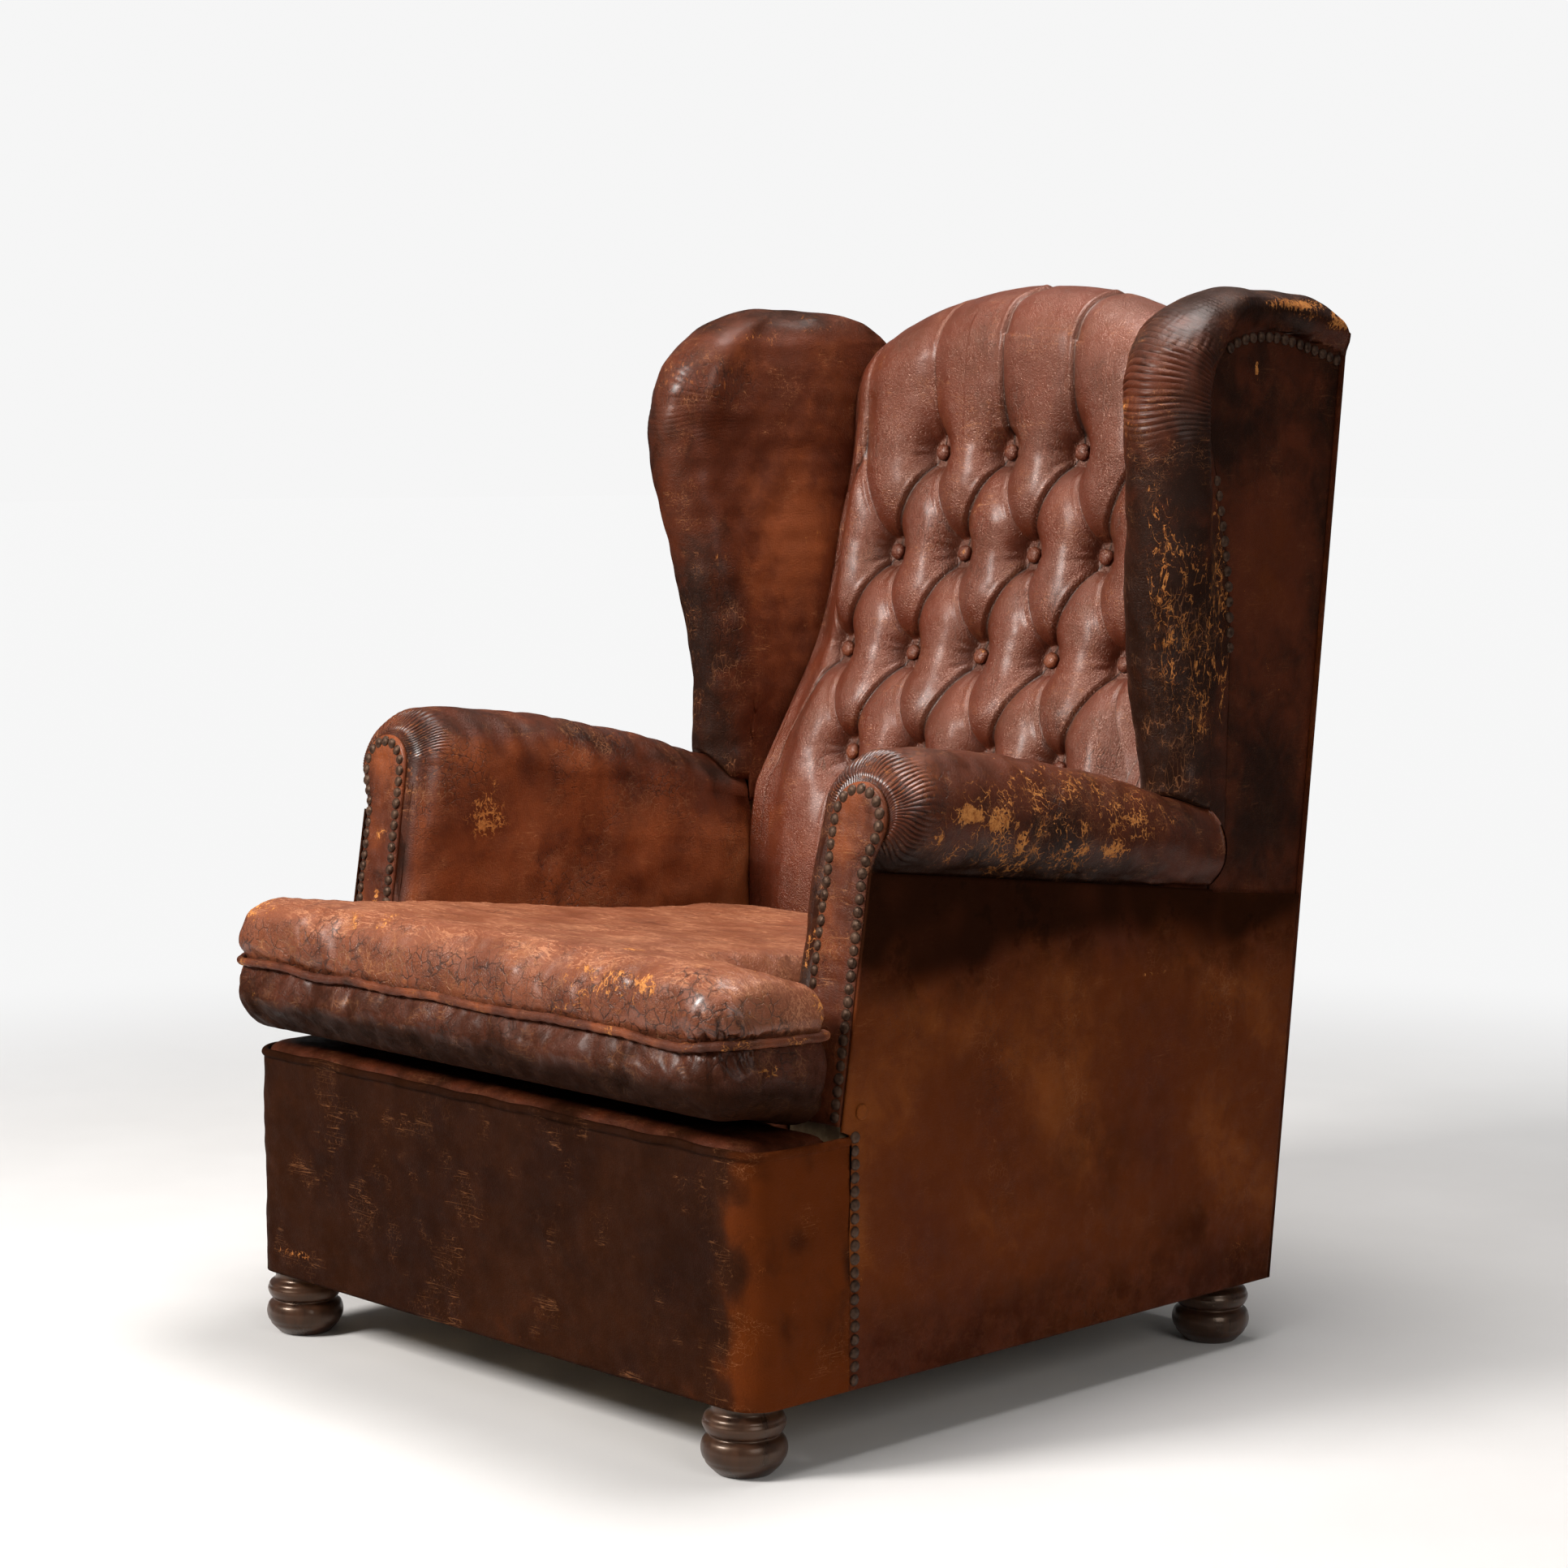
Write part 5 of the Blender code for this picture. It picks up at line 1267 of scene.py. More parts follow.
def new_material(name):
    """An empty node material: its net, its shader's sockets and its object coordinates."""
    made = bpy.data.materials.new(name)
    made.use_nodes = True
    net = Net(made.node_tree)
    shader = made.node_tree.nodes["Principled BSDF"].inputs
    place = net.node("ShaderNodeTexCoord").outputs["Object"]
    return made, net, shader, place


def creases(net, name):
    """A stored set of folds: the size of the sine of the phase is 0 in a fold, and the
    fold's line fades out over its width.  Returns the line and the swell between."""
    phase, strength, width = net.parts(net.stored(name))
    wave = net.math("ABSOLUTE", net.math("SINE", net.times(phase, math.pi)))
    line = net.ramp(wave, 0.0, net.math("MAXIMUM", width, 0.01), 1.0, 0.0)
    return net.times(line, strength), net.times(wave, strength)


def leather(name, dark, mid, light, grain=330.0, depth=0.5, craze_scale=150.0,
            stretch=(1.0, 1.0, 1.0), rough=(0.40, 0.60), gloss=0.15, spec=0.28, lace=185.0,
            streaks=0.0, scratches=1.0, crack_width=0.050, hairs=1.0, blotches=1.5,
            tinge=(1.0, 0.80, 0.70)):
    """Old leather: three dyed tones mixed by mottle and tone, crazed, rubbed and grimy parts;
    the tone also carries painted light and painted shade.

    Where rub is high the finish is gone and the tan fibre shows, matt and fuzzy; where
    craze is high, dark lines part glossy plates; grimy parts and painted shade darken and
    dull; stored folds are sunk and their creases painted dark as shade, and streaks are
    pale lines of noise drawn out sideways."""
    made, net, shader, place = new_material(name)
    # The third stored part holds grime together with painted shade.
    rub, craze, grime_and_shade = net.parts(net.stored("wear"))
    tone = net.stored("tone", "Fac")
    mottle = net.share("mottle", Vector=place)
    drawn = net.vector("MULTIPLY", place, stretch)
    ragged = net.share("ragged", Vector=drawn, Amount=rub, Scale=lace)
    crackle = net.share("crackle", Vector=drawn, Scale=craze_scale, Width=crack_width)
    scratches *= bpy.context.scene.chair_wear.scratches
    scratch = net.share("scratches", Vector=place, Amount=scratches)
    rubbed, crack, pale_line = colour("rubbed"), colour("crack"), colour("scratch")
    pebbles = net.share("pebbles", Vector=place, Scale=grain)
    # Tone picks the colour here; where a piece's tone is raised or lowered as painted light or
    # painted shade, this colour carries it.
    value = net.add(tone, net.times(net.add(mottle["Value"], -0.5), blotches))
    dye_and_painted_light = net.mix(net.ramp(value, 0.05, 0.55), dark, mid)
    dye_and_painted_light = net.mix(net.ramp(value, 0.50, 1.05), dye_and_painted_light, light)
    dye_and_painted_light = net.mix(net.times(mottle["Specks"], 0.25), dye_and_painted_light, light)
    if streaks:
        long = net.vector("MULTIPLY", net.bent(place, 7.0, 0.07), (0.25, 1.4, 1.0))
        bands = [net.line(net.add(net.noise(long, rate, 3.0, 0.55), -0.5), wide)
                 for rate, wide in ((50.0, 0.016), (120.0, 0.030))]
        pale = net.times(net.math("MAXIMUM", *bands), net.ramp(tone, 0.40, 0.60), streaks)
        pale = net.math("MINIMUM", pale, 1.0)
        dye_and_painted_light = net.mix(pale, dye_and_painted_light, light)
    lines = net.times(crackle["Lines"], net.ramp(craze, 0.12, 0.75))
    glaze = net.ramp(craze, 0.55, 1.0)
    pale = net.times(net.ramp(net.noise(place, 27.0, 3.0), 0.50, 0.58),
                     net.math("SUBTRACT", 1.0, glaze), hairs)
    dye_and_painted_light = net.mix(net.times(lines, 0.80), dye_and_painted_light, net.mix(pale, crack, pale_line))
    plates = net.times(crackle["Plates"], net.ramp(craze, 0.55, 1.0), 0.55)
    dye_and_painted_light = net.mix(plates, dye_and_painted_light, rubbed)
    dye_and_painted_light = net.mix(net.times(scratch["Lines"], 0.7), dye_and_painted_light, pale_line)
    dye_and_painted_light = net.mix(net.times(ragged["Fringe"], 0.50), dye_and_painted_light, rubbed)
    fibre = net.ramp(net.noise(place, 210.0, 6.0, 0.7), 0.32, 0.60)
    fibre = net.mix(fibre, rubbed, colour("fibre"))
    dye_and_painted_light = net.mix(ragged["Mask"], dye_and_painted_light, fibre)
    # Grimy parts and painted shade both darken towards the grime colour here.
    dirt_and_shade = net.times(grime_and_shade, net.ramp(net.noise(place, 26.0, 6.0, 0.7), 0.30, 0.62))
    dirt_and_shade = net.math("MAXIMUM", dirt_and_shade, net.times(net.ramp(grime_and_shade, 0.40, 1.1), 0.98))
    dye_and_painted_light = net.mix(net.times(dirt_and_shade, 0.98), dye_and_painted_light, colour("grime_and_shade"))
    first, swell_1 = creases(net, "folds")
    second, swell_2 = creases(net, "creases")
    fold = net.math("MAXIMUM", first, second)
    # Painted shade: the creases of stored folds are darkened towards the crack colour.
    dye_and_painted_light = net.mix(net.times(fold, 0.90), dye_and_painted_light, crack)
    net.put(shader["Base Color"], dye_and_painted_light)
    dull = net.ramp(net.noise(place, 48.0, 5.0, 0.65), 0.35, 0.68, *rough)
    dull = net.add(dull, net.times(ragged["Mask"], 0.35), net.times(dirt_and_shade, 0.14),
                   net.times(glaze, -0.12))
    net.put(shader["Roughness"], net.math("MINIMUM", dull, 0.95))
    net.put(shader["Specular IOR Level"], net.ramp(dirt_and_shade, 0.0, 1.0, spec, spec * 0.08))
    shader["Specular Tint"].default_value = (*tinge, 1.0)
    sheen = net.times(net.math("SUBTRACT", 1.0, ragged["Mask"]),
                      net.add(net.times(glaze, 0.6), gloss),
                      net.ramp(net.noise(place, 13.0, 3.0), 0.35, 0.65, 0.55, 1.3))
    net.put(shader["Coat Weight"], net.times(sheen, net.math("SUBTRACT", 1.0, dirt_and_shade)))
    shader["Coat Roughness"].default_value = 0.28
    frayed = net.times(net.noise(place, 420.0, 4.0, 0.7), ragged["Mask"], 1.1)
    height = net.add(net.times(pebbles["Height"], depth), net.times(lines, -1.1),
                     net.times(mottle["Specks"], -0.15), net.times(ragged["Mask"], -0.9), frayed,
                     net.times(net.noise(place, 75.0, 4.0, 0.6), 1.3), net.times(fold, -1.2),
                     net.times(net.add(swell_1, swell_2), 2.0))
    net.relief(shader, height, 0.75, 0.0006)
    return made


def plain_finish(name, dark, light, rough, scale=60.0, stretch=(1.0, 1.0, 1.0), metal=0.0,
                 coat=0.0, relief=0.0003, tinge=(1.0, 1.0, 1.0)):
    """Wood, iron, jute or cloth: two tones mixed by stretched noise, with fine relief."""
    made, net, shader, place = new_material(name)
    drawn = net.stretched(place, stretch)
    cloud = net.noise(drawn, scale, 6.0, 0.65, 0.3)
    specks = net.share("mottle", Vector=place)
    value = net.add(cloud, net.times(net.add(specks["Value"], -0.5), 0.6))
    net.put(shader["Base Color"], net.mix(net.ramp(value, 0.36, 0.66), dark, light))
    net.put(shader["Roughness"], net.ramp(cloud, 0.3, 0.7, rough - 0.12, rough + 0.12))
    shader["Metallic"].default_value = metal
    shader["Specular Tint"].default_value = (*tinge, 1.0)
    shader["Coat Weight"].default_value = coat
    shader["Coat Roughness"].default_value = 0.15
    net.relief(shader, net.noise(drawn, scale * 4.0, 4.0, 0.6), 0.8, relief)
    return made


def woven(name, dark, light, pitch=0.0021):
    """Jute: two crossing sets of threads; a thread's relief is the wave of its place."""
    made, net, shader, place = new_material(name)
    warp, weft = (net.math("ABSOLUTE", net.math("SINE", net.times(part, 2.0 * math.pi / pitch)))
                  for part in net.parts(place)[:2])
    knot = net.math("MAXIMUM", warp, weft)
    cloud = net.noise(place, 300.0, 5.0, 0.7)
    value = net.add(net.times(knot, 0.5), net.times(cloud, 0.5))
    net.put(shader["Base Color"], net.mix(net.ramp(value, 0.35, 0.80), dark, light))
    shader["Roughness"].default_value = 0.92
    net.relief(shader, value, 0.8, 0.0004)
    return made


# ---- settings ----------------------------------------------------------------------
def tint(label, text, value):
    """A colour property."""
    return bpy.props.FloatVectorProperty(name=label, description=text, subtype="COLOR", size=3,
                                         min=0.0, max=1.0, default=value)


def number(label, text, value, **limits):
    """A number property."""
    return bpy.props.FloatProperty(name=label, description=text, default=value, **limits)


class ChairShape(bpy.types.PropertyGroup):
    """How the hides are gathered and blown up."""

    arm_pleats: number("Arm pleats", "Gathers round the front end of an arm", 60.0)
    wing_gathers: number("Wing gathers", "Gathers in half a turn of a wing's shoulder", 66.0)
    pressure: number("Cushion pressure", "Air pressure that fills the cushion", 4.0)
    swell_cap: number("Swell cap", "Furthest that the cushion may swell", 0.006, unit="LENGTH")
    cushion_grid: number("Cushion grid", "Size of the cushion's mesh before it is subdivided",
                         0.0062, unit="LENGTH")


class ChairColours(bpy.types.PropertyGroup):
    """Dyes, worn colours, and the tones that painted light and painted shade reach."""

    dark: tint("Dark hide", "Shaded and dirty leather", (0.0150, 0.0040, 0.0016))
    brown: tint("Brown hide", "Leather as dyed", (0.082, 0.0170, 0.0055))
    # Also the light tone that the painted highlights and painted light of arms, facings and wings
    # reach.
    warm: tint("Warm hide", "Leather where it has faded", (0.215, 0.052, 0.0150))
    purple: tint("Back hide", "Leather of the buttoned back", (0.104, 0.0200, 0.0080))
    panel: tint("Panel hide", "Split leather of the outside panels", (0.100, 0.0200, 0.0025))
    panel_light: tint("Faded panel", "Faded split leather", (0.185, 0.0470, 0.0080))
    # Darkened to about half: the border's colour is painted shade of the cushion over it.
    border: tint("Border hide", "Dull leather of the front border", (0.027, 0.0070, 0.0018))
    seat: tint("Seat hide", "Sat-on leather of the cushion", (0.200, 0.0600, 0.0270))
    # Also the light tone of the painted highlight at the cushion's near corner.
    seat_light: tint("Faded seat", "Streaks of the cushion's top", (0.430, 0.1800, 0.0900))
    rubbed: tint("Rubbed", "Leather with its finish rubbed off", (0.290, 0.085, 0.020))
    fibre: tint("Fibre", "Bare fibre of torn leather", (0.560, 0.225, 0.060))
    # Also the colour of the painted shade in the creases of folds.
    crack: tint("Crack", "Inside of a crack", (0.010, 0.005, 0.004))
    scratch: tint("Scratch", "Pale scratch", (0.330, 0.130, 0.052))
    # Also the colour that painted shade darkens towards.
    grime_and_shade: tint("Grime", "Old grease and dust", (0.0120, 0.0042, 0.0018))
    wood: tint("Foot wood", "Dark polished wood of the feet", (0.014, 0.007, 0.005))
    iron: tint("Nail iron", "Tarnished nail heads", (0.062, 0.0330, 0.0210))


class ChairWearAndShade(bpy.types.PropertyGroup):
    """How worn the hides are, and how strong their grime and painted shade are."""

    rub: number("Rub", "Strength of rubbed patches", 1.0, min=0.0, max=2.0)
    craze: number("Craze", "Strength of the crazing", 1.0, min=0.0, max=2.0)
    # Also scales the painted shade stored with the grime.
    grime_and_shade: number("Grime", "Strength of the grime", 1.0, min=0.0, max=2.0)
    scratches: number("Scratches", "Strength of scratches", 0.85, min=0.0, max=1.0)


def colour(key):
    """One of the colours as a tuple."""
    return tuple(getattr(bpy.context.scene.chair_colours, key))


# The border's light tone is the panel hide; it gives the painted light on the border's lit side.
TONES = {"back": ("brown", "purple", "warm"), "panel": ("brown", "panel", "panel_light"),
         "border": ("dark", "border", "panel"), "seat": ("brown", "seat", "seat_light"),
         "deck": ("dark", "brown", "seat"), "wing panel": ("dark", "brown", "panel")}


def hide(kind, **settings):
    """A hide's material in the tones of its kind; the settings given first are kept."""
    found = bpy.data.materials.get(kind + " hide")
    tones = TONES.get(kind, ("dark", "brown", "warm"))
    return found or leather(kind + " hide", *map(colour, tones), **settings)


class Builder:
    """What the operators share."""

    bl_options = {"REGISTER", "UNDO"}

    def execute(self, context):
        """Build the pieces."""
        self.shape, self.wear = context.scene.chair_shape, context.scene.chair_wear
        self.build()
        return {"FINISHED"}

    def worn(self, piece, rub=0.0, craze=0.0, grime_and_shade=0.0, tone=0.5):
        """Store how rubbed, crazed and grimy each vertex is, and how light or dark; the third
        field and the tone also carry painted shade and painted light.
        """
        wear = (rub * self.wear.rub, craze * self.wear.craze, grime_and_shade * self.wear.grime_and_shade)
        store(piece, "wear", *(np.clip(field, 0.0, 1.0) for field in wear))
        store(piece, "tone", np.clip(tone, 0.0, 1.0))


# ---- one operator for each group of pieces -------------------------------------------
class CHAIR_OT_feet(Builder, bpy.types.Operator):
    """Turn the four feet"""

    bl_idname = "chair.feet"
    bl_label = "Feet"

    def build(self):
        """Four lathed feet of dark polished wood."""
        wood = plain_finish("dark wood", colour("wood"), (0.046, 0.018, 0.009), 0.34, 30.0,
                            (1.0, 1.0, 0.15), coat=0.18, tinge=(1.0, 0.70, 0.50))
        for row, y in zip(("front", "back"), FOOT_Y):
            for side in (1, -1):
                name = side_name("foot_" + row, side)
                foot = make("turned_" + name, skin(foot_rings(side * FOOT_X, y)))
                fit_out(foot, wood, [name])


class CHAIR_OT_base(Builder, bpy.types.Operator):
    """Cover the base, the sides and the back with panels"""

    bl_idname = "chair.base"
    bl_label = "Base and panels"

    def build(self):
        """Front border with its welt, and the outside arm, wing and back panels."""
        border = make("border_hide", skin(border_rings()))
        at = points_of(border)
        welt = smooth((at[:, 2] - 0.2815) / 0.003)
        low = smooth((0.100 - at[:, 2]) / 0.035)
        # Painted light: towards the +X corner the border is raised in tone and its grime lowered,
        # as lit from that side.
        lit = smooth((at[:, 0] - 0.320 + 0.012 * drift(at, 0.05, 205)) / 0.060)
        rub = spots(at, [((-0.299, -0.4, 0.089), (0.040, 0.02, 0.006), 0.55),
                         ((0.371, -0.390, 0.20), (0.02, 0.02, 0.05), 0.30),
                         ((-0.371, -0.390, 0.16), (0.02, 0.02, 0.06), 0.35)])
        rub = np.maximum(rub, 0.18 * low * (0.6 + 0.4 * drift(at, 0.05, 201)))
        self.worn(border, rub=rub + 0.08 * welt, craze=0.10 + 0.1 * drift(at, 0.12, 202),
                  grime_and_shade=0.38 + 0.30 * welt + 0.08 * drift(at, 0.09, 203) - 0.36 * lit,
                  tone=0.30 + 0.09 * drift(at, 0.16, 204) + 0.95 * lit
                  + 0.14 * smooth((0.20 - at[:, 2]) / 0.1) * smooth((at[:, 0] + 0.1) / 0.4))
        fit_out(border, hide("border", rough=(0.62, 0.82), gloss=0.0, spec=0.06,
                             scratches=0.7), ["front_border"])
        hide("panel", grain=420.0, depth=0.35, rough=(0.55, 0.75), gloss=0.0, spec=0.10,
             scratches=0.25)
        for side in (1, -1):
            self.panels(side)
        back = make("back_panel_hide", plate(*back_panel_sheet()))
        at = points_of(back)
        rim = np.exp(-(BASE_HALF - np.abs(at[:, 0])) / 0.012)
        self.worn(back, rub=0.10 * rim + 0.12 * drift(at, 0.2, 211), craze=0.25,
                  grime_and_shade=0.20 + 0.35 * smooth((0.16 - at[:, 2]) / 0.1) + 0.45 * rim,
                  tone=0.42 + 0.16 * drift(at, 0.25, 212) - 0.2 * rim)
        fit_out(back, hide("panel"), ["outside_back"])

    def panels(self, side):
        """Outside arm and wing panels of one side, with their nails and covered stud."""
        panel = make(side_name("arm_panel_hide", side), plate(*arm_panel_sheet(side)))
        at = points_of(panel)
        z = at[:, 2]
        # Painted shadow under the roll: the top of the panel is darkened by grime and tone.
        under = smooth((z - 0.374 + 0.010 * drift(at, 0.20, 223)) / 0.080)
        # Darker towards the bottom.
        low = smooth((0.170 - z) / 0.10)
        # The second spot, a long band just under the roll, is painted shadow; the other two are
        # stains.
        stain_and_shade = spots(at, [((side * BASE_HALF, 0.18, 0.13), (0.2, 0.050, 0.040), 0.50),
                           ((side * BASE_HALF, -0.12, 0.455), (0.2, 0.12, 0.012), 0.9),
                           ((side * BASE_HALF, 0.05, 0.24), (0.2, 0.10, 0.05), 0.30)])
        rub = spots(at, [((side * BASE_HALF, 0.13, 0.393), (0.2, 0.030, 0.0025), 0.55),
                         ((side * BASE_HALF, -0.268, 0.20), (0.2, 0.006, 0.10), 0.35),
                         ((side * BASE_HALF, 0.26, 0.10), (0.2, 0.04, 0.02), 0.35)])
        self.worn(panel, rub=rub, craze=0.20 + 0.15 * drift(at, 0.1, 220),
                  grime_and_shade=np.maximum(1.0 * under + 0.58 * low, stain_and_shade) + 0.08 * drift(at, 0.06, 221),
                  tone=0.56 + 0.20 * drift(at, 0.17, 222) - 0.40 * low - 0.45 * under)
        fit_out(panel, hide("panel"), [side_name("outside_arm", side)])
        stud = make(side_name("stud", side), self.stud(side))
        self.worn(stud, craze=0.4, tone=1.0)
        fit_out(stud, hide("panel"), [])
        run = np.array([(side * BASE_HALF, SEAM_Y + 0.0058, 0.072),
                        (side * BASE_HALF, SEAM_Y + 0.0058, 0.290)])
        self.nails(side_name("border_nails", side), nail_row(run, (side, 0, 0), 230 + side))
        panel = make(side_name("wing_panel_hide", side), plate(*wing_panel_sheet(side)))
        at = points_of(panel)
        rub = spots(at, [((side * PANEL_X, 0.278, 0.970), (0.2, 0.0035, 0.014), 0.85),
                         ((side * PANEL_X, 0.41, 0.80), (0.2, 0.003, 0.12), 0.40),
                         ((side * PANEL_X, 0.236, 0.60), (0.2, 0.012, 0.07), 0.30)])
        arc = (at[:, 1] - 0.248) / 0.072
        line = 0.766 - 0.111 * smooth(arc)
        scored = np.exp(-((at[:, 2] - line) / 0.0012) ** 2) * (arc > 0) * (arc < 1)
        dark = smooth((0.60 - at[:, 2]) / 0.12)
        self.worn(panel, rub=np.maximum(rub, 0.45 * scored), craze=0.25,
                  grime_and_shade=0.08 + 0.35 * dark + 0.04 * drift(at, 0.07, 231),
                  tone=0.29 + 0.06 * drift(at, 0.14, 232)
                  + 0.35 * near(at, (side * PANEL_X, 0.30, 0.76), (0.1, 0.06, 0.10)))
        fit_out(panel, hide("wing panel", rough=(0.50, 0.70), gloss=0.0, spec=0.14,
                            scratches=0.35),
                [side_name("outside_wing", side)])
        rows = [nail_row(line * np.array([side, 1.0, 1.0]), (side, 0, 0), seed + side, pitch)
                for line, seed, pitch in ((WING_ROW, 240, NAIL_PITCH), (WING_EDGE, 244, 0.0135))]
        self.nails(side_name("wing_nails", side), merge(rows))

    def nails(self, name, solid):
        """A row of tarnished nail heads."""
        iron = bpy.data.materials.get("old iron") or plain_finish(
            "old iron", (0.018, 0.009, 0.006), colour("iron"), 0.46, 230.0,
            tinge=(0.80, 0.50, 0.34))
        fit_out(make(name, solid), iron, [])

    def stud(self, side):
        """Flat covered stud at the front foot of the outside arm."""
        profile = curve([(0.0068, 0.0), (0.0070, 0.0010), (0.0060, 0.0024), (0.0030, 0.0032)], 4)
        turn = circle(28)[None, :]
        x = side * (BASE_HALF + 0.0012 + profile[:, 1:] + 0 * turn)
        return skin(np.stack([x, SEAM_Y + 0.013 + profile[:, :1] * np.cos(turn),
                              0.312 + profile[:, :1] * np.sin(turn)], -1))


def wing_nail_line():
    """Path of the nails on an outside wing panel: down its front edge and over the arch."""
    z = np.linspace(0.700, 0.862, 40)
    edge = np.stack([np.full(40, PANEL_X - 0.0006), read(PANEL_EDGE, z) - 0.0006, z], -1)
    y = np.linspace(0.236, 0.405, 30)
    arch = np.stack([np.full(30, PANEL_X + 0.0010), y, read(PANEL_ARCH, y) - NAIL_MARGIN], -1)
    return edge, arch


WING_EDGE, WING_ROW = wing_nail_line()


class CHAIR_OT_arms(Builder, bpy.types.Operator):
    """Pad the arms and nail their facings"""

    bl_idname = "chair.arms"
    bl_label = "Arms"

    def build(self):
        """Two rolled arms with rubbed crowns, their facings and the nails round them."""
        finish = hide("arm", gloss=0.16, spec=0.20, craze_scale=130.0, crack_width=0.065)
        for side in (1, -1):
            rings, phase, gather = arm_rings(side, self.shape.arm_pleats)
            arm = make(side_name("arm_hide", side), skin(rings))
            store(arm, "folds", ends(phase), ends(gather), 0.62)
            self.arm_wear_and_light(arm, side)
            fit_out(arm, finish, [side_name("arm", side)])
            face = make(side_name("facing_hide", side), plate(*facing_sheet(side)))
            at = points_of(face)
            # Painted sheen: the round head is raised in tone.
            head = smooth((at[:, 2] - 0.545) / 0.03)
            rim = smooth((np.abs(at[:, 0]) - (FACING_X + 0.018)) / 0.006)
            rub = spots(at, [((-0.331, -0.27, 0.435), (0.006, 0.05, 0.030), 0.58),
                             ((-0.330, -0.27, 0.372), (0.010, 0.05, 0.016), 0.54),
                             ((-0.336, -0.27, 0.500), (0.012, 0.05, 0.012), 0.55),
                             ((0.330, -0.28, 0.330), (0.012, 0.05, 0.020), 0.45)])
            self.worn(face, rub=rub,
                      craze=0.30 + 0.2 * drift(at, 0.05, 302), grime_and_shade=0.06 + 0.30 * rim,
                      tone=0.66 + 0.12 * drift(at, 0.06, 303) + 0.15 * head)
            fit_out(face, finish, [side_name("arm_facing", side)])
            line = facing_line()
            line = line[line[:, 1] > DECK_TOP + 0.008]
            path = np.stack([side * line[:, 0], facing_y(line[:, 1]), line[:, 1]], -1)
            way = (0.0, -(FACING_HEAD[1] - FACING_FOOT[1]), FACING_HEAD[0] - FACING_FOOT[0])
            CHAIR_OT_base.nails(self, side_name("facing_nails", side),
                                nail_row(path, way, 310 + side))

    def arm_wear_and_light(self, arm, side):
        """Rubbed patches along the crown, painted shade under the roll, crazing at the front,
        painted light on the inner walls and a painted highlight at the right roll's front.
        """
        at = points_of(arm)
        x, y, z = np.abs(at[:, 0]), at[:, 1], at[:, 2]
        middle = roll_shape(np.minimum(y, ARM_END))[0]
        around = np.arctan2(z - middle, x - ROLL_X)
        outer = smooth((x - 0.345) / 0.03)
        crown = np.exp(-((around - 1.2) / 0.9) ** 2)
        if side > 0:
            places = [((0.396, -0.160, 0.568), (0.03, 0.030, 0.013), 0.84),
                      ((0.396, -0.118, 0.560), (0.03, 0.026, 0.015), 0.84),
                      ((0.394, -0.086, 0.538), (0.03, 0.012, 0.022), 0.72),
                      ((0.396, -0.198, 0.552), (0.03, 0.018, 0.011), 0.62),
                      ((0.393, 0.002, 0.522), (0.03, 0.022, 0.010), 0.68),
                      ((0.394, 0.044, 0.520), (0.03, 0.026, 0.011), 0.72),
                      ((0.395, 0.080, 0.547), (0.03, 0.024, 0.011), 0.70),
                      ((0.300, -0.262, 0.444), (0.008, 0.008, 0.030), 0.60)]
        else:
            places = [((-0.280, -0.165, 0.515), (0.03, 0.035, 0.024), 0.78),
                      ((-0.282, -0.110, 0.535), (0.03, 0.040, 0.024), 0.66),
                      ((-0.281, -0.15, 0.530), (0.03, 0.090, 0.040), 0.42),
                      ((-0.376, -0.25, 0.557), (0.03, 0.03, 0.02), 0.50),
                      ((-0.30, -0.22, 0.600), (0.03, 0.03, 0.02), 0.36)]
        web = np.minimum(near(at, (0.392, -0.035, 0.553), (0.08, 0.165, 0.050)), 0.42) * (side > 0)
        rub = np.maximum(spots(at, places), web * (0.88 + 0.16 * drift(at, 0.04, 319)))
        rub = np.maximum(rub, 0.30 * crown * smooth((drift(at, 0.07, 321) + 0.3) / 0.9))
        front = np.exp(-((y + 0.235) / 0.05) ** 2) * smooth((z - 0.53) / 0.04)
        craze = 0.30 + 0.40 * front + 0.25 * drift(at, 0.08, 322)
        craze += 0.9 * (near(at, (-0.290, -0.205, 0.572), (0.04, 0.045, 0.028))
                        + near(at, (0.380, -0.215, 0.600), (0.05, 0.035, 0.030)))
        # Painted shade: the roll's outer lower flank is darkened by grime and tone.
        below = smooth((middle - 0.012 - z) / 0.04) * outer
        wall = smooth((0.300 - x) / 0.015)
        grime_and_shade = 0.10 + 0.75 * below + 0.08 * drift(at, 0.06, 323)
        grime_and_shade += 0.35 * smooth((0.35 - z) / 0.05) * (x < 0.30)
        tone = 0.29 + 0.10 * drift(at, 0.10, 324) + 0.08 * crown - 0.25 * below + 0.08 * front
        # Painted light: the inner wall is raised in tone, the left arm's far more than the
        # right's.
        tone += (0.60 if side < 0 else 0.12) * wall + (0.14 if side < 0 else 0.0) * crown
        # Painted highlight on top of the right roll's front end.
        tone += 0.40 * near(at, (0.372, -0.215, 0.607), (0.05, 0.035, 0.025))
        self.worn(arm, rub=rub, craze=craze, grime_and_shade=grime_and_shade, tone=tone)


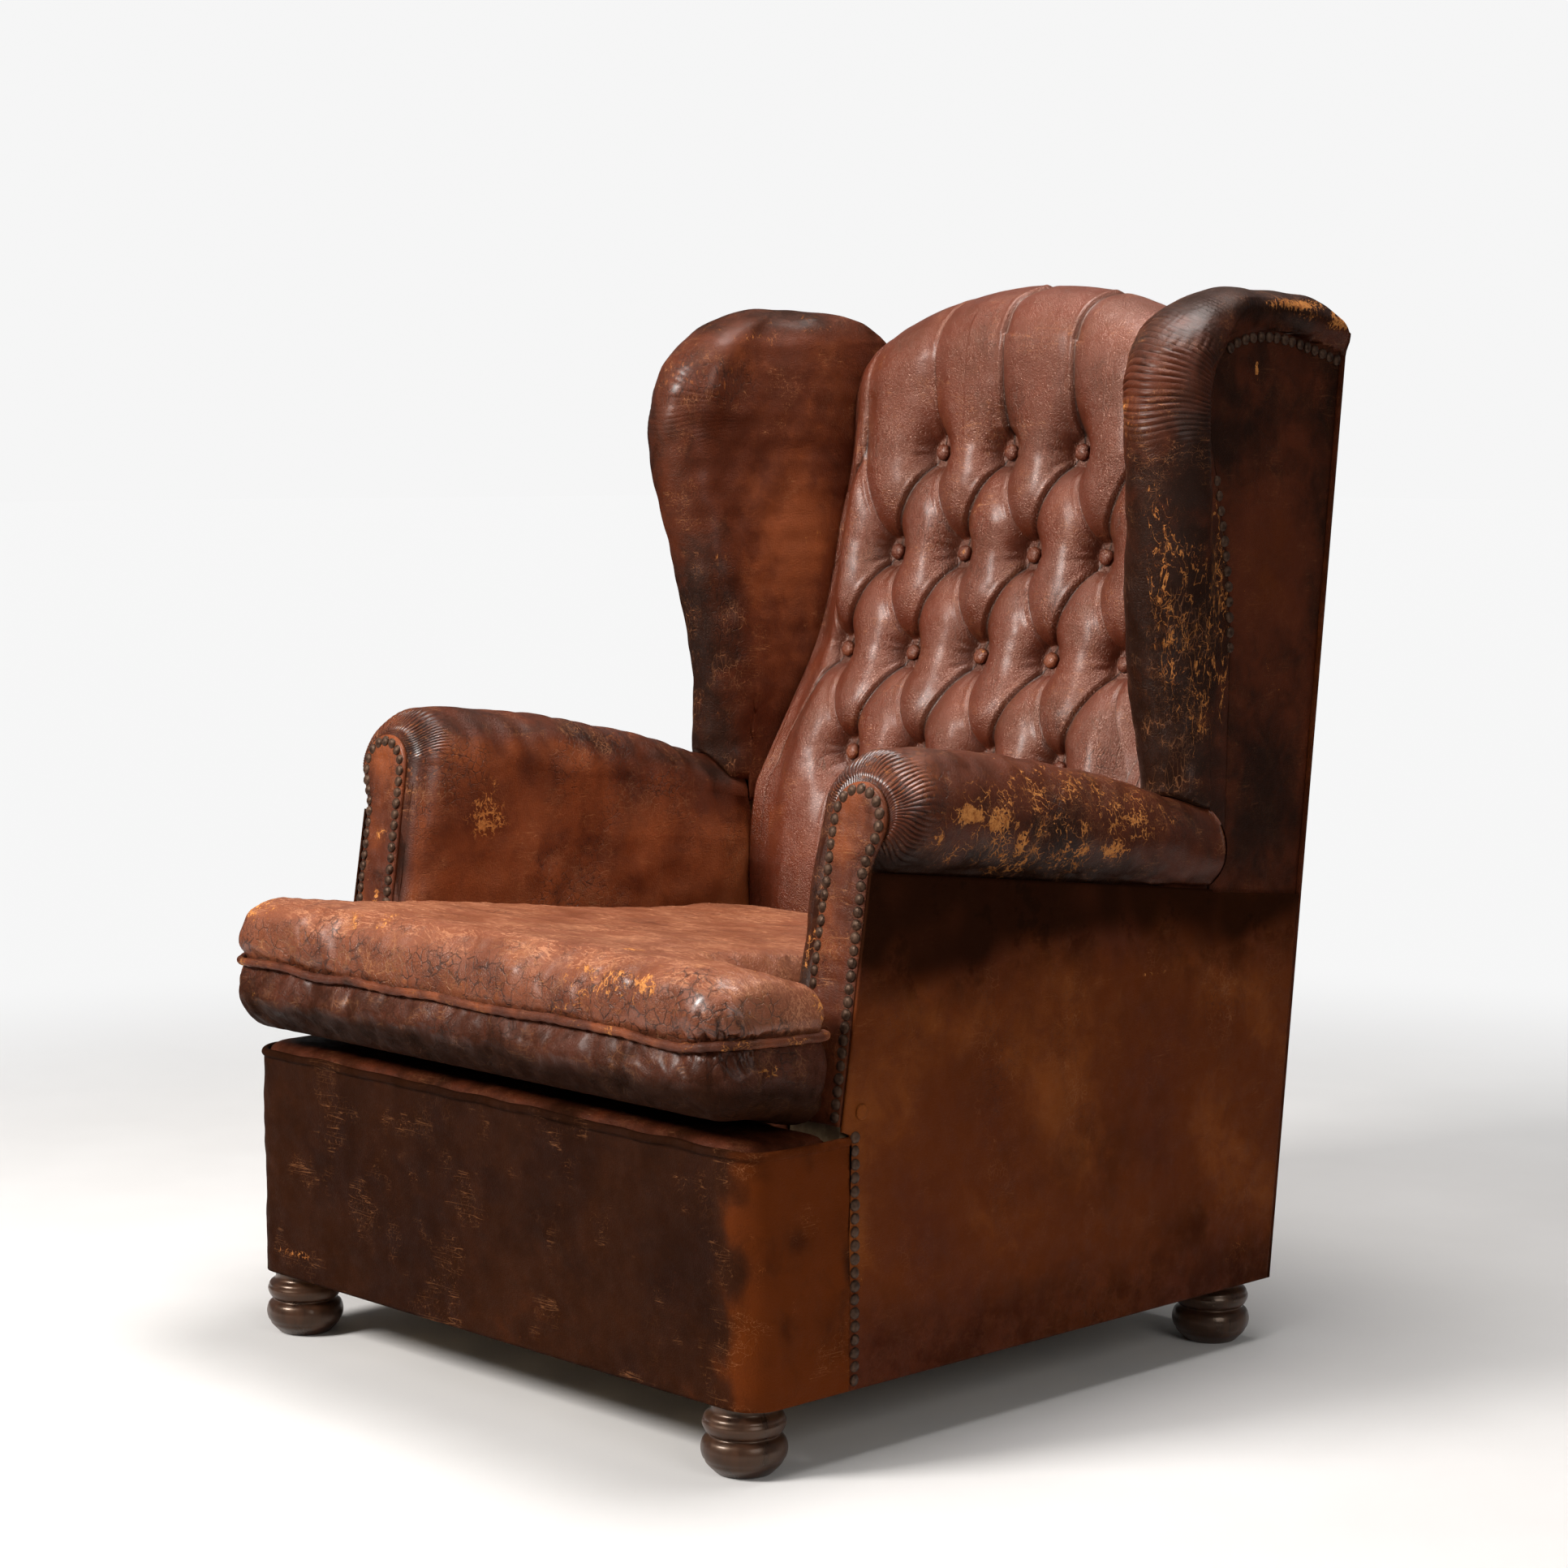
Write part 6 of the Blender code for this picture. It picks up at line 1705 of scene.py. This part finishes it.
class CHAIR_OT_wings(Builder, bpy.types.Operator):
    """Pad the wings"""

    bl_idname = "chair.wings"
    bl_label = "Wings"

    def build(self):
        """Two padded wings, their tops flaking and their noses cracked, with painted light and
        painted shade in their tone.
        """
        finish = hide("wing", gloss=0.14, spec=0.22, stretch=(1.0, 1.0, 0.42),
                      craze_scale=150.0, crack_width=0.055, lace=270.0, tinge=(1.0, 0.70, 0.58))
        for side in (1, -1):
            rings, phase, gather = wing_rings(side, self.shape.wing_gathers)
            wing = make(side_name("wing_hide", side), skin(rings))
            store(wing, "folds", ends(phase), ends(gather) * (0.85 if side > 0 else 0.08), 0.40)
            at = points_of(wing)
            x, y, z = np.abs(at[:, 0]), at[:, 1], at[:, 2]
            top = smooth((z - 1.012) / 0.022)
            inner = smooth((0.315 - x) / 0.03)
            shoulder = np.exp(-((z - 0.97) / 0.05) ** 2)
            if side > 0:
                places = [((0.377, 0.33, 1.034), (0.03, 0.06, 0.008), 0.70),
                          ((0.380, 0.392, 1.020), (0.03, 0.03, 0.012), 0.70),
                          ((0.385, 0.33, 1.022), (0.02, 0.07, 0.010), 0.45),
                          ((0.300, 0.150, 0.93), (0.016, 0.02, 0.050), 0.55),
                          ((0.368, 0.202, 0.940), (0.02, 0.010, 0.030), 0.40),
                          ((0.365, 0.232, 0.660), (0.02, 0.008, 0.050), 0.62),
                          ((0.300, 0.185, 0.80), (0.015, 0.03, 0.09), 0.26)]
            else:
                places = [((-0.331, 0.175, 1.028), (0.05, 0.04, 0.012), 0.46),
                          ((-0.294, 0.230, 1.018), (0.04, 0.05, 0.014), 0.36),
                          ((-0.282, 0.310, 1.026), (0.03, 0.05, 0.012), 0.34),
                          ((-0.270, 0.293, 0.793), (0.02, 0.025, 0.020), 0.40),
                          ((-0.300, 0.180, 0.760), (0.04, 0.04, 0.050), 0.27),
                          ((-0.300, 0.190, 0.600), (0.04, 0.05, 0.020), 0.28)]
            web = np.minimum(near(at, (0.356, 0.190, 0.745), (0.026, 0.08, 0.150)), 0.6) * 0.66
            web = np.maximum(web, 0.40 * near(at, (0.320, 0.150, 0.92), (0.05, 0.05, 0.045)))
            rub = np.maximum(spots(at, places), web * (side > 0)) + 0.04 * drift(at, 0.03, 401)
            rub = np.maximum(rub, 0.28 * top * smooth((drift(at, 0.05, 402) + 0.5) / 1.0))
            plates = spots(at, [((-0.323, 0.146, 0.977), (0.03, 0.03, 0.026), 0.9),
                                ((-0.292, 0.189, 0.968), (0.03, 0.03, 0.024), 0.9)])
            # Painted light: a glow raised in tone on the left wing's inner face.
            painted_glow = near(at, (side * 0.27, 0.265, 0.80), (0.03, 0.06, 0.09)) * (side < 0)
            rough_nose = smooth((0.80 - z) / 0.06) * smooth((0.215 - y) / 0.03)
            craze = (0.20 if side > 0 else 0.12) + 0.10 * drift(at, 0.09, 403)
            craze += 0.10 * shoulder + 0.40 * rough_nose + plates
            grime_and_shade = 0.06 + 0.36 * rough_nose + 0.40 * top + 0.06 * drift(at, 0.06, 404)
            # Painted shade: the right wing is darkened below about 0.9 m.
            grime_and_shade += 0.12 * smooth((0.90 - z) / 0.05) * (side > 0)
            grime_and_shade += 0.45 * smooth((y - 0.36) / 0.03) * inner
            tone = (0.22 if side > 0 else 0.44) + 0.08 * drift(at, 0.12, 405) - 0.20 * top
            # Painted highlight: the right wing's shoulder is raised in tone.
            tone += 0.22 * shoulder * (side > 0) - 0.22 * rough_nose
            tone += 0.12 * inner + 0.50 * painted_glow
            self.worn(wing, rub=rub, craze=craze, grime_and_shade=grime_and_shade, tone=tone)
            fit_out(wing, finish, [side_name("wing", side)])


class CHAIR_OT_back(Builder, bpy.types.Operator):
    """Pad and button the inside back"""

    bl_idname = "chair.back"
    bl_label = "Buttoned back"

    def build(self):
        """The deep-buttoned pad, with painted shade in its folds, and sixteen covered buttons."""
        rings, (a, strong, b, weak), gap = back_pad()
        pad = make("back_hide", skin(rings, bent=True))
        store(pad, "folds", ends(a), ends(strong), 0.060)
        store(pad, "creases", ends(b), ends(weak), 0.030)
        at = points_of(pad)
        # Painted shade along the folds: they lower the tone and add grime.
        fold = np.exp(-np.abs(np.sin(np.pi * ends(a))) / 0.12) * ends(strong)
        pull = np.exp(-((np.concatenate([gap.ravel(), [1.0, 1.0]]) - 0.008) / 0.014) ** 2)
        sides = smooth((np.abs(at[:, 0]) - 0.19) / 0.05)
        crest = smooth((at[:, 2] - 0.985) / 0.04)
        self.worn(pad, rub=0.12 * crest,
                  craze=0.32 + 0.16 * drift(at, 0.08, 502),
                  grime_and_shade=0.20 * fold + 0.35 * pull,
                  tone=0.38 + 0.08 * drift(at, 0.09, 504) - 0.25 * fold + 0.10 * sides)
        fit_out(pad, hide("back", craze_scale=190.0, stretch=(1.0, 0.6, 0.32),
                          rough=(0.29, 0.44), gloss=0.18, spec=0.85, depth=0.8,
                          crack_width=0.075, hairs=0.15, tinge=(1.0, 0.64, 0.50)),
                ["inside_back"])
        studs = make("back_buttons", button_solid(505))
        at = points_of(studs)
        self.worn(studs, rub=0.15 + 0.15 * drift(at, 0.01, 506), craze=0.3, grime_and_shade=0.15,
                  tone=0.62 + 0.15 * drift(at, 0.08, 507))
        fit_out(studs, hide("back"),
                ["back_button_%02d" % n for n in range(1, 17)])


class CHAIR_OT_seat(Builder, bpy.types.Operator):
    """Lay the cushion with its piping on the deck, and weave the webbing under it"""

    bl_idname = "chair.seat"
    bl_label = "Seat"

    def build(self):
        """Cushion, piping, deck, webbing and the loose strap end."""
        self.cushion()
        piping = make("piping_hide", skin(piping_rings(), loop=True))
        at = points_of(piping)
        self.worn(piping, rub=0.20 + 0.17 * drift(at, 0.03, 601), craze=0.3,
                  grime_and_shade=0.15 + 0.35 * smooth((drift(at, 0.035, 602) - 0.3) / 0.6),
                  tone=0.60 + 0.2 * drift(at, 0.05, 603))
        fit_out(piping, hide("piping", grain=500.0, gloss=0.05, lace=260.0),
                ["cushion_piping"])
        front = BASE_FRONT + 0.0036
        sides = (front, back_y(RAIL_TOP) - 0.0442, 0.2997, BASE_HALF - 0.0036,
                 facing_y(RAIL_TOP) - 0.006)
        radii = (0.029, 0.029, 0.006, 0.006, 0.012, 0.012, 0.006, 0.006)
        levels = curve([(0.0, RAIL_TOP + FIT), (0.0, 0.272), (0.0008, 0.284), (0.005, 0.2925),
                        (0.014, 0.2968), (0.028, DECK_TOP)], 5)
        deck = capped("deck_cover", tee_stack(sides, radii, levels))
        deck.data.shade_smooth()
        at = points_of(deck)
        self.worn(deck, rub=0.15, craze=0.35, grime_and_shade=0.55 + 0.2 * drift(at, 0.06, 611), tone=0.4)
        fit_out(deck, hide("deck", gloss=0.0, spec=0.1), ["seat_deck"])
        jute = woven("jute straps", (0.200, 0.135, 0.070), (0.460, 0.340, 0.200))
        fit_out(make("woven_straps", webbing_solid()), jute, ["seat_webbing"])
        fit_out(make("loose_strap", loose_strap_solid()), jute, ["strap_end"])

    def cushion(self):
        """The T cushion: an even mesh, blown up as cloth, then creased and worn, with painted
        shade on its lower half and a painted highlight at its near corner.

        Creases are narrow valleys where a wandering field crosses zero; near the seam
        they stand square to the piping and die away with the distance from it."""
        rings = sink(tee_stack(CUSHION_SIDES, CUSHION_RADII, curve(CUSHION_LEVELS, 6)))
        pad = remeshed(capped("cushion_hide", rings), self.shape.cushion_grid)
        blow_up(pad, self.shape.pressure, self.shape.swell_cap)
        halve = pad.modifiers.new("halve", "SUBSURF")
        halve.levels = halve.render_levels = 1
        baked(pad)
        pad.data.shade_smooth()
        at, way = points_of(pad), points_of(pad, normals=True)
        x, y, z = at.T
        seam = seam_height(at)
        off = z - seam
        top = smooth((way[:, 2] - 0.35) / 0.4)
        rim = np.exp(-(off / 0.030) ** 2)
        girth = np.where(np.abs(way[:, 0]) > np.abs(way[:, 1]), y, x)
        lean = girth + 0.25 * off + 0.010 * drift(at, 0.05, 620)
        wander = 1.3 * drift(at, 0.04, 621)
        pucker = -np.abs(np.cos(np.pi * lean / PUCKER + wander)) ** 5
        strong = 0.35 + 0.65 * smooth((drift(at, 0.10, 622) + 0.2) / 0.9)
        strong = np.maximum(strong, near(at, (0.365, -0.42, 0.395), (0.05, 0.05, 0.05)))
        streak = drift(at * np.array([0.7, 2.6, 1.0]), 0.060, 623)
        fine = drift(at * np.array([0.8, 2.0, 1.0]), 0.022, 624)
        sag = -near(at, (0.0, -0.12, 0.40), (0.20, 0.20, 0.10)) * top
        corner = near(at, (0.365, -0.42, 0.395), (0.050, 0.05, 0.040))
        move = (0.0012 + 0.0050 * corner) * pucker * rim * strong * (1 - top)
        move += top * (0.0005 * streak + 0.0003 * fine)
        move += (1 - top) * (0.0009 * drift(at, 0.06, 625) + 0.0003 * drift(at, 0.022, 626))
        move += 0.004 * sag
        rest = smooth((z - 0.2995) / 0.006)
        at = at + way * (move * rest)[:, None]
        curl = smooth((-0.30 - y) / 0.09) * smooth((seam - 0.012 - z) / 0.060)
        at[:, 2] += 0.017 * curl
        put_back(pad, at)
        # Painted shade: the lower half, below the seam, is darkened by grime and tone, deepest at
        # the bottom.
        lower = smooth((seam + 0.010 - z) / 0.024)
        deep = smooth((seam - 0.010 - z) / 0.070)
        front = smooth((-0.33 - y) / 0.06)
        bulge = front * (1 - top) * (off > 0)
        edge = np.exp(-((z - 0.436) / 0.012) ** 2) * (off > 0)
        pleated = rim * (1 - top) * np.maximum(0.25 * strong, corner)
        store(pad, "folds", lean / PUCKER + 1.3 * drift(at, 0.04, 621), pleated, 0.32)
        rub = spots(at, [((-0.34, -0.40, 0.436), (0.050, 0.05, 0.016), 0.66),
                         ((-0.181, -0.411, 0.437), (0.020, 0.020, 0.014), 0.50),
                         ((-0.134, -0.402, 0.441), (0.020, 0.020, 0.014), 0.50),
                         ((0.364, -0.308, 0.409), (0.02, 0.024, 0.018), 0.62),
                         ((0.357, -0.284, 0.344), (0.03, 0.024, 0.028), 0.80),
                         ((0.370, -0.377, 0.362), (0.02, 0.020, 0.006), 0.60),
                         ((0.200, -0.430, 0.424), (0.100, 0.04, 0.028), 0.46),
                         ((0.260, -0.430, 0.430), (0.030, 0.04, 0.012), 0.62),
                         ((0.160, -0.430, 0.400), (0.050, 0.04, 0.020), 0.42),
                         ((0.191, -0.376, 0.445), (0.016, 0.014, 0.014), 0.62),
                         ((0.329, -0.357, 0.443), (0.016, 0.014, 0.014), 0.60),
                         ((-0.300, -0.430, 0.350), (0.040, 0.04, 0.026), 0.40)])
        rub = np.maximum(rub + 0.06 * drift(at, 0.012, 630), 0.22 * edge)
        craze = 0.24 + 0.52 * bulge + 0.15 * drift(at, 0.07, 631) + 0.20 * lower
        grime_and_shade = 0.02 + 0.62 * lower + 0.50 * deep + 0.30 * smooth((y - 0.05) / 0.08)
        grime_and_shade += 0.05 * drift(at, 0.06, 632) + 0.5 * np.exp(-(off / 0.0045) ** 2) * (1 - top)
        tone = 0.48 + 0.08 * drift(at, 0.09, 633) + 0.05 * streak * top + 0.06 * top
        # Painted shade: the lower half and all below the seam are lowered in tone.
        tone = tone - 0.34 * lower - 0.30 * (off < 0) - 0.14 * bulge
        # Painted highlight at the near corner, above the seam.
        tone += 0.30 * near(at, (0.375, -0.365, 0.400), (0.02, 0.05, 0.03)) * (off > 0)
        self.worn(pad, rub=rub, craze=craze, grime_and_shade=grime_and_shade, tone=tone)
        fit_out(pad, hide("seat", grain=300.0, depth=0.45, rough=(0.34, 0.58), gloss=0.25,
                          streaks=0.9, craze_scale=85.0, crack_width=0.090, blotches=0.8),
                ["seat_cushion"])


class CHAIR_OT_frame(Builder, bpy.types.Operator):
    """Give the hidden frame and springs their finishes"""

    bl_idname = "chair.frame"
    bl_label = "Frame and springs"

    def build(self):
        """Sawn wood on the frame's members and old steel on the springs."""
        sawn = plain_finish("sawn wood", (0.20, 0.12, 0.06), (0.48, 0.34, 0.19), 0.70, 26.0,
                            (1.0, 0.25, 1.0))
        steel = plain_finish("spring steel", (0.05, 0.045, 0.04), (0.26, 0.24, 0.22), 0.42,
                             120.0, metal=1.0)
        for name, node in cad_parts.items():
            if node.hide_render:
                continue
            node.data.materials.clear()
            node.data.materials.append(steel if name.startswith("coil") else sawn)


# the stage: half width of the floor, its far tone, and the camera in degrees and millimetres
FLOOR, PALE = 60.0, (0.92, 0.92, 0.92)
CAMERA_AT, CAMERA_DOWN, CAMERA_ROUND = (2.4032, -2.3005, 0.8826), 5.59, 46.35
LENS, SENSOR = 76.11, 36.0


class CHAIR_OT_stage(bpy.types.Operator):
    """Set the floor, the lights and the camera"""

    bl_idname = "chair.stage"
    bl_label = "Stage"
    bl_options = {"REGISTER", "UNDO"}

    def execute(self, context):
        """Pale floor, white surroundings, one large key light and two weak ones."""
        scene = context.scene
        plane = bpy.data.meshes.new("floor")
        corners = ((-FLOOR, -FLOOR), (FLOOR, -FLOOR), (FLOOR, FLOOR), (-FLOOR, FLOOR))
        plane.from_pydata([(x, y, 0.0) for x, y in corners], [], [(0, 1, 2, 3)])
        floor = placed("floor", plane)
        made, net, shader, place = new_material("pale floor")
        away = net.node("ShaderNodeVectorMath", operation="LENGTH")
        net.put(away.inputs[0], place)
        far = net.ramp(away.outputs["Value"], 0.8, 2.6)
        cloud = net.mix(net.ramp(net.noise(place, 3.0), 0.3, 0.7), (0.60, 0.59, 0.58),
                        (0.63, 0.62, 0.61))
        net.put(shader["Base Color"], net.mix(far, cloud, (0.0, 0.0, 0.0)))
        net.put(shader["Emission Color"], net.mix(far, (0.0, 0.0, 0.0), PALE))
        net.put(shader["Emission Strength"],
                net.node("ShaderNodeLightPath").outputs["Is Camera Ray"])
        shader["Roughness"].default_value = 0.9
        shader["Specular IOR Level"].default_value = 0.1
        plane.materials.append(made)
        world = bpy.data.worlds.new("studio")
        scene.world = world
        world.use_nodes = True
        net = Net(world.node_tree)
        background = world.node_tree.nodes["Background"].inputs
        seen = net.node("ShaderNodeLightPath").outputs["Is Camera Ray"]
        net.put(background["Color"], net.mix(seen, (0.15, 0.15, 0.15), PALE))
        background["Strength"].default_value = 1.0
        for name, place, at, size, power, colour in (
                ("key", (-0.9, -2.8, 2.3), (0.0, -0.1, 0.5), 1.0, 168.0, (1.0, 0.97, 0.94)),
                ("top", (0.2, 0.2, 2.8), (0.0, 0.0, 0.7), 1.1, 75.0, (1.0, 0.98, 0.97)),
                ("fill", (3.2, -0.9, 1.7), (0.0, 0.0, 0.5), 1.5, 27.0, (1.0, 0.98, 0.96))):
            lamp = bpy.data.lights.new(name, "AREA")
            lamp.size, lamp.energy, lamp.color = size, power, colour
            holder = placed(name, lamp)
            holder.location = place
            aim = Vector(at) - Vector(place)
            holder.rotation_euler = aim.to_track_quat("-Z", "Y").to_euler()
        lens = bpy.data.cameras.new("camera")
        lens.lens, lens.sensor_width = LENS, SENSOR
        camera = placed("camera", lens)
        camera.location = CAMERA_AT
        camera.rotation_euler = (math.radians(90.0 - CAMERA_DOWN), 0.0,
                                 math.radians(CAMERA_ROUND))
        scene.camera = camera
        scene.view_settings.view_transform = "Standard"
        for key, value in (("use_adaptive_sampling", True), ("adaptive_threshold", 0.05),
                           ("adaptive_min_samples", 16), ("max_bounces", 6),
                           ("diffuse_bounces", 3), ("glossy_bounces", 3)):
            setattr(scene.cycles, key, value)
        return {"FINISHED"}


class CHAIR_PT_panel(bpy.types.Panel):
    """Buttons that build the chair"""

    bl_idname = "CHAIR_PT_panel"
    bl_label = "Worn Wing Chair"
    bl_space_type = "VIEW_3D"
    bl_region_type = "UI"
    bl_category = "Chair"

    def draw(self, context):
        """One button for each group of pieces, then the settings."""
        for step in STEPS:
            self.layout.operator("chair." + step)
        for key in ("chair_shape", "chair_colours", "chair_wear"):
            group = getattr(context.scene, key)
            box = self.layout.box()
            for name in group.bl_rna.properties.keys():
                if name not in ("rna_type", "name"):
                    box.prop(group, name)


STEPS = ("feet", "base", "arms", "wings", "back", "seat", "frame", "stage")
CLASSES = (ChairShape, ChairColours, ChairWearAndShade, CHAIR_OT_feet, CHAIR_OT_base, CHAIR_OT_arms,
           CHAIR_OT_wings, CHAIR_OT_back, CHAIR_OT_seat, CHAIR_OT_frame, CHAIR_OT_stage,
           CHAIR_PT_panel)


def register():
    """Register the classes and hang the settings on the scene."""
    for each in CLASSES:
        bpy.utils.register_class(each)
    bpy.types.Scene.chair_shape = bpy.props.PointerProperty(type=ChairShape)
    bpy.types.Scene.chair_colours = bpy.props.PointerProperty(type=ChairColours)
    bpy.types.Scene.chair_wear = bpy.props.PointerProperty(type=ChairWearAndShade)


def unregister():
    """Take the settings and the classes away again."""
    del bpy.types.Scene.chair_wear
    del bpy.types.Scene.chair_colours
    del bpy.types.Scene.chair_shape
    for each in reversed(CLASSES):
        bpy.utils.unregister_class(each)


def main():
    """Build every piece in order."""
    register()
    for step in STEPS:
        if getattr(bpy.ops.chair, step)() != {"FINISHED"}:
            raise RuntimeError("step %s did not finish" % step)


if __name__ == "__main__":
    main()
